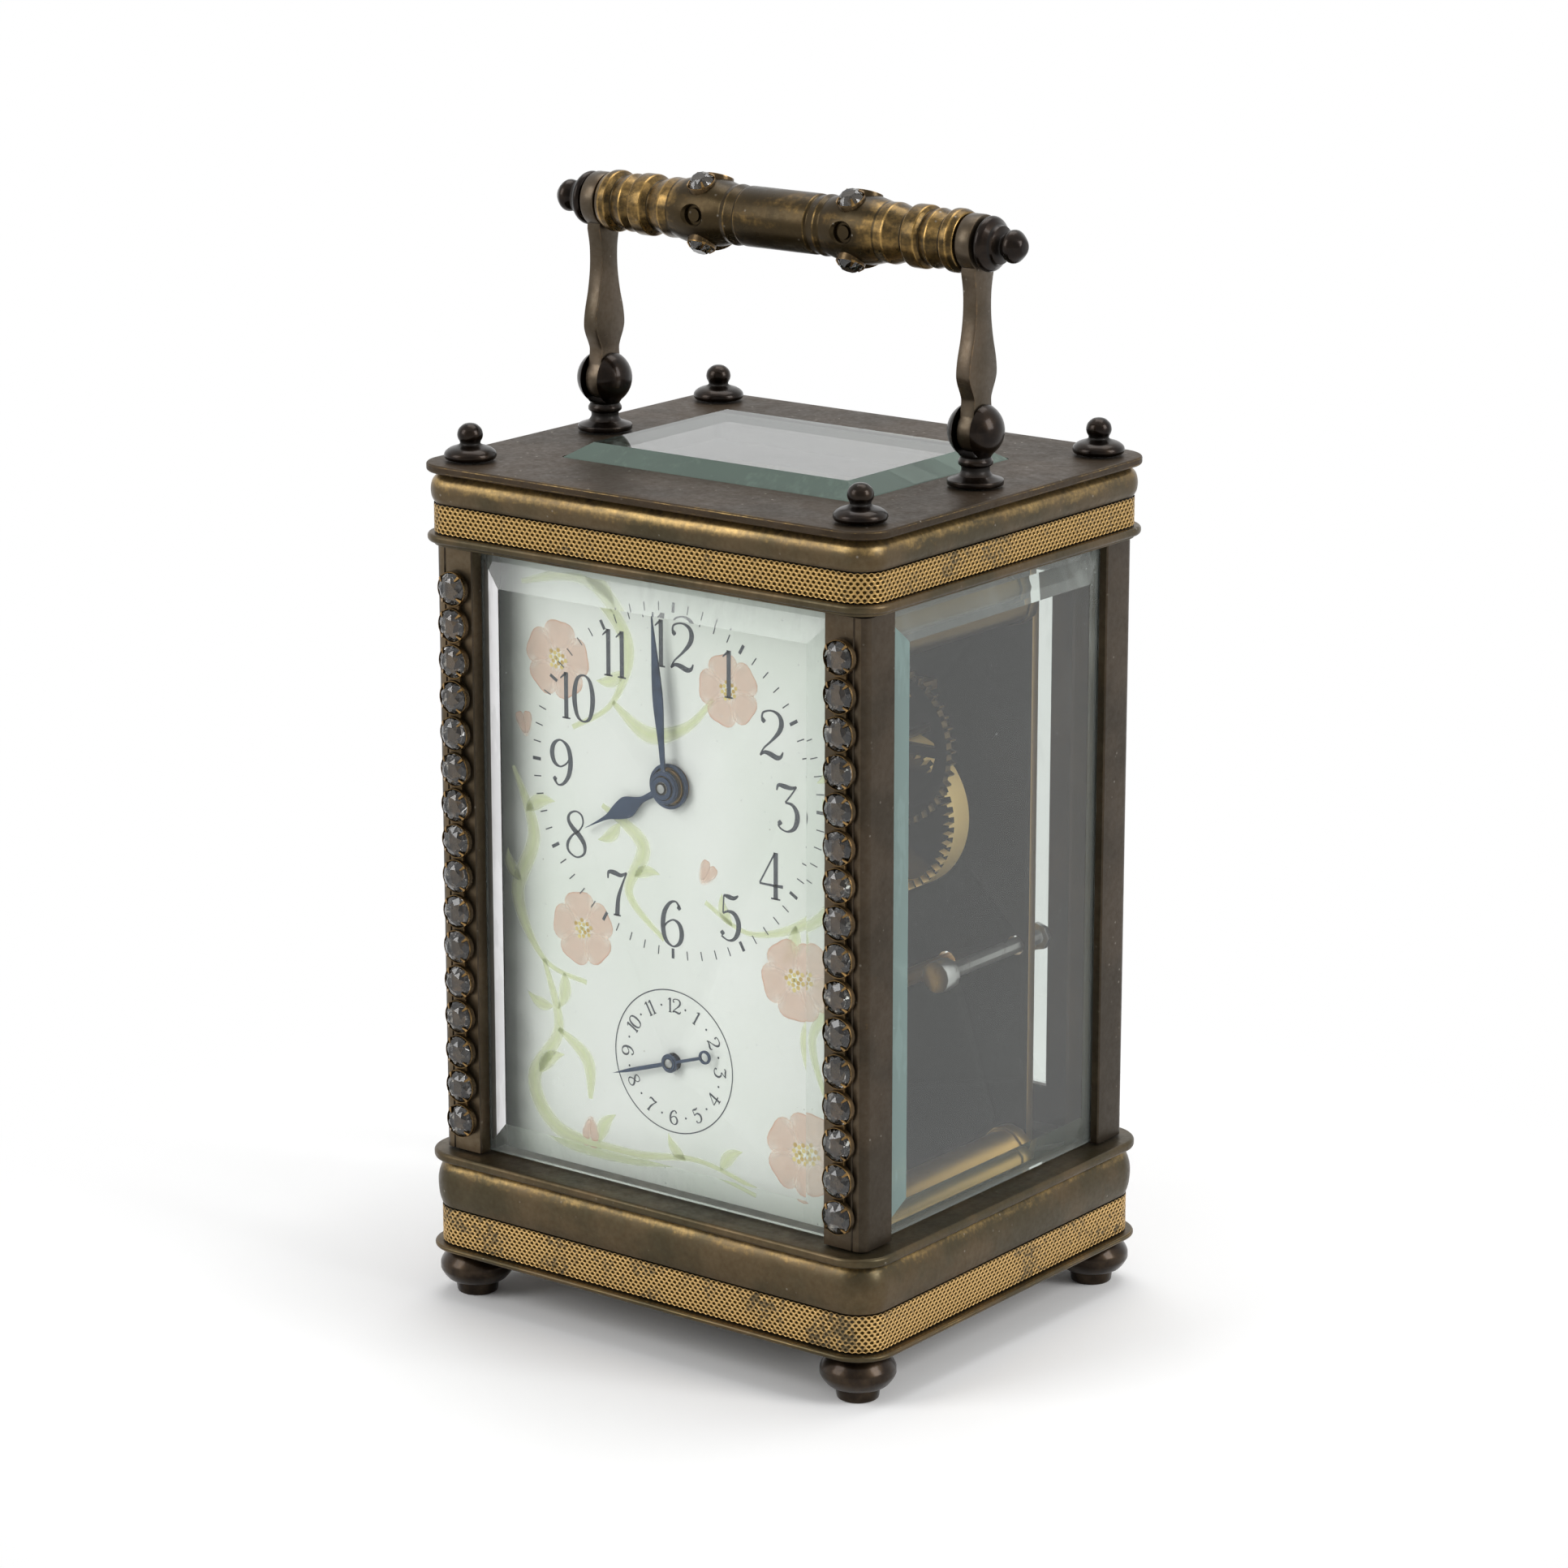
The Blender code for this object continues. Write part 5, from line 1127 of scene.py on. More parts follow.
class Growth(NodeTree):
    """A Geometry Nodes tree with named inputs, run once for each plain mesh it makes."""

    def __init__(self, name: str, **inputs: str) -> None:
        """Start a tree with a name and the socket type of each named input.

        Args:
            name: its name.
            inputs: the socket type of each named input.
        """
        group = bpy.data.node_groups.new(name, "GeometryNodeTree")
        group.is_modifier = True
        super().__init__(group)
        for label, kind in {**inputs, "finish": "Material"}.items():
            group.interface.new_socket(label, in_out="INPUT", socket_type="NodeSocket" + kind)
        group.interface.new_socket("Geometry", in_out="OUTPUT", socket_type="NodeSocketGeometry")
        self.source = self.add("NodeGroupInput")

    def given(self, label: str) -> Signal:
        """Return a named input."""
        return Signal(self, self.source.outputs[label])

    def held(self, label: str) -> Signal:
        """Return the geometry of the object that a named input gives."""
        return self.value("GeometryNodeObjectInfo", {}, {"Object": self.given(label)}, "Geometry")

    def copies(self, count: Link, position: Link, **further: Link) -> Signal:
        """Set copies of the shape at a number of places.

        Args:
            count: how many there are.
            position: where they are.
            further: other inputs of the node that sets them.

        Returns:
            The copies.
        """
        points = self.value("GeometryNodePoints", {}, {"Count": count, "Position": position})
        return self.value("GeometryNodeInstanceOnPoints", {},
                          {"Points": points, "Instance": self.held("shape"), **further})

    def joined(self, x: Link = 0.0, y: Link = 0.0, z: Link = 0.0) -> Signal:
        """Make a vector of three values."""
        return self.value("ShaderNodeCombineXYZ", {}, {0: x, 1: y, 2: z})

    def close(self, geometry: Signal) -> None:
        """End the tree: make its copies real, weld them and give them their material.

        Args:
            geometry: what the tree has made.
        """
        real = self.value("GeometryNodeRealizeInstances", {}, {0: geometry})
        welded = self.value("GeometryNodeMergeByDistance", {}, {0: real, "Distance": 2e-6})
        dressed = self.value("GeometryNodeSetMaterial", {}, {0: welded, "Material": self.given("finish")})
        self.add("NodeGroupOutput", {}, {0: dressed})

    def grow(self, name: str, finish: Finish, sharp: float = 38.0, **values: Any) -> Item:
        """Run the tree and keep its result as a plain mesh.

        Args:
            name: the piece's name.
            finish: its finish.
            sharp: the angle, in degrees, past which an edge stays sharp.
            values: a value for each named input.

        Returns:
            The finished object.
        """
        piece = bpy.data.objects.new(name, bpy.data.meshes.new(name))
        bpy.context.scene.collection.objects.link(piece)
        step = piece.modifiers.new(name, "NODES")
        step.node_group = self.tree
        values["finish"] = finish.material()
        for item in self.tree.interface.items_tree:
            if item.name in values:
                step[item.identifier] = values[item.name]
        apply_modifiers(piece, sharp)
        return piece


def ring_growth() -> Growth:
    """Build the tree that sets copies round an axis along Y, leaving some places out.

    Returns:
        The tree, with inputs shape, count, every, middle and finish.
    """
    tree = Growth("copies_round_an_axis", shape="Object", count="Int", every="Int", middle="Vector")
    index = tree.value("GeometryNodeInputIndex")
    turn = tree.joined(y=index * (2 * math.pi) / tree.given("count"))
    every = tree.given("every")
    kept_ones = index % every + (1.0 - every.least(1.0))
    tree.close(tree.copies(tree.given("count"), tree.given("middle"), Selection=kept_ones, Rotation=turn))
    return tree


def row_growth() -> Growth:
    """Build the tree that sets copies in a row along Z, each turned a little by chance.

    Returns:
        The tree, with inputs shape, count, pitch, start, spread, chance and finish.
    """
    tree = Growth("copies_in_a_row", shape="Object", count="Int", pitch="Float", start="Vector",
                  spread="Vector", chance="Int")
    rise = tree.joined(z=tree.value("GeometryNodeInputIndex") * tree.given("pitch"))
    spread = tree.given("spread")
    limits = {0: tree.vector("MULTIPLY", spread, (-1.0, -1.0, -1.0)), 1: spread, "Seed": tree.given("chance")}
    turn = tree.value("FunctionNodeRandomValue", {"data_type": "FLOAT_VECTOR"}, limits)
    tree.close(tree.copies(tree.given("count"), tree.vector("ADD", tree.given("start"), rise), Rotation=turn))
    return tree


def net_growth() -> Growth:
    """Build the tree that wraps rows of tiles, every other one shifted by half, round a closed path.

    Returns:
        The tree, with inputs shape, path, columns, rows, low, rise and finish.
    """
    tree = Growth("tiles_round_a_path", shape="Object", path="Object", columns="Int", rows="Int", low="Float",
                  rise="Float")
    path = tree.held("path")
    length = tree.value("GeometryNodeCurveLength", {}, {0: path})
    columns = tree.given("columns")
    index = tree.value("GeometryNodeInputIndex")
    row = ((index + 0.5) / columns).floor()
    along = (index - row * columns + (row % 2.0) * 0.5) * length / columns
    flat = tree.joined(x=along, z=tree.given("low") + row * tree.given("rise"))
    laid = tree.copies(columns * tree.given("rows"), flat)
    here = tree.add("ShaderNodeSeparateXYZ", {}, {0: tree.value("GeometryNodeInputPosition")})
    across, deep, up = here.outputs
    sample = tree.add("GeometryNodeSampleCurve", {"mode": "LENGTH", "use_all_curves": True},
                      {"Curves": path, "Length": (Signal(tree, across) + length) % length})
    outward = tree.vector("CROSS_PRODUCT", sample.outputs["Tangent"], (0, 0, 1))
    depth = tree.vector("MULTIPLY", outward, tree.joined(deep, deep, deep))
    wall = tree.vector("ADD", sample.outputs["Position"], depth)
    place = tree.vector("ADD", wall, tree.joined(z=up))
    real = tree.value("GeometryNodeRealizeInstances", {}, {0: laid})
    tree.close(tree.value("GeometryNodeSetPosition", {}, {0: real, "Position": place}))
    return tree


def placed(across: Sequence[float], up: Sequence[float], out: Sequence[float], at: Vector) -> Matrix:
    """Lay X, Y and Z along three directions, from a place.

    Args:
        across: the direction of X.
        up: the direction of Y.
        out: the direction of Z.
        at: the place.

    Returns:
        The matrix.
    """
    matrix = Matrix((across, up, out)).transposed().to_4x4()
    matrix.translation = at
    return matrix


@dataclass
class Studio:
    """The floor, the lamps and the camera."""

    camera_turn: float = 37.208
    camera_drop: float = 15.092
    camera_distance: float = 694.2
    aim: Vector = field(default_factory=lambda: Vector((0.0, -0.3, 72.6)))
    lens: float = 116.8
    sensor: float = 36.0
    floor_half: float = 4000.0
    shade_reach: float = 135.0
    ambient: float = 0.42
    dark_zone: float = 0.55

    @staticmethod
    def toward(turn: float, rise: float) -> Vector:
        """Return a direction: degrees from the dial's side towards +X, and degrees above the horizon."""
        a, b = math.radians(turn), math.radians(rise)
        return Vector((math.sin(a) * math.cos(b), -math.cos(a) * math.cos(b), math.sin(b)))

    def set_camera(self) -> None:
        """Place the camera where the photograph was taken from."""
        data = bpy.data.cameras.new("camera")
        data.sensor_width = self.sensor
        data.lens = self.lens
        data.clip_start = 0.01
        camera = bpy.data.objects.new("camera", data)
        back = self.toward(self.camera_turn, self.camera_drop)
        right = UP.cross(back).normalized()
        place = (self.aim + back * self.camera_distance) * MM
        camera.matrix_world = placed(right, back.cross(right), back, place)
        bpy.context.scene.collection.objects.link(camera)
        bpy.context.scene.camera = camera

    def lay_floor(self) -> None:
        """Lay a pale floor that keeps the object's shadow and goes white further out."""
        draft = Draft()
        draft.cap([draft.ring([(x, y, 0.0) for x, y in rectangle(self.floor_half, self.floor_half)])])
        shader = Shader("floor")
        across = shader.axis("X") / self.shade_reach
        deep = shader.axis("Y") / self.shade_reach
        near = (across * across + deep * deep).ramp(1.0, 0.25)
        pale = shader.value("ShaderNodeBsdfDiffuse", {}, {"Color": (1.0, 1.0, 1.0, 1.0)})
        white = shader.value("ShaderNodeEmission", {}, {"Color": (1.0, 1.0, 1.0, 1.0), "Strength": 1.0})
        seen = shader.ray("Is Camera Ray").most(shader.ray("Is Glossy Ray"))
        seen = seen.most(shader.ray("Is Transmission Ray"))
        share = seen * (1.0 - shader.ray("Diffuse Depth").least(1.0)) * (1.0 - near)
        floor = draft.piece("floor", face=UP)
        floor.data.materials.append(shader.close(shader.mixed(share, pale, white)))

    def light_world(self) -> None:
        """Make the room white to look at, softer as light, and dark where the photographer stands."""
        world = bpy.data.worlds.new("studio")
        world.use_nodes = True
        bpy.context.scene.world = world
        tree = NodeTree(world.node_tree)
        tree.tree.nodes.clear()
        look = tree.value("ShaderNodeTexCoord", output="Generated")
        back = self.toward(self.camera_turn, self.camera_drop)
        level = Vector((back.x, back.y, 0.12)).normalized()
        product = {"operation": "DOT_PRODUCT"}
        facing = tree.value("ShaderNodeVectorMath", product, {0: look, 1: level}, "Value")
        scattered = tree.ray("Diffuse Depth").least(1.0)
        bounced = tree.ray("Glossy Depth").least(1.0)
        sight = 1.0 - bounced * facing.ramp(0.62, 0.86) * (1.0 - self.dark_zone)
        strength = scattered * self.ambient + (1.0 - scattered) * sight
        light = tree.value("ShaderNodeBackground", {}, {"Color": (1.0, 1.0, 1.0, 1.0), "Strength": strength})
        tree.add("ShaderNodeOutputWorld", {}, {0: light})

    def hang_lamp(self, name: str, turn: float, rise: float, size: Point, power: float,
                  distance: float = 900.0) -> None:
        """Hang one soft lamp that looks at the object.

        Args:
            name: the lamp's name.
            turn: its direction round the object, in degrees from the dial's side towards +X.
            rise: its height above the horizon, in degrees.
            size: its width and height in millimetres.
            power: its power in watts.
            distance: how far it hangs from the object, in millimetres.
        """
        data = bpy.data.lights.new(name, "AREA")
        data.shape = "RECTANGLE"
        data.size, data.size_y = size[0] * MM, size[1] * MM
        data.energy = power
        lamp = bpy.data.objects.new(name, data)
        way = self.toward(turn, rise)
        place = Matrix.Translation((self.aim + way * distance) * MM)
        lamp.matrix_world = place @ way.to_track_quat("Z", "Y").to_matrix().to_4x4()
        lamp.visible_camera = False
        lamp.visible_transmission = False
        bpy.context.scene.collection.objects.link(lamp)

    def build(self) -> None:
        """Set the studio up."""
        self.set_camera()
        self.lay_floor()
        self.light_world()
        self.hang_lamp("softbox_left", -32.0, 30.0, (420.0, 560.0), 3.2)
        self.hang_lamp("softbox_right", 98.0, 28.0, (360.0, 520.0), 4.5)
        self.hang_lamp("softbox_top", 200.0, 72.0, (700.0, 500.0), 3.6)
        bpy.context.scene.view_settings.view_transform = "Standard"


@dataclass
class Case:
    """Flange, mouldings, patterned bands, lips and the top plate with its glass."""

    half_x: float = field(default_factory=lambda: extent("top_plate")[1].x)
    half_y: float = field(default_factory=lambda: extent("top_plate")[1].y)
    corner: float = 4.8
    inner_corner: float = 1.0
    wall: float = 4.2
    dimple_pitch: float = 0.89
    dimple_radius: float = 0.35
    dimple_depth: float = 0.2
    deck_hole: Point = (31.9, 24.6)
    lip_hole: Point = (25.5, 19.0)
    pin_bore: float = 0.9
    glass_edge: float = 0.12
    glass_bevel: float = 3.0

    @property
    def hollow(self) -> Point:
        """Half the width and depth of the room that the mouldings leave."""
        return (self.half_x - self.wall, self.half_y - self.wall)

    def outline(self, out: float) -> Loop:
        """Return the case's outline, moved out."""
        return rounded(self.half_x + out, self.half_y + out, self.corner + out)

    def swept(self, outside: Profile) -> list[Level]:
        """Sweep (out, height, wear) points round the case."""
        return [(self.outline(out), height, wear) for out, height, wear in outside]

    def ringed(self, outside: Profile, opening: Point, rim: float = 0.0) -> Draft:
        """Draft a moulding: an outside profile swept round the case, with a straight opening.

        Args:
            outside: (out, height, wear) from the bottom up.
            opening: half the opening's width and depth.
            rim: the wear on the opening's upper edge.

        Returns:
            The draft.
        """
        inner = rounded(*opening, self.inner_corner)
        inside = [(inner, outside[-1][1], rim), (inner, outside[0][1], 0.0)]
        return Draft().looped(self.swept(outside) + inside)

    def bore_for_pin(self, piece: Item, low: float, high: float) -> None:
        """Bore the hole that one of the door's pins stands in."""
        bore = circle(self.pin_bore, 24, Door().axis)
        cut(piece, Draft().stacked([(bore, low, -0.5), (bore, high, -0.5)]).piece("drill"))

    def build_flange(self) -> None:
        """Make the flange plate under the base."""
        low, high = extent("base_plate")
        out = high.x - self.half_x
        profile = eased([
            (out - 1.2, low.z), (out - 0.3, low.z), (out, low.z + 0.25), (out, high.z - 0.2),
            (out - 0.2, high.z), (out - 1.6, high.z),
        ], 0.16, 0.5)
        flange = Draft().stacked(self.swept(profile)).piece("base_flange", PATINA)
        settle(flange, "case", "patinated_brass", "base_plate")

    def build_base_moulding(self) -> None:
        """Make the hollow belly of the base with its lip and the deck inside it."""
        low, high = extent("base_moulding")
        deck, lip = high.z, high.z - 1.3
        out = high.x - self.half_x
        rise = lip - low.z
        belly = through([
            (-0.4, low.z, 0.15), (0.0, low.z + 0.22 * rise, 0.1), (0.1, low.z + 0.55 * rise, 0.1),
            (-0.4, low.z + 0.82 * rise, 0.45), (-1.2, lip - 0.1, 0.7),
        ])
        edge = eased([
            belly[-1], (out - 0.2, lip, 0.0), (out, lip + 0.3, 0.1), (out, deck - 0.3, 0.1),
            (out - 0.3, deck, 0.1), (out - 2.2, deck, -0.5),
        ], 0.16, 0.15)
        hole, hollow = rounded(*self.deck_hole, self.inner_corner), rounded(*self.hollow, self.inner_corner)
        under = lip - 1.2
        inside = [(hole, deck, -0.6), (hole, under, -0.5), (hollow, under, -0.5), (hollow, low.z, 0.0)]
        moulding = Draft().looped(self.swept([*belly, *edge[1:]]) + inside).piece("base_belly", PATINA)
        self.bore_for_pin(moulding, deck - 1.6, deck + 1.0)
        settle(moulding, "case", "patinated_brass", "base_moulding")

    def build_crown(self) -> None:
        """Make the crown's lip, its belly and the top plate."""
        low, high = extent("crown_lip")
        out = high.x - self.half_x
        lip = eased([
            (-2.6, low.z, -0.4), (-0.9, low.z, -0.3), (-0.9, low.z + 0.4, -0.5),
            (out - 0.2, low.z + 0.5, 0.1), (out, low.z + 0.8, 0.1), (out, high.z - 0.3, 0.1),
            (out - 0.25, high.z, 0.1), (-1.6, high.z, -0.4),
        ], 0.14, 0.08)
        piece = self.ringed(lip, self.lip_hole).piece("crown_edge", PATINA)
        self.bore_for_pin(piece, low.z - 1.0, low.z + 1.3)
        settle(piece, "case", "patinated_brass", "crown_lip")

        low, high = extent("crown_moulding")
        rise = high.z + SEAT - low.z
        belly = through([
            (-1.03, low.z, -0.4), (-0.65, low.z + 0.18 * rise, 0.0), (-0.55, low.z + 0.45 * rise, 0.35),
            (-0.85, low.z + 0.72 * rise, 0.55), (-1.7, high.z, 0.65),
        ])
        piece = self.ringed(belly, self.hollow, 0.2).piece("crown_belly", PATINA)
        settle(piece, "case", "patinated_brass", "crown_moulding")

        low, high = extent("top_plate")
        plate = eased([
            (-2.2, low.z, -0.3), (-0.25, low.z, 0.0), (0.0, low.z + 0.25, 0.1), (0.0, high.z - 0.2, 0.2),
            (-0.2, high.z, 0.1), (-2.0, high.z, -0.05),
        ], 0.14, 0.45)
        glass = extent("top_glass")[1]
        piece = self.ringed(plate, (glass.x + SEAT, glass.y + SEAT), 0.2).piece("crown_plate", PLATE_PATINA)
        settle(piece, "case", "patinated_brass", "top_plate")

    def tile(self, rise: float) -> Draft:
        """Draft one cell of the net: a flat rim round a dimple, lying along X and Z.

        Args:
            rise: the distance between two rows.

        Returns:
            The draft, whose points carry their depth.
        """
        draft = Draft("depth")
        half = self.dimple_pitch / 2
        tall, short = rise * 0.66, rise * 0.34
        cell = [(0.0, tall), (-half, short), (-half, -short), (0.0, -tall), (half, -short), (half, short)]
        rings = [draft.ring([(u, 0.0, v) for u, v in cell], depth=0.0)]
        turns = [math.pi / 2 + math.pi * i / 3 for i in range(6)]
        for share, deep in ((1.0, 0.0), (0.84, 0.45), (0.45, 0.95)):
            wide, high = self.dimple_radius * share * 0.98, self.dimple_radius * share * 0.8
            spots = [(wide * math.cos(a), -deep * self.dimple_depth, high * math.sin(a)) for a in turns]
            rings.append(draft.ring(spots, depth=deep))
        rings.append(draft.ring([(0.0, -self.dimple_depth, 0.0)], depth=1.0))
        for outer, inner in zip(rings, rings[1:]):
            draft.span(outer, inner)
        return draft

    def build_band(self, tree: Growth, node: str, rows: int, rise: float, finish: Finish) -> None:
        """Wrap the patterned net round one band, over a plain wall.

        Args:
            tree: the tree that wraps tiles round a path.
            node: the band's solid.
            rows: how many rows of dimples it has.
            rise: the distance between two rows.
            finish: the net's finish.
        """
        low, high = extent(node)
        out = high.x - self.half_x
        loop = self.outline(out)
        curve = bpy.data.curves.new(node + "_path", "CURVE")
        curve.dimensions = "3D"
        spline = curve.splines.new("POLY")
        spline.points.add(len(loop) - 1)
        for spot, (x, y) in zip(spline.points, loop):
            spot.co = (x * MM, y * MM, 0.0, 1.0)
        spline.use_cyclic_u = True
        path = bpy.data.objects.new(node + "_path", curve)
        bpy.context.scene.collection.objects.link(path)
        shape = self.tile(rise).piece(node + "_tile")
        around = sum((Vector(b) - Vector(a)).length for a, b in zip(loop, loop[1:] + loop[:1]))
        first = (low.z + high.z - rise * (rows - 1)) / 2
        net = tree.grow(node + "_net", finish, 75.0, shape=shape, path=path, rows=rows, rise=rise * MM,
                        columns=round(around / self.dimple_pitch), low=first * MM)
        for helper in (path, shape):
            bpy.data.objects.remove(helper)
        settle(net, "case", "gilt_brass", node)
        back = out - self.dimple_depth - 0.06
        wall = self.ringed([(back, low.z, 0.2), (back, high.z, 0.2)], self.hollow)
        settle(wall.piece(node + "_wall", PATINA), "case", "gilt_brass")

    def build_top_glass(self) -> None:
        """Make the glass in the top plate, with ground bevels and softened edges under a green-grey haze,
        painted reflection.
        """
        low, high = extent("top_glass")
        plate, edge = extent("top_plate")[1].z, self.glass_edge
        steps = ((edge, low.z), (0.0, low.z + edge), (0.0, plate - edge), (edge, plate),
                 (self.glass_bevel, high.z))
        levels = [(rectangle(high.x - inset, high.y - inset), height, 0.0) for inset, height in steps]
        # the bevels and edges carry the green-grey painted reflection
        draft = Draft().stacked(levels, slots=[1, 1, 1, 1, 0, 0])
        glass = draft.piece("top_glass_cut", GLASS, TOP_GLASS_REFLECTION_BEVEL, sharp=5.0)
        settle(glass, "case", "bevelled_glass", "top_glass")

    def build(self, tree: Growth) -> None:
        """Make every piece of the case.

        Args:
            tree: the tree that wraps tiles round a path.
        """
        self.build_flange()
        self.build_base_moulding()
        # the base's net gets the lighter gilt, painted light
        self.build_band(tree, "base_band", 10, 0.505, PAINTED_LIGHT_BASE_NET)
        self.build_band(tree, "crown_band", 7, 0.54, NET)
        self.build_crown()
        self.build_top_glass()


@dataclass
class Posts:
    """The four corner posts with their grooves."""

    size_x: float = 6.6
    size_y: float = 6.4
    corner: float = 1.4
    groove: tuple[float, float, float] = (1.2, 2.9, 1.5)
    front_step: float = 0.7
    quirk: float = 0.16
    edge: float = 0.18

    def section(self, front: bool) -> list[tuple[float, float, float]]:
        """Return a post's outline from its outer corner inwards.

        Args:
            front: whether it also holds the front glass.

        Returns:
            (across, deep, wear) points, from the outer side face round to it again.
        """
        wide, long, edge, quirk = self.size_x, self.size_y, self.edge, self.quirk
        low, high, deep = self.groove
        quarter = [math.pi / 2 * i / 8 for i in range(9)]
        points = [(self.corner * (1 - math.cos(a)), self.corner * (1 - math.sin(a)), 0.35) for a in quarter]
        bead = self.corner + 0.5
        points += [(bead - quirk, 0.0, 0.2), (bead, quirk, -0.45), (bead + quirk, 0.0, 0.0)]
        points += [(wide - edge, 0.0, 0.1), (wide, edge, 0.5)]
        if front:
            near, far = low + self.front_step, high + self.front_step
            points += [(wide, near, -0.2), (wide - deep, near, -0.6), (wide - deep, far, -0.6),
                       (wide, far, -0.2)]
        points += [(wide, long, 0.0), (high, long, 0.0), (high, long - deep, -0.6), (low, long - deep, -0.6)]
        return points + [(low, long, -0.2), (edge, long, 0.5), (0.0, long - edge, 0.3)]

    def build_post(self, side: Side, end: End) -> None:
        """Make one post; its front face, and its inner face in front of the glass, get a lighter copy of the
        brass, painted light, a little less light on the right post.

        Args:
            side: its side.
            end: its end of the case.
        """
        node = f"corner_post_{end.word}_{side.word}"
        low, high = extent(node)
        corner = Vector((max(high.x, -low.x), max(high.y, -low.y)))
        outline = self.section(end is End.FRONT)
        draft = Draft()
        rings = []
        for height in (low.z, high.z):
            ring = []
            for across, deep, wear in outline:
                spot = (side.value * (corner.x - across), end.value * (corner.y - deep), height)
                ring += draft.ring([spot], wear=wear)
            rings.append(ring)
        draft.span(*rings)
        for ring in rings:
            draft.cap([ring])
        # painted light: faces that look forward, and inner faces in front of the glass, get lighter brass
        # than the rest
        painted_light_finish = POST_FRONT_PAINTED_LIGHT if side is Side.LEFT else RIGHT_POST_PAINTED_LIGHT
        post = draft.piece(node + "_fine", POST_PATINA, painted_light_finish, sharp=32.0)
        for face in post.data.polygons:
            inner = face.normal.x * side.value < -0.9
            if face.normal.dot(FORWARD) > 0.9 or (inner and face.center.y / MM < low.y + self.groove[0]):
                face.material_index = 1
        settle(post, "case", "patinated_brass", node)

    def build(self) -> None:
        """Make the posts."""
        for side in Side:
            for end in End:
                self.build_post(side, end)


@dataclass
class Glasses:
    """The bevelled glasses in the posts' grooves."""

    tongue: float = 1.4
    edge: float = 1.1
    bevel: float = 3.4
    rim_share: float = 0.32
    forward: float = 1.2

    def pane(self, half_wide: float, half_high: float, thick: float, tongue: float) -> Draft:
        """Draft a glass lying in the ground plane with its bevels on top.

        Args:
            half_wide: half its width.
            half_high: half its height.
            thick: its thickness.
            tongue: the rim that stands in the grooves.

        Returns:
            The draft.
        """
        full, wide, high = rectangle(half_wide, half_high), half_wide - tongue, half_high - tongue
        levels = [(full, 0.0, 0.0), (full, self.edge, 0.0)]
        if tongue:
            levels.append((rectangle(wide, high), self.edge + 0.02, 0.0))
        rise = self.edge + (thick - self.edge) * self.rim_share
        for inset, height in ((self.bevel * self.rim_share, rise), (self.bevel, thick)):
            levels.append((rectangle(wide - inset, high - inset), height, 0.0))
        return Draft().stacked(levels, slots=[1] * (len(levels) - 1) + [0, 0])

    def build_pane(self, node: str, way: Vector) -> None:
        """Make one glass that looks one way, with painted reflection on the bevel faces that look one way: on
        the front glass its left bevel, with painted shade on the bevel's outer part, and on the side glasses
        their front bevels.

        Args:
            node: the solid it stands for.
            way: the direction.
        """
        low, high = extent(node)
        middle, size = (low + high) / 2, (high - low) / 2
        front = way is FORWARD
        half_wide, thick = (size.x, 2 * size.y) if front else (size.y, 2 * size.x)
        across = UP.cross(way)
        step = self.forward - (Posts().front_step if front else 0.0)
        turn = placed(across, UP, way, middle + way * (step - thick / 2))
        draft = self.pane(half_wide, size.z, thick, self.tongue).moved(turn)
        # painted reflection and painted shade on the front glass's bevel; painted teal reflection on the side
        # glasses
        bevels = (PAINTED_REFLECTION_BEVEL, PAINTED_SHADE_BEVEL) if front else (SIDE_GLASS_REFLECTION_BEVEL, SIDE_GLASS_REFLECTION_BEVEL)
        pane = draft.piece(node + "_cut", GLASS, BEVEL, *bevels, sharp=5.0)
        painted_light_way = Vector((-1.0, 0.0, 0.0)) if front else FORWARD
        rim = half_wide - self.tongue - self.bevel * self.rim_share
        for face in pane.data.polygons:
            if face.normal.dot(painted_light_way) > 0.1 and face.normal.dot(way) > 0.5:
                face.material_index = 3 if abs((face.center / MM - middle).dot(across)) > rim else 2
        settle(pane, "case", "bevelled_glass", node)

    def build(self) -> None:
        """Make the front and side glasses."""
        self.build_pane("front_glass", FORWARD)
        self.build_pane("left_glass", Vector((-1.0, 0.0, 0.0)))
        self.build_pane("right_glass", Vector((1.0, 0.0, 0.0)))


@dataclass
class Door:
    """The rear door: frame, glass and knob."""

    thick: float = 2.8

    @property
    def axis(self) -> Point:
        """The hinge line's place, seen from above."""
        low, high = extent("rear_door_frame")
        return (low.x + self.thick / 2, (low.y + high.y) / 2)

    def build(self) -> None:
        """Make the door's pieces."""
        refined("rear_door_frame", POST_PATINA, "rear_door", "patinated_brass", 0.14)
        low, high = extent("rear_door_glass")
        middle, size = (low + high) / 2, (high - low) / 2
        turn = placed((-1, 0, 0), (0, 0, 1), (0, 1, 0), Vector((middle.x, low.y, middle.z)))
        pane = Glasses().pane(size.x, size.z, 2 * size.y, 0.0).moved(turn)
        pane = pane.piece("rear_door_glass_cut", GLASS, BEVEL, sharp=5.0)
        settle(pane, "rear_door", "bevelled_glass", "rear_door_glass")
        low, high = extent("door_knob")
        knob = eased([
            (0, 0.0), (1.5, 0.0), (1.5, 0.4), (0.8, 0.7), (0.8, 1.2), (1.9, 1.9), (2.0, 2.5), (1.3, 3.1),
            (0, 3.2),
        ], 0.3, 0.3, 5)
        draft = Draft().turned(knob, 40, Axis.Y, ((low.x + high.x) / 2, low.y, (low.z + high.z) / 2))
        settle(draft.piece("door_knob_fine", BRONZE), "rear_door", "dark_bronze", "door_knob")


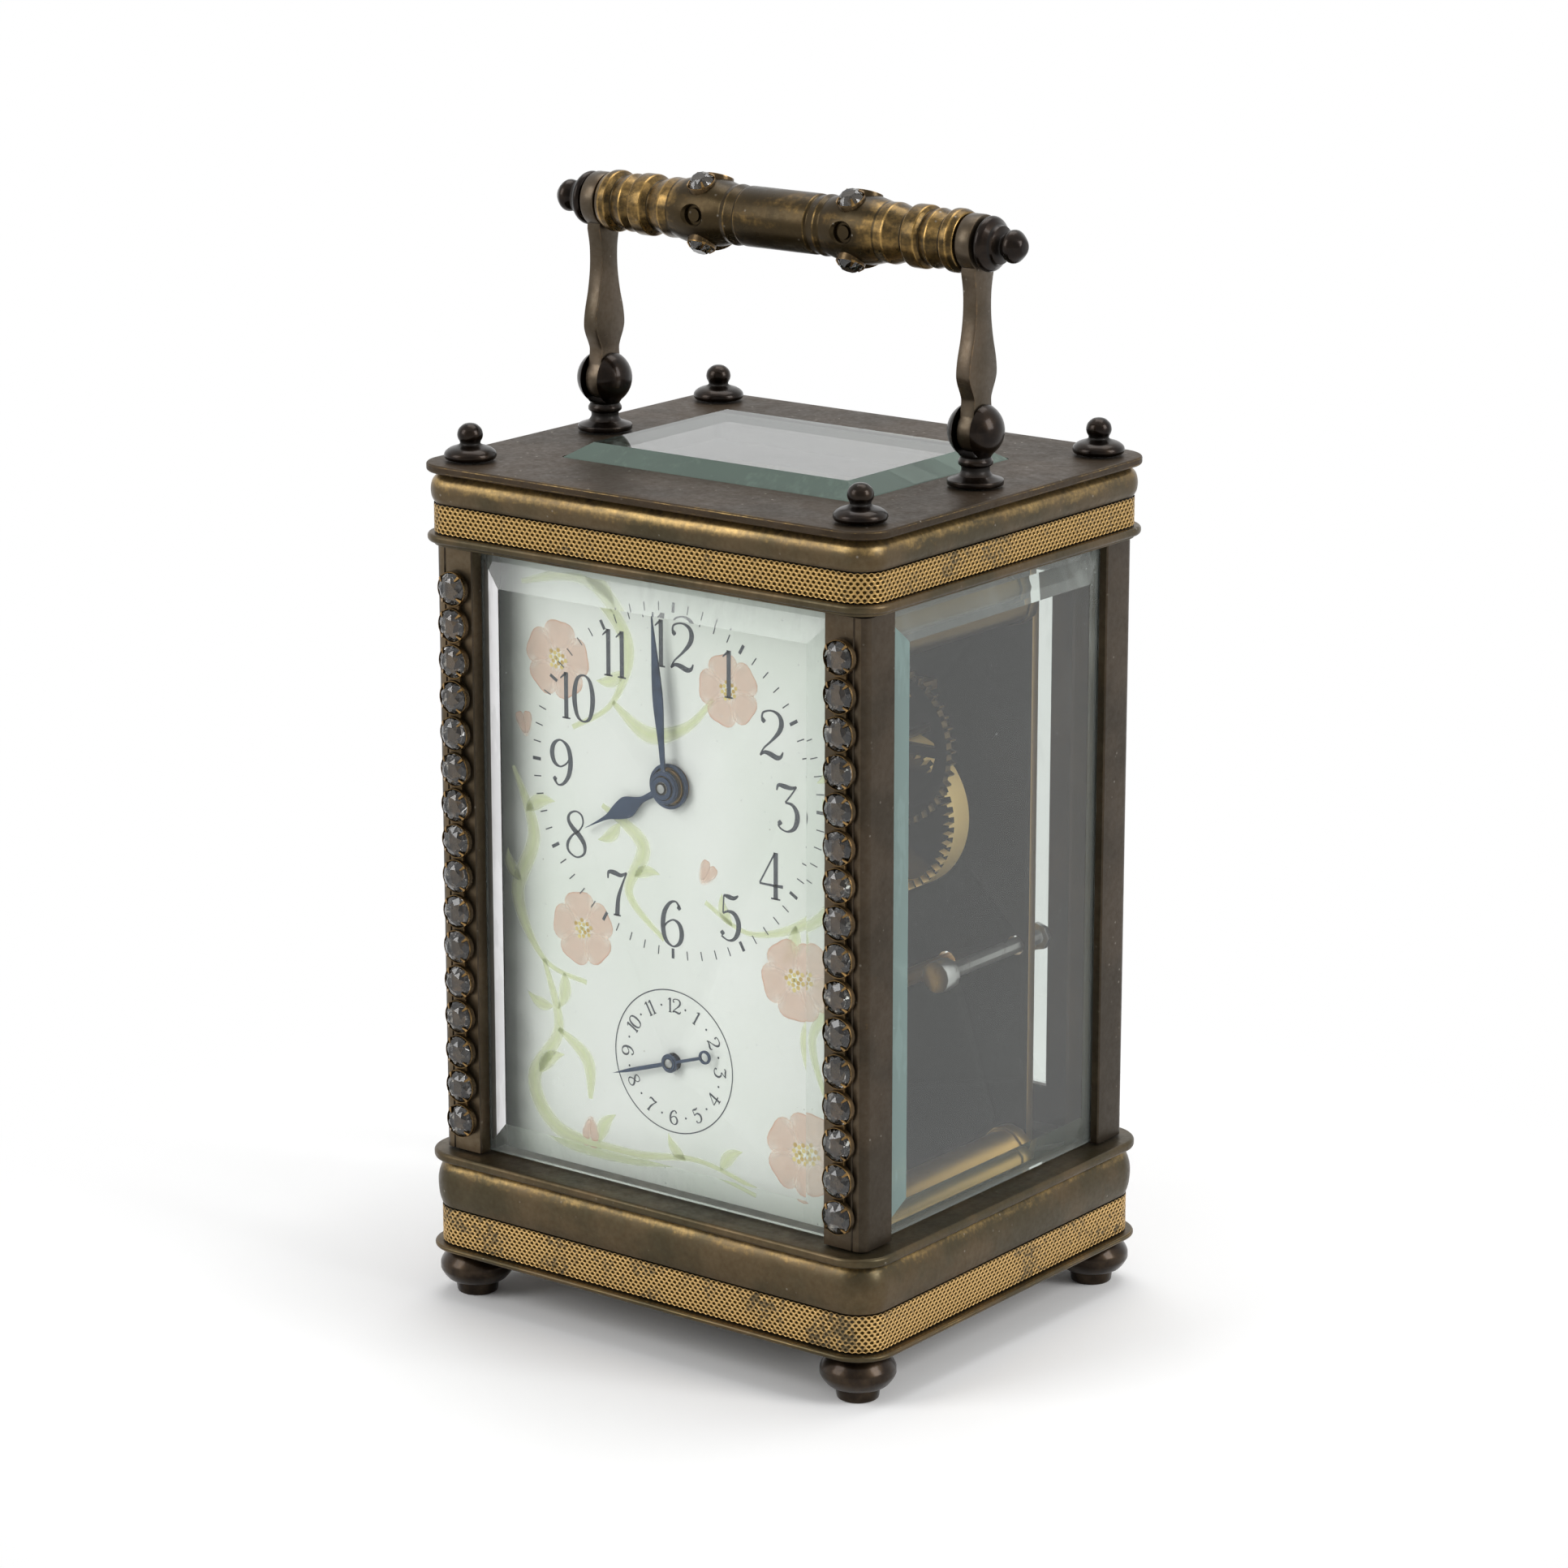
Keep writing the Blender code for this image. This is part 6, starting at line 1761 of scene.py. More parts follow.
@dataclass
class FeetAndFinials:
    """Bun feet under the corners and small turned knobs over them."""

    steps: int = 56
    bun_radius: float = 5.1

    def build(self) -> None:
        """Make the four of each."""
        for side in Side:
            for end in End:
                self.build_foot(f"foot_{end.word}_{side.word}")
                self.build_finial(f"finial_{end.word}_{side.word}")

    def stand(self, node: str, profile: Profile, base: float, finish: Finish) -> None:
        """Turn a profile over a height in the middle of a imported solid.

        Args:
            node: the solid it stands for.
            profile: (radius, height, wear).
            base: the height of its foot.
            finish: the finish.
        """
        low, high = extent(node)
        middle = (low + high) / 2
        draft = Draft().turned(profile, self.steps, Axis.Z, (middle.x, middle.y, base))
        settle(draft.piece(node + "_fine", finish), "case", "dark_bronze", node)

    def build_foot(self, node: str) -> None:
        """Make one foot: a small disc under a flattened ball.

        Args:
            node: the solid it stands for.
        """
        low, high = extent(node)
        top, radius = high.z, (high.x - low.x) / 2
        tier = 0.28 * (top + SEAT)
        disc = eased([(0.0, 0.0, 0), (2.8, 0.0, 0), (3.0, tier - 0.3, 0), (3.0, tier - 0.15, -0.9)], 0.3)
        bun = through([
            (3.0, tier - 0.15, -0.9), (4.1, tier + 0.2, -0.2),
            (self.bun_radius, tier + 0.36 * (top - tier), 0.1), (4.9, tier + 0.64 * (top - tier), 0.25),
            (3.7, top, 0.1),
        ], 6)
        scale = radius / self.bun_radius
        profile = [(0, 0.0, -0.3), *disc[1:], *bun, (0, top, 0)]
        self.stand(node, [(min(r * scale, radius), h, wear) for r, h, wear in profile], 0.0, FOOT_BRONZE)

    def build_finial(self, node: str) -> None:
        """Make one finial: a disc, a neck and a knob.

        Args:
            node: the solid it stands for.
        """
        foot = eased([(0, 0.3, 0), (3.35, 0.3, 0), (3.55, 0.75, 0)], 0.16, 0.4)
        neck = through([
            (3.55, 0.75, 0.1), (3.4, 1.25, 0.2), (2.75, 1.75, 0.1), (1.75, 2.1, -0.3), (1.4, 2.35, -0.8),
            (1.42, 2.65, -0.7), (1.65, 3.1, -0.1), (1.72, 3.65, 0.2), (1.5, 4.35, 0.3), (0.9, 4.9, 0.3),
            (0.4, 5.07, 0.3),
        ], 5)
        self.stand(node, [*foot, *neck[1:], (0, 5.1, 0.3)], extent("top_plate")[1].z, BRONZE)


@dataclass
class StoneChain:
    """A strip of claw-set stones up each front post."""

    cup_radius: float = 2.4
    cup_depth: float = 1.0
    girdle: float = 2.2
    table: float = 1.2
    height: float = 1.75
    culet: float = 0.22
    spacing: float = 5.03
    link_half: float = 0.9
    left_inset: float = 0.45
    chance: int = 7

    def cup(self, claws: int = 4) -> Draft:
        """Draft an open cup that looks along Z, with the claws it has left.

        Args:
            claws: how many claws it has left.

        Returns:
            The draft.
        """
        rim, r = self.cup_depth, self.cup_radius
        draft = Draft().turned([
            (0.0, 0.0, -0.3), (r - 0.25, 0.0, -0.6), (r, 0.25, -0.3), (r, rim - 0.25, 0.0),
            (r - 0.06, rim, 0.7), (r - 0.12, rim, 0.6), (self.girdle + 0.03, 0.7 * rim, -0.4),
            (0.0, 0.06, -0.6),
        ], 28)
        for i in range(claws):
            self.claw(draft, math.pi / 4 + i * math.pi / 2)
        return draft

    def foil(self) -> Draft:
        """Draft the thin cone of foil between a cup and its stone."""
        edge = 0.76 * self.cup_depth
        return Draft().turned([(0.0, 0.09), (self.girdle, edge - 0.04), (self.girdle, edge), (0.0, 0.13)], 16)

    def claw(self, draft: Draft, angle: float) -> None:
        """Add one pointed claw that leans over the stone, from its root over its shoulder to its tip.

        Args:
            draft: what the claw is added to.
            angle: its place round the cup, in radians.
        """
        way = Vector((math.cos(angle), math.sin(angle), 0.0))
        side = Vector((-way.y, way.x, 0.0))
        r, depth = self.cup_radius, self.cup_depth
        steps = ((r - 0.02, 0.6 * depth, 0.34), (r - 0.04, depth + 0.16, 0.2),
                 (0.5 * (self.table + self.girdle), self.height - 0.2, 0.08))
        outer, inner = [], []
        for reach, rise, half in steps:
            for sign in (-1, 1):
                outer.append(way * reach + side * (sign * half) + UP * rise)
                inner.append(way * (reach - 0.16) + side * (sign * half) + UP * (rise - 0.1))
        front, back = draft.ring(outer, wear=0.9), draft.ring(inner, wear=0.0)
        faces = []
        for a, b in ((0, 2), (2, 4)):
            faces += [
                (front[a], front[a + 1], front[b + 1], front[b]),
                (back[a], back[b], back[b + 1], back[a + 1]), (front[a], front[b], back[b], back[a]),
                (front[a + 1], back[a + 1], back[b + 1], front[b + 1]),
            ]
        faces += [(front[0], back[0], back[1], front[1]), (front[4], front[5], back[5], back[4])]
        for corners in faces:
            draft.work.faces.new(corners)

    def stone(self) -> Draft:
        """Draft a cut stone looking along Z: table, star, kite and girdle facets over a shallow pavilion.

        Returns:
            The draft.
        """
        draft = Draft()
        face = draft.work.faces.new

        def around(count: int, radius: float, rise: float, turn: float = 0.0) -> list:
            """Add a ring of corners."""
            return draft.ring([(x, y, rise) for x, y in circle(radius, count, turn=turn)])

        table = around(8, self.table, self.height)
        girdle = 0.8 * self.cup_depth
        shoulder = 0.5 * (self.table + self.girdle) + 0.08
        crown = around(8, shoulder, girdle + 0.66 * (self.height - girdle), math.pi / 8)
        upper = around(16, self.girdle, girdle + 0.12)
        lower = around(16, self.girdle, girdle)
        deep = around(8, 0.45 * self.girdle, self.culet + 0.45 * (girdle - self.culet))
        culet = draft.ring([(0.0, 0.0, self.culet)])[0]
        face(table)
        for i in range(8):
            j, k = (i + 1) % 8, 2 * i
            face((table[i], crown[i], table[j]))
            face((table[i], crown[i - 1], upper[k], crown[i]))
            face((crown[i], upper[k], upper[k + 1]))
            face((crown[i], upper[k + 1], upper[(k + 2) % 16]))
            face((deep[i], lower[k], lower[k - 1]))
            face((deep[i], lower[k + 1], lower[k]))
            face((deep[i], culet, deep[j], lower[k + 1]))
        draft.span(upper, lower)
        return draft

    def mark_facets(self, stones: Item) -> Item:
        """Leave each facet clear or tinted dark, painted reflection, by chance, in its own "wear", and return
        the stones.

        Args:
            stones: the cut stones.

        Returns:
            The same stones.
        """
        chance = random.Random(self.chance)
        marks = stones.data.attributes
        marks.remove(marks["wear"])
        levels = [chance.choice((-1.0, -0.6, 0.2, 0.6, 1.0)) for _ in stones.data.polygons]
        marks.new("wear", "FLOAT", "FACE").data.foreach_set("value", levels)
        return stones

    def build(self, tree: Growth) -> None:
        """Make both chains.

        Args:
            tree: the tree that sets copies in a row.
        """
        faced = Matrix.Rotation(math.pi / 2, 4, "X")
        cup = self.cup().moved(faced).piece("cup_shape")
        foil = self.foil().moved(faced).piece("foil_shape")
        stone = self.mark_facets(self.stone().moved(faced).piece("stone_shape", sharp=1.0))
        for side in Side:
            node = f"jewel_chain_{side.word}"
            low, high = extent(node)
            inward = self.left_inset if side is Side.LEFT else 0.0
            start = Vector(((low.x + high.x) / 2 + inward, high.y, low.z + self.cup_radius))
            length = high.z - low.z - 2 * self.cup_radius
            count = 1 + round(length / self.spacing)
            pitch = length / (count - 1)
            row = {"count": count, "pitch": pitch * MM, "start": start * MM}
            cups = tree.grow(node + "_cups", CLAW, shape=cup, spread=Vector((0.0, 0.12, 0.0)),
                             chance=self.chance, **row)
            settle(cups, "case", "gilt_brass", node)
            foils = tree.grow(node + "_foils", FOIL, shape=foil, spread=Vector((0.0, 0.39, 0.0)),
                              chance=self.chance, **row)
            settle(foils, "case", "gilt_brass")
            stones = tree.grow(node + "_stones", PASTE, 1.0, shape=stone, spread=Vector((0.06, 3.1, 0.06)),
                               chance=self.chance + side.value, **row)
            settle(stones, "case", "stone_settings")
            foot, head = start.z - 1.0, start.z + pitch * (count - 1) + 1.0
            strip = rectangle(self.link_half, (head - foot) / 2, (start.x, (head + foot) / 2))
            draft = Draft().slab(strip, start.y - 0.55, start.y - 0.05, Axis.Y, bevel=0.1)
            settle(draft.piece(node + "_strip", CLAW), "case", "gilt_brass")
        for shape in (cup, foil, stone):
            bpy.data.objects.remove(shape)


@dataclass
class Handle:
    """The folding handle: slotted balls, pins, baluster arms, turned bar and end knobs."""

    ball_radius: float = 3.8
    tongue_half: float = 1.15
    tongue_radius: float = 2.9
    eye_radius: float = 3.75
    eye_hole: float = 2.05
    pin_hole: float = 0.8
    collar_x: float = 12.4
    seat_rise: float = 3.5
    steps: int = 64
    rubbed_ends: float = 0.55
    rubbed_middle: float = 0.3
    turning: tuple = (
        (4.05, 0.195), (3.8, 0.205), (4.15, 0.25), (3.9, 0.276), (4.5, 0.35), (4.5, 0.505), (4.0, 0.576),
        (4.1, 0.626), (3.3, 0.707), (4.2, 0.731), (4.2, 0.798), (3.5, 0.811), (4.0, 0.855), (3.4, 0.916),
        (4.2, 0.936), (4.2, 0.97), (3.8, 1.0),
    )
    baluster: tuple = (
        (1.95, 0.16), (2.2, 0.20), (2.9, 0.26), (3.15, 0.31), (2.9, 0.39), (2.2, 0.50), (1.75, 0.62),
        (1.75, 0.74), (2.2, 0.84),
    )

    def __post_init__(self) -> None:
        """Read the pivots and the bar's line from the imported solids."""
        low, high = extent("handle_pin_right")
        self.pivot = Vector(((low.x + high.x) / 2, 0.0, (low.z + high.z) / 2))
        low, high = extent("handle_arm_right")
        self.arm_in = low.x
        self.bar_z = high.z - self.eye_radius
        self.length = self.bar_z - self.pivot.z

    def build_post(self, side: Side) -> None:
        """Make one ball on its neck, cut for the arm and bored for the pin, and the pin.

        Args:
            side: its side.
        """
        base = extent("top_plate")[1].z
        rise, r = self.pivot.z - base, self.ball_radius
        neck = eased([(0, 0.3, 0), (3.75, 0.3, 0), (3.75, 1.0, 0), (2.3, 1.5, -0.3)], 0.18, 0.5)[:-1]
        neck += through([(2.3, 1.5, -0.3), (1.9, 2.1, -0.7), (1.9, 2.7, -0.7)], 4)
        neck += eased([(1.9, 2.7, -0.5), (2.3, 3.0, 0.1), (2.3, 3.5, -0.2), (2.0, 3.95, -0.8)], 0.14, 0.5)[1:]
        start = -math.acos(2.0 / r)
        turns = [start + (math.pi / 2 - start) * i / 24 for i in range(1, 24)]
        ball = [(r * math.cos(a), rise + r * math.sin(a), 0.1 + 0.25 * math.sin(a)) for a in turns]
        node, pin_node = f"handle_post_{side.word}", f"handle_pin_{side.word}"
        x = side.value * self.pivot.x
        draft = Draft().turned([*neck, *ball, (0, rise + r, 0.3)], self.steps, Axis.Z, (x, 0.0, base))
        post = draft.piece(node + "_fine", BRONZE)
        floor = self.pivot.z - self.tongue_radius - SEAT
        slot = rectangle(self.tongue_half + SEAT, 2 * r, (x, 0.0))
        cut(post, Draft().stacked([(slot, floor, -0.6), (slot, floor + 12.0, -0.6)]).piece("slot", BRONZE))
        low, high = extent(pin_node)
        radius, half = (high.z - low.z) / 2, (high.x - low.x) / 2
        bore, reach = circle(self.pin_hole, 28, (0.0, self.pivot.z)), half + 0.05
        draft = Draft().stacked([(bore, x - reach, -0.6), (bore, x + reach, -0.6)], Axis.X)
        cut(post, draft.piece("bore", BRONZE))
        settle(post, "case", "dark_bronze", node)
        pin = eased([(0, -half, 0), (radius, -half, 0), (radius, half, 0), (0, half, 0)], 0.2, 0.3, 4)
        draft = Draft().turned(pin, 28, Axis.X, (x, 0.0, self.pivot.z))
        settle(draft.piece(pin_node + "_fine", BRONZE), "case", "steel", pin_node)

    def arm_outline(self) -> Loop:
        """Return an arm's outline from its pivot's left side round to it again, counter-clockwise."""
        start = math.radians(50)
        turns = [start + (2 * math.pi - 2 * start) * i / 22 for i in range(23)]
        foot = [(-self.tongue_radius * math.sin(a), self.tongue_radius * math.cos(a)) for a in turns]
        rising = [(half, share * self.length) for half, share in self.baluster]
        side = through([foot[-1], *rising])[1:]
        begin = math.radians(-55)
        turns = [begin + (math.pi - 2 * begin) * i / 30 for i in range(31)]
        eye = [(self.eye_radius * math.cos(a), self.length + self.eye_radius * math.sin(a)) for a in turns]
        return foot + side + eye + [(-x, z) for x, z in reversed(side)]

    def build_arm(self, side: Side) -> None:
        """Make one flat arm with softened edges.

        Args:
            side: its side.
        """
        node = f"handle_arm_{side.word}"
        holes = [circle(self.pin_hole, 28), circle(self.eye_hole, 40, (0.0, self.length))]
        place = (side.value * self.pivot.x, 0.0, self.pivot.z)
        half = self.tongue_half
        draft = Draft().slab(self.arm_outline(), -half, half, Axis.X, holes, 0.26, place, 1.0)
        settle(draft.piece(node + "_fine", ARM_PATINA), "handle", "patinated_brass", node)

    def bar_profile(self) -> Profile:
        """Return the bar's turned profile from its left spigot to its right one."""
        half = self.arm_in - SEAT
        spigot = extent("handle_bar")[1].x
        right = [(radius, share * half, self.rubbed_ends if share > 0.55 else self.rubbed_middle)
                 for radius, share in self.turning]
        right += [(1.8, half, 0.0), (1.8, spigot, 0.0), (0, spigot, 0.0)]
        left = [(radius, -x, wear) for radius, x, wear in reversed(right)]
        return eased(left + right, 0.22, 0.3)

    def build_bar(self) -> None:
        """Make the bar, its two countersunk pits, and the set stones and empty cups round its collars."""
        draft = Draft().turned(self.bar_profile(), self.steps, Axis.X, (0.0, 0.0, self.bar_z))
        bar = draft.piece("handle_bar_fine", BAR_GILT, sharp=30.0)
        cups, foils, stones = Draft(), Draft(), Draft()
        chain = StoneChain(cup_radius=2.0, girdle=1.85, table=1.0, height=2.3, cup_depth=1.4)
        for x in (-self.collar_x, self.collar_x):
            pit = Draft().turned([
                (0, 3.95, 0.3), (0.9, 3.95, 0.2), (1.0, 3.6, -1.0), (1.3, 3.6, -1.0), (1.42, 4.1, -0.7),
                (1.8, 4.47, 0.3), (1.85, 5.5, 0.3), (0, 5.5, 0),
            ], 36)
            cut(bar, pit.moved(self.on_bar(x, 0.0)).piece("cutter", BAR_GILT), 30.0)
            for angle in (62, 112, -62, -112):
                seat = self.on_bar(x, angle) @ Matrix.Translation((0.0, 0.0, self.seat_rise))
                filled = abs(angle) < 90
                self.add_moved(cups, chain.cup(4 if filled else 0), seat)
                if filled:
                    self.add_moved(foils, chain.foil(), seat)
                    self.add_moved(stones, chain.stone(), seat)
        settle(bar, "handle", "gilt_brass", "handle_bar")
        settle(cups.piece("handle_cups", CLAW), "handle", "gilt_brass")
        settle(foils.piece("handle_foils", BRIGHT_FOIL), "handle", "gilt_brass")
        marked = chain.mark_facets(stones.piece("handle_stones", CLEAR_PASTE, sharp=1.0))
        settle(marked, "handle", "stone_settings")

    def on_bar(self, x: float, angle: float) -> Matrix:
        """Return the matrix from Z to a place along the bar, at an angle from the front."""
        return Matrix.Translation((x, 0.0, self.bar_z)) @ Matrix.Rotation(math.radians(90 - angle), 4, "X")

    @staticmethod
    def add_moved(target: Draft, shape: Draft, matrix: Matrix) -> None:
        """Add a moved copy of one draft to another.

        Args:
            target: what the copy is added to.
            shape: the draft to copy, which is dropped.
            matrix: the matrix, in millimetres.
        """
        shape.moved(matrix)
        mesh = bpy.data.meshes.new("part")
        shape.work.to_mesh(mesh)
        shape.work.free()
        target.work.from_mesh(mesh)
        bpy.data.meshes.remove(mesh)

    def build_knob(self, side: Side) -> None:
        """Make the turned knob outside one arm.

        Args:
            side: its side.
        """
        node = f"handle_knob_{side.word}"
        body = eased([
            (0, 0.0, 0), (3.4, 0.0, 0), (3.7, 0.5, 0.1), (3.5, 1.1, 0), (2.6, 1.8, -0.4), (2.5, 2.3, 0),
        ], 0.3, 0.4)[:-1]
        ball = through([
            (2.5, 2.3, -0.2), (1.5, 2.75, -0.7), (1.6, 3.1, -0.3), (2.1, 3.7, 0.1), (2.1, 4.6, 0.2),
            (1.1, 5.7, 0.3), (0.4, 5.88, 0.3),
        ])
        place = (side.value * extent("handle_knob_right")[0].x, 0.0, self.bar_z)
        draft = Draft().turned([*body, *ball, (0, 5.9, 0.3)], self.steps, Axis.X, place, side is Side.LEFT)
        settle(draft.piece(node + "_fine", BRONZE), "handle", "dark_bronze", node)

    def build(self) -> None:
        """Make every piece of the handle."""
        for side in Side:
            self.build_post(side)
        for side in Side:
            self.build_arm(side)
        self.build_bar()
        for side in Side:
            self.build_knob(side)


Stroke = list[tuple[float, ...]]


def strokes(*given: Sequence[Sequence[int]]) -> list[Stroke]:
    """Read strokes of (across, up, half the brush's width), in thousandths of a figure's height."""
    return [[tuple(number / 1000 for number in point) for point in stroke] for stroke in given]


def upright(x: int) -> list[tuple[int, int, int]]:
    """Return a figure's straight stem."""
    return [(x, 0, 50), (x, 500, 48), (x, 1000, 50)]


def serif(x: int, half: int) -> list[tuple[int, int, int]]:
    """Return the thin line under a stem."""
    return [(x - half, 12, 10), (x, 14, 14), (x + half, 12, 10)]


def curl(x: int, z: int, half: int, wide: int) -> list[tuple[int, int, int]]:
    """Return the round end of a curl."""
    return [(x, z + half, 0), (x, z, wide), (x, z - half, 0)]


SIX = strokes(
    [(160, 880, 30), (70, 985, 14), (-70, 930, 30), (-200, 720, 50), (-240, 420, 56), (-180, 130, 45),
     (0, 0, 14), (160, 100, 40), (215, 300, 54), (160, 500, 42), (20, 580, 14), (-130, 500, 14),
     (-200, 400, 12)],
    curl(150, 860, 55, 52),
)
FIGURES: dict[str, list[Stroke]] = {
    "0": strokes(
        [(0, 1000, 13), (-160, 880, 40), (-225, 500, 58), (-160, 120, 40), (0, 0, 13), (160, 120, 40),
         (225, 500, 58), (160, 880, 40), (0, 1000, 13)],
    ),
    "1": strokes(upright(0), [(-140, 850, 8), (-70, 920, 16), (0, 980, 22)], serif(0, 100)),
    "2": strokes(
        [(-220, 790, 20), (-190, 930, 16), (0, 995, 14), (170, 930, 36), (235, 770, 55), (180, 580, 45),
         (0, 360, 20), (-170, 190, 13), (-260, 30, 12)],
        [(-260, 20, 12), (-160, 100, 30), (-20, 80, 50), (120, 30, 50), (220, 60, 30), (270, 170, 10)],
        curl(-185, 765, 60, 55),
    ),
    "3": strokes(
        [(-240, 840, 10), (-200, 955, 28), (-60, 950, 46), (100, 940, 34), (220, 985, 12)],
        [(220, 985, 12), (100, 800, 12), (-40, 615, 13)],
        [(-40, 610, 13), (120, 590, 30), (225, 450, 52), (235, 270, 56), (160, 90, 40), (0, 5, 14),
         (-150, 50, 14), (-210, 130, 16)],
        curl(-165, 165, 60, 56),
    ),
    "4": strokes(
        upright(100), [(80, 990, 14), (-100, 640, 12), (-270, 310, 13)],
        [(-280, 290, 16), (0, 290, 20), (270, 300, 30)], serif(100, 110),
    ),
    "5": strokes(
        [(-130, 960, 12), (-20, 940, 45), (110, 930, 36), (210, 1000, 12)],
        [(-130, 960, 12), (-140, 770, 12), (-150, 570, 13)],
        [(-150, 560, 12), (-30, 625, 22), (120, 590, 45), (215, 420, 55), (200, 200, 52), (100, 40, 30),
         (-40, 0, 13), (-190, 70, 16)],
        curl(-165, 140, 60, 55),
    ),
    "6": SIX,
    "7": strokes(
        [(-220, 780, 10), (-200, 920, 30), (-60, 930, 50), (100, 900, 36), (240, 980, 12)],
        [(235, 970, 12), (120, 680, 22), (30, 380, 44), (0, 0, 55)],
        serif(0, 90),
    ),
    "8": strokes(
        [(0, 1000, 13), (-150, 930, 22), (-190, 780, 36), (-80, 620, 50), (80, 480, 56), (200, 300, 45),
         (185, 100, 22), (0, 0, 13), (-190, 100, 22), (-215, 270, 30), (-100, 460, 18), (60, 580, 13),
         (165, 750, 14), (140, 930, 18), (0, 1000, 13)],
    ),
    "9": [[(-x, 1.0 - y, half) for x, y, half in stroke] for stroke in SIX],
}
GAPS = {"10": 0.47, "11": 0.36, "12": 0.55}


class Brush:
    """Paints ribbons and patches that lie just over the dial's glaze."""

    nib: ClassVar[float] = 0.04
    coat: ClassVar[float] = 0.0002
    full: ClassVar[Profile] = ((-1, 1, 0.4), (1, 1, 0.4))
    soft: ClassVar[Profile] = ((-1, 0, 0.1), (-0.6, 0.7, 0.2), (0, 0.95, 0.6), (0.6, 0.7, 0.2), (1, 0, 0.1))

    def __init__(self, front: float) -> None:
        """Start with nothing painted and with the paint's place along Y."""
        self.draft = Draft("cover", "shade")
        self.front = front

    def spot(self, x: float, z: float, cover: float = 1.0, shade: float = 0.0) -> list:
        """Add one painted point and return it in a list."""
        return self.draft.ring([(x, self.front, z)], cover=cover, shade=shade)

    def ribbon(self, path: Sequence[Sequence[float]], across: Sequence[Sequence[float]]) -> None:
        """Paint along a path.

        Args:
            path: (across, up, half width) points.
            across: (share of the half width, cover, shade) from one side to the other.
        """
        closed = (Vector(path[0][:2]) - Vector(path[-1][:2])).length < 1e-6
        spots = path[:-1] if closed else path
        rows = []
        for i, (x, z, half) in enumerate(spots):
            before = spots[i - 1] if closed or i else spots[0]
            after = spots[(i + 1) % len(spots)] if closed or i + 1 < len(spots) else spots[-1]
            way = (Vector(after[:2]) - Vector(before[:2])).normalized()
            row = []
            for share, cover, shade in across:
                row += self.spot(x - way.y * half * share, z + way.x * half * share, cover, shade)
            rows.append(row)
        if closed:
            rows.append(rows[0])
        for a, b in zip(rows, rows[1:]):
            self.draft.span(a, b, closed=False)

    def figure(self, text: str, at: Point, height: float, turn: float = 0.0, wide: float = 1.1) -> None:
        """Paint a number.

        Args:
            text: its figures.
            at: its middle.
            height: how tall it is.
            turn: how far it is turned clockwise, in radians.
            wide: how much wider its figures are than drawn.
        """
        for i, letter in enumerate(text):
            shift = (i - (len(text) - 1) / 2) * GAPS.get(text, 0.0)
            for stroke in FIGURES[letter]:
                smooth = through(stroke)
                if stroke[0] == stroke[-1]:
                    smooth = through([stroke[-2], *stroke, stroke[1]])[5:-5]
                moved = []
                for u, v, half in smooth:
                    u, v = (u * wide + shift) * height, (v - 0.5) * height
                    x = at[0] + u * math.cos(turn) + v * math.sin(turn)
                    z = at[1] - u * math.sin(turn) + v * math.cos(turn)
                    moved.append((x, z, half * height + self.nib))
                self.ribbon(moved, self.full)

    def petal(self, at: Point, way: float, length: float, width: float) -> None:
        """Paint one notched petal from its root at a place.

        Args:
            at: its root.
            way: its direction in radians, counter-clockwise from across.
            length: its length.
            width: its greatest width.
        """
        count = 22
        steps = ((0.0, 0.8, 0.25), (0.5, 0.75, 0.0), (0.84, 0.8, 0.15), (0.94, 0.85, 0.75), (1.0, 0.0, 0.5))
        rings = []
        for share, cover, shade in steps:
            ring = []
            for a in (2 * math.pi * i / count for i in range(count if share else 1)):
                notch = 0.06 * math.exp(-(math.sin(a / 2) * 5.0) ** 2)
                u = 0.56 + (0.46 - notch) * math.cos(a) * share
                v = 0.5 * math.sin(a) * (0.62 + 0.38 * u) * share
                x, z = u * length, v * width
                outer = 0.3 + 0.7 * max(0.0, math.cos(a))
                across = at[0] + x * math.cos(way) - z * math.sin(way)
                up = at[1] + x * math.sin(way) + z * math.cos(way)
                ring += self.spot(across, up, cover * (outer if share > 0.6 else 1.0), shade * outer)
            rings.append(ring)
        for a, b in zip(rings, rings[1:]):
            self.draft.span(a, b)
        self.front -= self.coat

    def dot(self, at: Point, radius: float, shade: float = 0.3) -> None:
        """Paint a round dot."""
        edge = [(x, self.front, z) for x, z in circle(radius, 12, at)]
        self.draft.span(self.spot(*at, 1.0, shade), self.draft.ring(edge, cover=1.0, shade=shade))

    def piece(self, name: str, finish: Finish) -> None:
        """Close the painting and let it ride with the dial."""
        settle(self.draft.piece(name, finish, face=FORWARD), "case", "porcelain")


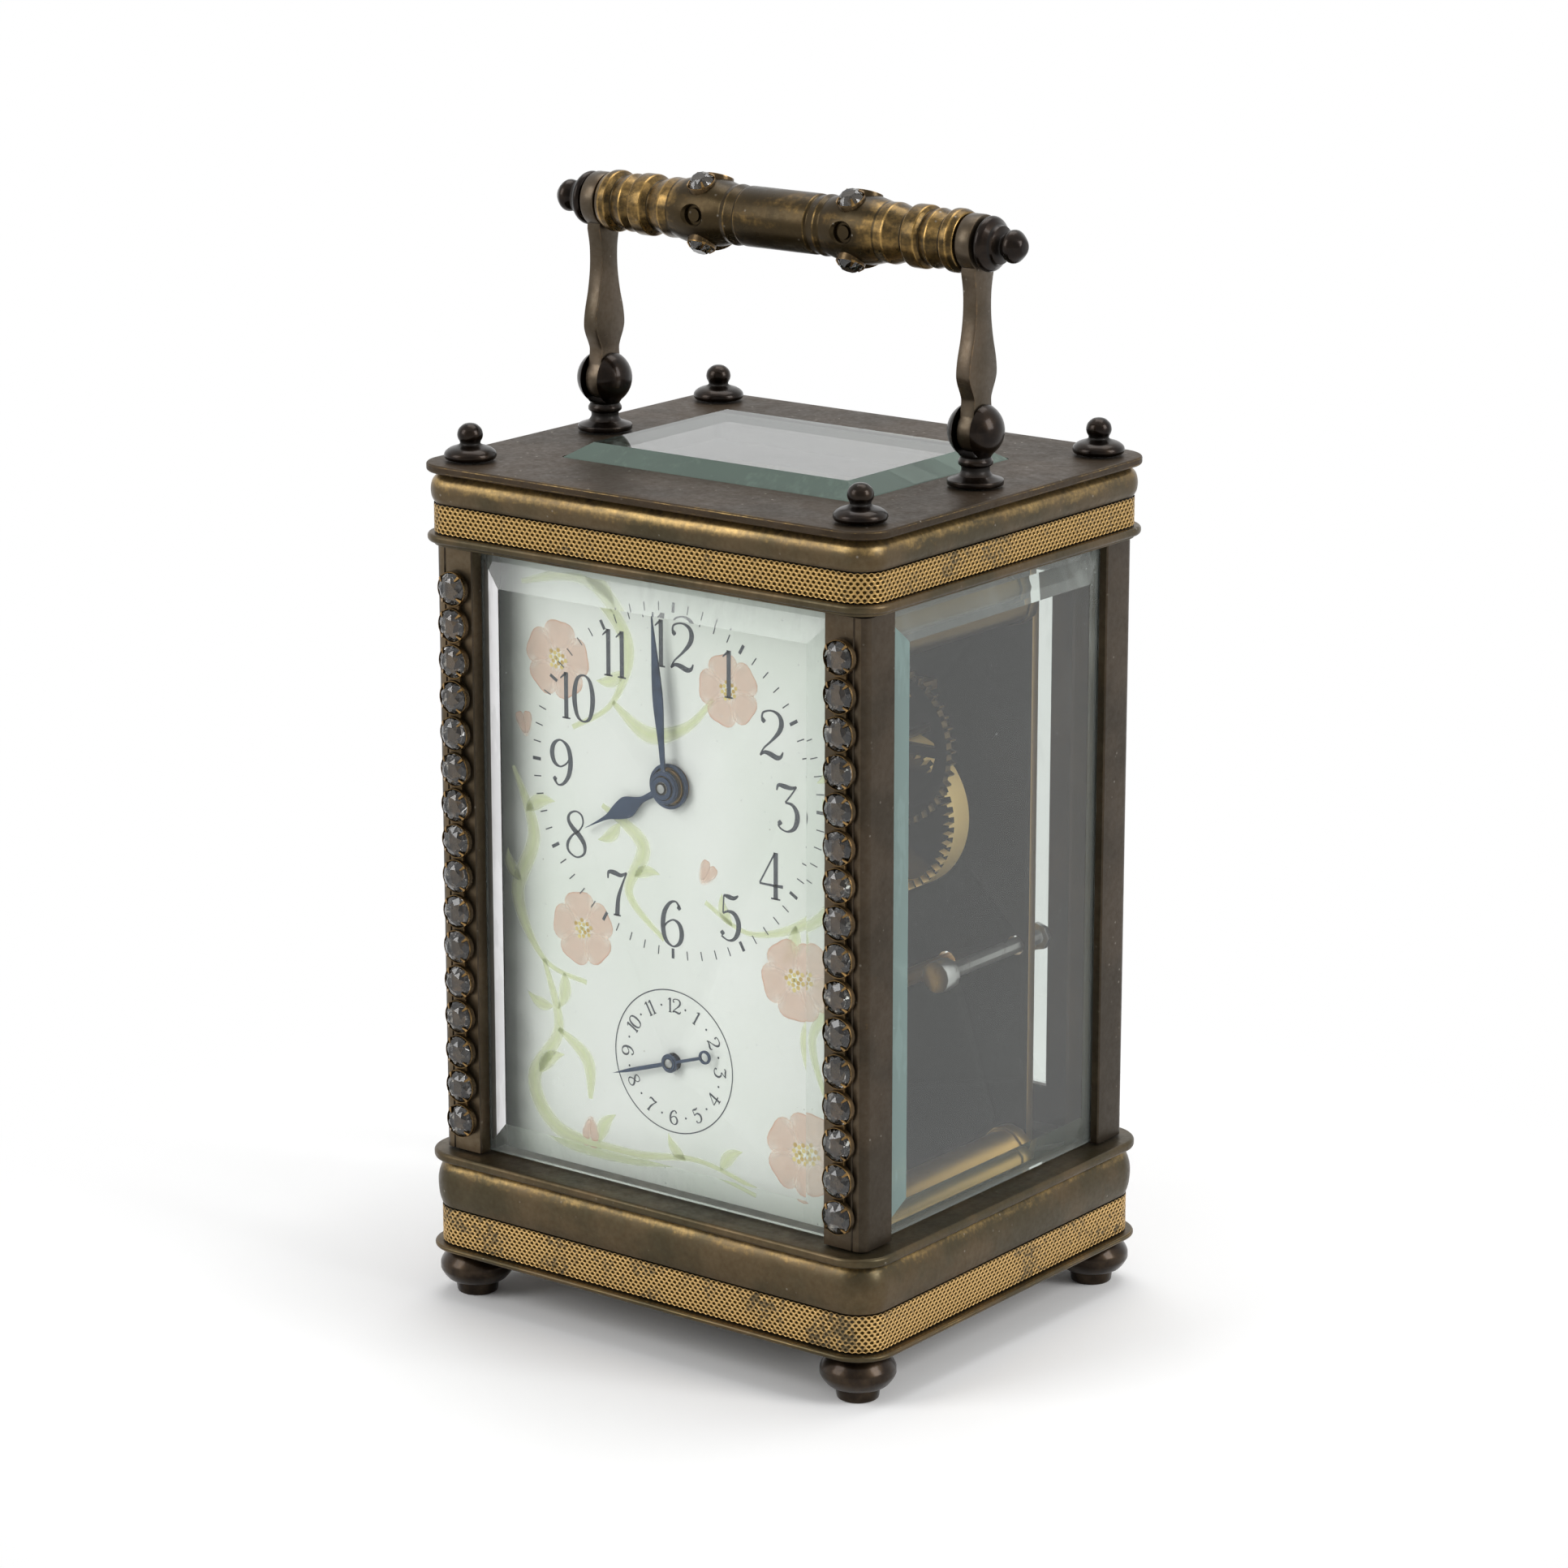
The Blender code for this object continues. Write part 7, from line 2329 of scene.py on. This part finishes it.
@dataclass
class Dial:
    """The porcelain dial with its figures, marks and painted sprays."""

    thick: float = 1.2
    ink: float = 0.024
    figure_ring: float = 19.1
    figure_height: float = 6.4
    alarm_drop: float = 78.7
    alarm_ring: float = 10.0
    alarm_figures: float = 7.9
    stems: tuple = (
        ((-26, 101), (-15, 103), (-7.5, 96), (-10, 87.5), (-17, 83)),
        ((-10, 87.5), (-4, 84), (2.5, 86), (7, 90.5)),
        ((27, 92), (25.5, 83), (28, 74), (24, 64), (13.5, 59.5), (5.5, 62.5)),
        ((24, 64), (27.5, 55), (22, 47), (24.5, 38)),
        ((-27.5, 76), (-24, 67), (-27, 58), (-22.5, 49.5), (-15, 47.5)),
        ((-22.5, 49.5), (-20, 40), (-24.5, 32), (-20, 25.5), (-8, 24.5), (4, 26), (14, 24)),
        ((-20, 40), (-15, 36.5), (-14.5, 31)),
        ((-12, 73), (-5, 68.5), (-7.5, 61.5), (-1.5, 56)),
    )
    leaves: tuple = (
        (-15, 103, -35, 6), (-8.2, 92, 200, 5), (26, 86, 230, 5.5), (27, 76, 130, 5), (20.5, 62, 245, 6),
        (10, 60, 110, 4.5), (26.6, 56, 200, 5), (-25.3, 70, 20, 5.5), (-26.4, 60, 115, 4.8),
        (-19, 48.2, 255, 5.5), (-21, 43, 160, 4.6), (-23.5, 33, 35, 5.6), (-13, 25, 55, 5.4),
        (2, 25.6, 130, 4.4), (8, 25.4, 40, 5), (-6.5, 64, 10, 4.4), (-9, 71, 215, 4.8),
    )
    blossoms: tuple = (
        (-19.5, 92, 5.6, 0.2), (20.5, 54.5, 5.8, 0.9), (-15.5, 55, 5.4, 0.5), (21.5, 30.5, 6, 0.1),
        (9.5, 92, 5.1, 0.6),
    )
    buds: tuple = ((24.8, 96.5, 70), (-14.3, 29, -95), (4.6, 64.5, 60), (-25, 80, 100))

    def __post_init__(self) -> None:
        """Read the dial's face and the hands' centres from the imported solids."""
        self.low, self.high = extent("dial")
        self.front = self.low.y
        low, high = extent("cannon_pinion")
        self.centre = ((low.x + high.x) / 2, (low.z + high.z) / 2)
        self.alarm_z = extent("top_plate")[1].z - self.alarm_drop

    def build_plate(self) -> None:
        """Make the plate with its two holes and its feet."""
        back = self.front + self.thick
        middle = (0.0, (self.low.z + self.high.z) / 2)
        outline = rectangle(self.high.x, (self.high.z - self.low.z) / 2, middle)
        holes = [circle(2.8, 40, self.centre), circle(1.2, 28, (0.0, self.alarm_z))]
        draft = Draft().slab(outline, self.front, back, Axis.Y, holes)
        for foot in ((-22.0, self.centre[1] + 20.0), (22.0, self.centre[1] + 20.0), (0.0, self.low.z + 6.0)):
            loop = circle(1.2, 24, foot)
            draft.stacked([(loop, back, 0.0), (loop, self.high.y, 0.0)], Axis.Y, [1, 1, 1])
        settle(draft.piece("dial_plate", WHITE, WORKS), "case", "porcelain", "dial")

    def build_figures(self) -> None:
        """Paint the hours, the alarm's hours and its circle."""
        brush = Brush(self.front - self.ink)

        def place(reach: float, angle: float, z: float) -> Point:
            """Return a place on a circle, by its angle clockwise from twelve."""
            return (reach * math.sin(angle), z + reach * math.cos(angle))

        for hour in range(1, 13):
            angle = math.radians(30 * hour)
            brush.figure(str(hour), place(self.figure_ring, angle, self.centre[1]), self.figure_height)
            turn = angle if not 3 < hour < 9 else angle - math.pi
            brush.figure(str(hour), place(self.alarm_figures, angle, self.alarm_z), 2.0, turn, 1.3)
            brush.dot(place(self.alarm_figures, angle + math.radians(15), self.alarm_z), 0.16)
        ring = [(x, z, 0.085) for x, z in circle(self.alarm_ring, 120, (0.0, self.alarm_z))]
        brush.ribbon([*ring, ring[0]], brush.full)
        brush.piece("dial_figures", INK)

    def build_marks(self, tree: Growth, name: str, half: float, start: float, stop: float,
                    **row: int) -> None:
        """Set minute marks round the hours.

        Args:
            tree: the tree that sets copies round an axis.
            name: the piece's name.
            half: half a mark's width.
            start: where it starts from the centre.
            stop: where it ends.
            row: how many marks there are, and every which one is left out.
        """
        brush = Brush(0.0)
        brush.ribbon([(0.0, start, half), (0.0, stop, half)], ((-1, 1, 0.5), (1, 1, 0.5)))
        shape = brush.draft.piece(name + "_shape", face=FORWARD)
        middle = Vector((0.0, self.front - self.ink, self.centre[1])) * MM
        marks = tree.grow(name, INK, shape=shape, middle=middle, **row)
        bpy.data.objects.remove(shape)
        settle(marks, "case", "porcelain")

    def build_stems(self) -> None:
        """Paint trailing stems with their leaves."""
        green = Brush(self.front - 0.008)
        for stem in self.stems:
            count = len(stem) - 1
            path = [(x, z, 0.45 + 0.95 * math.sin(math.pi * min(1.0, 1.3 * i / count)))
                    for i, (x, z) in enumerate(stem)]
            green.ribbon(through(path, 9), green.soft)
        for x, z, degrees, length in self.leaves:
            way = Vector((math.cos(math.radians(degrees)), math.sin(math.radians(degrees))))
            side = Vector((-way.y, way.x))
            path = []
            for t in (i / 12 for i in range(13)):
                bend = side * (0.16 * length * math.sin(math.pi * t * 0.9))
                spot = Vector((x, z)) + way * (t * length) + bend
                path.append((*spot, 0.05 + 0.22 * length * math.sin(math.pi * t ** 0.8)))
            green.ribbon(path, green.soft)
        green.piece("dial_stems", LEAF)

    def build_flowers(self) -> None:
        """Paint blossoms with their stamens, and buds."""
        peach = Brush(self.front - 0.014)
        yellow = Brush(self.front - 0.019)
        for x, z, radius, turn in self.blossoms:
            for i in range(5):
                peach.petal((x, z), turn + 2 * math.pi * i / 5, radius, radius * 1.18)
            for i in range(15):
                way, reach = turn + 2.4 * i, 0.27 * radius * math.sqrt(i / 15)
                spot = (x + reach * math.cos(way), z + reach * math.sin(way))
                yellow.dot(spot, 0.055 * radius, (i % 3) / 2)
        for x, z, degrees in self.buds:
            for lean in (-12, 12):
                peach.petal((x, z), math.radians(degrees + lean), 4.2, 2.0)
        peach.piece("dial_petals", PETAL)
        yellow.piece("dial_stamens", STAMEN)

    def build(self, tree: Growth) -> None:
        """Make the dial; every fifth minute mark is thicker.

        Args:
            tree: the tree that sets copies round an axis.
        """
        self.build_plate()
        self.build_figures()
        self.build_marks(tree, "dial_minutes", 0.085, 22.7, 23.95, count=60, every=5)
        self.build_marks(tree, "dial_fives", 0.235, 22.6, 24.0, count=12, every=0)
        self.build_stems()
        self.build_flowers()


@dataclass
class Hands:
    """Hour, minute and alarm hands; their turns are in degrees clockwise from twelve."""

    centre: Point
    alarm_z: float
    minute_turn: float = -5.0
    hour_turn: float = 240.5
    alarm_turn: float = 251.5

    @staticmethod
    def outline(hub: float, blade: Sequence[Point], turn: float, tail: Sequence[Point] = ()) -> Loop:
        """Return a hand's outline: a round hub, a blade and perhaps a tail.

        Args:
            hub: the hub's radius.
            blade: (half width, reach) along the blade; the last half width is 0.
            turn: degrees clockwise from twelve.
            tail: the tail's points below the hub, from its left to its right side.

        Returns:
            The loop, counter-clockwise.
        """
        start = math.asin(blade[0][0] / hub)
        arc = [math.pi / 2 + start + (2 * math.pi - 2 * start) * i / 44 for i in range(45)]
        round_hub = [(hub * math.cos(a), hub * math.sin(a)) for a in arc]
        if tail:
            low = min(range(len(arc)), key=lambda i: round_hub[i][1])
            round_hub[low:low + 1] = tail
        side = through(blade, 4)[1:]
        loop = [*round_hub, *side, *((-half, reach) for half, reach in reversed(side[:-1]))]
        c, s = math.cos(math.radians(turn)), math.sin(math.radians(turn))
        return [(x * c + y * s, y * c - x * s) for x, y in loop]

    def build_hour(self) -> None:
        """Make the hour hand with its pipe."""
        low, high = extent("hour_hand")
        place = (self.centre[0], 0.0, self.centre[1])
        outline = self.outline(3.1, [
            (0.45, 3.4), (0.42, 5.0), (0.75, 6.2), (1.38, 7.7), (1.42, 8.7), (0.98, 10.3), (0.45, 11.7),
            (0.22, 13.2), (0.0, 16.6),
        ], self.hour_turn)
        draft = Draft().slab(outline, low.y, low.y + 0.4, Axis.Y, [circle(2.65, 40)], 0.1, place)
        top = low.y + 0.38
        draft.turned([(2.66, top), (3.0, top), (3.0, high.y), (2.66, high.y)], 44, Axis.Y, place)
        settle(draft.piece("hour_hand_fine", BLUED), "hour_arbor", "blued_steel", "hour_hand")

    def build_minute(self) -> None:
        """Make the minute hand with its boss, its collar and the pin's bright head."""
        low, high = extent("minute_hand")
        place = (self.centre[0], 0.0, self.centre[1])
        blade = [(0.35, 2.6), (0.45, 6.0), (0.8, 11.0), (0.72, 14.5), (0.36, 19.0), (0.0, 23.1)]
        outline = self.outline(2.3, blade, self.minute_turn)
        draft = Draft().slab(outline, low.y + 0.25, high.y, Axis.Y, [circle(1.7, 40)], 0.1, place)
        inner = low.y + 0.27
        boss = [(1.71, low.y), (2.1, low.y, 0.5), (2.2, low.y + 0.1, 0.5), (2.2, inner), (1.71, inner)]
        draft.turned(boss, 44, Axis.Y, place)
        front = extent("cannon_pinion")[0].y - 0.12
        collar = eased([(0.0, front + 0.1), (1.55, front), (1.55, front + 0.4), (0.0, front + 0.4)], 0.08)
        draft.turned(collar, 44, Axis.Y, place)
        head = [(0, front - 0.3), (0.4, front - 0.26), (0.8, front - 0.1), (1.0, front + 0.15),
                (0, front + 0.2)]
        draft.turned(head, 32, Axis.Y, place, slot=1)
        settle(draft.piece("minute_hand_fine", BLUED, STEEL), "centre_arbor", "blued_steel", "minute_hand")

    def build_alarm(self) -> None:
        """Make the alarm hand with the ring on its tail, its pipe and its bright cap."""
        low, high = extent("alarm_hand")
        place = (0.0, 0.0, self.alarm_z)
        tail, radius = -5.4, 0.95
        middle = tail - radius
        turns = [math.radians(105 + 330 * i / 24) for i in range(25)]
        ring = [(radius * math.cos(a), middle + radius * math.sin(a)) for a in turns]
        stalk = [(-0.22, -1.5), (-0.22, tail), *ring, (0.22, tail), (0.22, -1.5)]
        outline = self.outline(1.3, [(0.28, 1.5), (0.26, 7.0), (0.0, 10.3)], self.alarm_turn, stalk)
        turn = math.radians(self.alarm_turn)
        eye = circle(0.62, 28, (middle * math.sin(turn), middle * math.cos(turn)))
        draft = Draft().slab(outline, low.y + 0.3, low.y + 0.65, Axis.Y, [eye], 0.07, place)
        draft.turned(eased([
            (0, low.y + 0.35), (0.7, low.y + 0.35), (0.75, low.y + 0.12), (1.0, low.y + 0.1),
            (1.15, low.y + 0.31), (0.75, low.y + 0.64), (0.75, high.y - 1.0), (3.2, high.y - 1.0),
            (3.2, high.y), (0, high.y),
        ], 0.12), 40, Axis.Y, place)
        cap = [(0.0, low.y), (0.4, low.y + 0.06), (0.62, low.y + 0.2), (0.66, low.y + 0.36),
               (0.0, low.y + 0.37)]
        draft.turned(cap, 32, Axis.Y, place, slot=1)
        settle(draft.piece("alarm_hand_fine", BLUED, STEEL), "alarm_hand", "blued_steel", "alarm_hand")

    def build(self) -> None:
        """Make the three hands."""
        self.build_hour()
        self.build_minute()
        self.build_alarm()


@dataclass
class Movement:
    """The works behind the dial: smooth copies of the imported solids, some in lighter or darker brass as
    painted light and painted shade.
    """

    rims: tuple = (
        "going_barrel", "centre_wheel", "third_wheel", "escape_wheel", "minute_wheel", "hour_wheel",
        "alarm_barrel",
    )
    # rims in the darker brass, painted shade
    dim_rims: tuple = ("centre_wheel", "third_wheel", "going_barrel")
    plates: tuple = ("front_plate", "back_plate", "platform", "balance_cock", "bell")
    steels: tuple = ("barrel_arbor", "cannon_pinion", "pallet_lever", "alarm_hammer")
    slimming: float = 0.8

    @staticmethod
    def shade_pillars(plate: Item) -> None:
        """Give the lower pillars of the front plate a lighter brass, painted light, and the upper ones a
        darker brass, painted shade.

        Args:
            plate: the plate.
        """
        low, high = extent("front_plate")
        plate.data.materials.append(LIT_PILLAR_WORKS.material())
        plate.data.materials.append(PAINTED_SHADE_WORKS.material())
        for face in plate.data.polygons:
            middle = face.center / MM
            if middle.y > low.y + 3.0:
                face.material_index = 1 if middle.z < (low.z + high.z) / 2 else 2

    def trim(self, plate: Item) -> None:
        """Draw the back plate's upright edges in a little, to let light past it.

        Args:
            plate: the plate.
        """
        edge = extent("back_plate")[1].x * MM
        for vert in plate.data.vertices:
            if abs(vert.co.x) > edge - MM:
                vert.co.x -= math.copysign(self.slimming * MM, vert.co.x)

    @staticmethod
    def finish_side(piece: Item, way: Vector, finish: Finish) -> None:
        """Give the faces that look one way a finish of their own.

        Args:
            piece: the piece.
            way: the direction.
            finish: the finish.
        """
        piece.data.materials.append(finish.material())
        for face in piece.data.polygons:
            if face.normal.dot(way) > 0.7:
                face.material_index = 1

    def build(self) -> None:
        """Refine the works piece by piece."""
        bodies = frame["record"]["behaviour"]["bodies"]
        homes = {node: body for body, nodes in bodies.items() for node in nodes}
        for node in self.rims:
            # painted shade: some rims get the darker brass
            refined(node, PAINTED_SHADE_WORKS if node in self.dim_rims else WORKS, homes[node], "movement_brass", 0.05)
        made = {node: refined(node, DEEP_WORKS, homes[node], "movement_brass", 0.12) for node in self.plates}
        self.shade_pillars(made["front_plate"])
        # painted light: the back plate's rear face gets a lighter brass
        self.finish_side(made["back_plate"], -FORWARD, LIT_BACK_PLATE_WORKS)
        self.trim(made["back_plate"])
        for node in self.steels:
            refined(node, STEEL, homes[node], "steel", 0.05)
        # painted light: a brighter brass for the contrate wheel; painted shade: a darker one on its front
        # face
        contrate = refined("contrate_wheel", LIT_DRUM_WORKS, homes["contrate_wheel"], "movement_brass")
        self.finish_side(contrate, FORWARD, PAINTED_SHADE_WORKS)
        refined("balance_wheel", WORKS, homes["balance_wheel"], "movement_brass")
        refined("hairspring", BLUED, homes["hairspring"], "blued_steel")


def main() -> None:
    """Build the clock's looks and the studio round it."""
    logging.basicConfig(level=logging.INFO, format="%(name)s: %(message)s")
    Studio().build()
    Case().build(net_growth())
    Posts().build()
    Glasses().build()
    Door().build()
    FeetAndFinials().build()
    StoneChain().build(row_growth())
    Handle().build()
    dial = Dial()
    dial.build(ring_growth())
    Hands(dial.centre, dial.alarm_z).build()
    Movement().build()


if __name__ == "__main__":
    main()
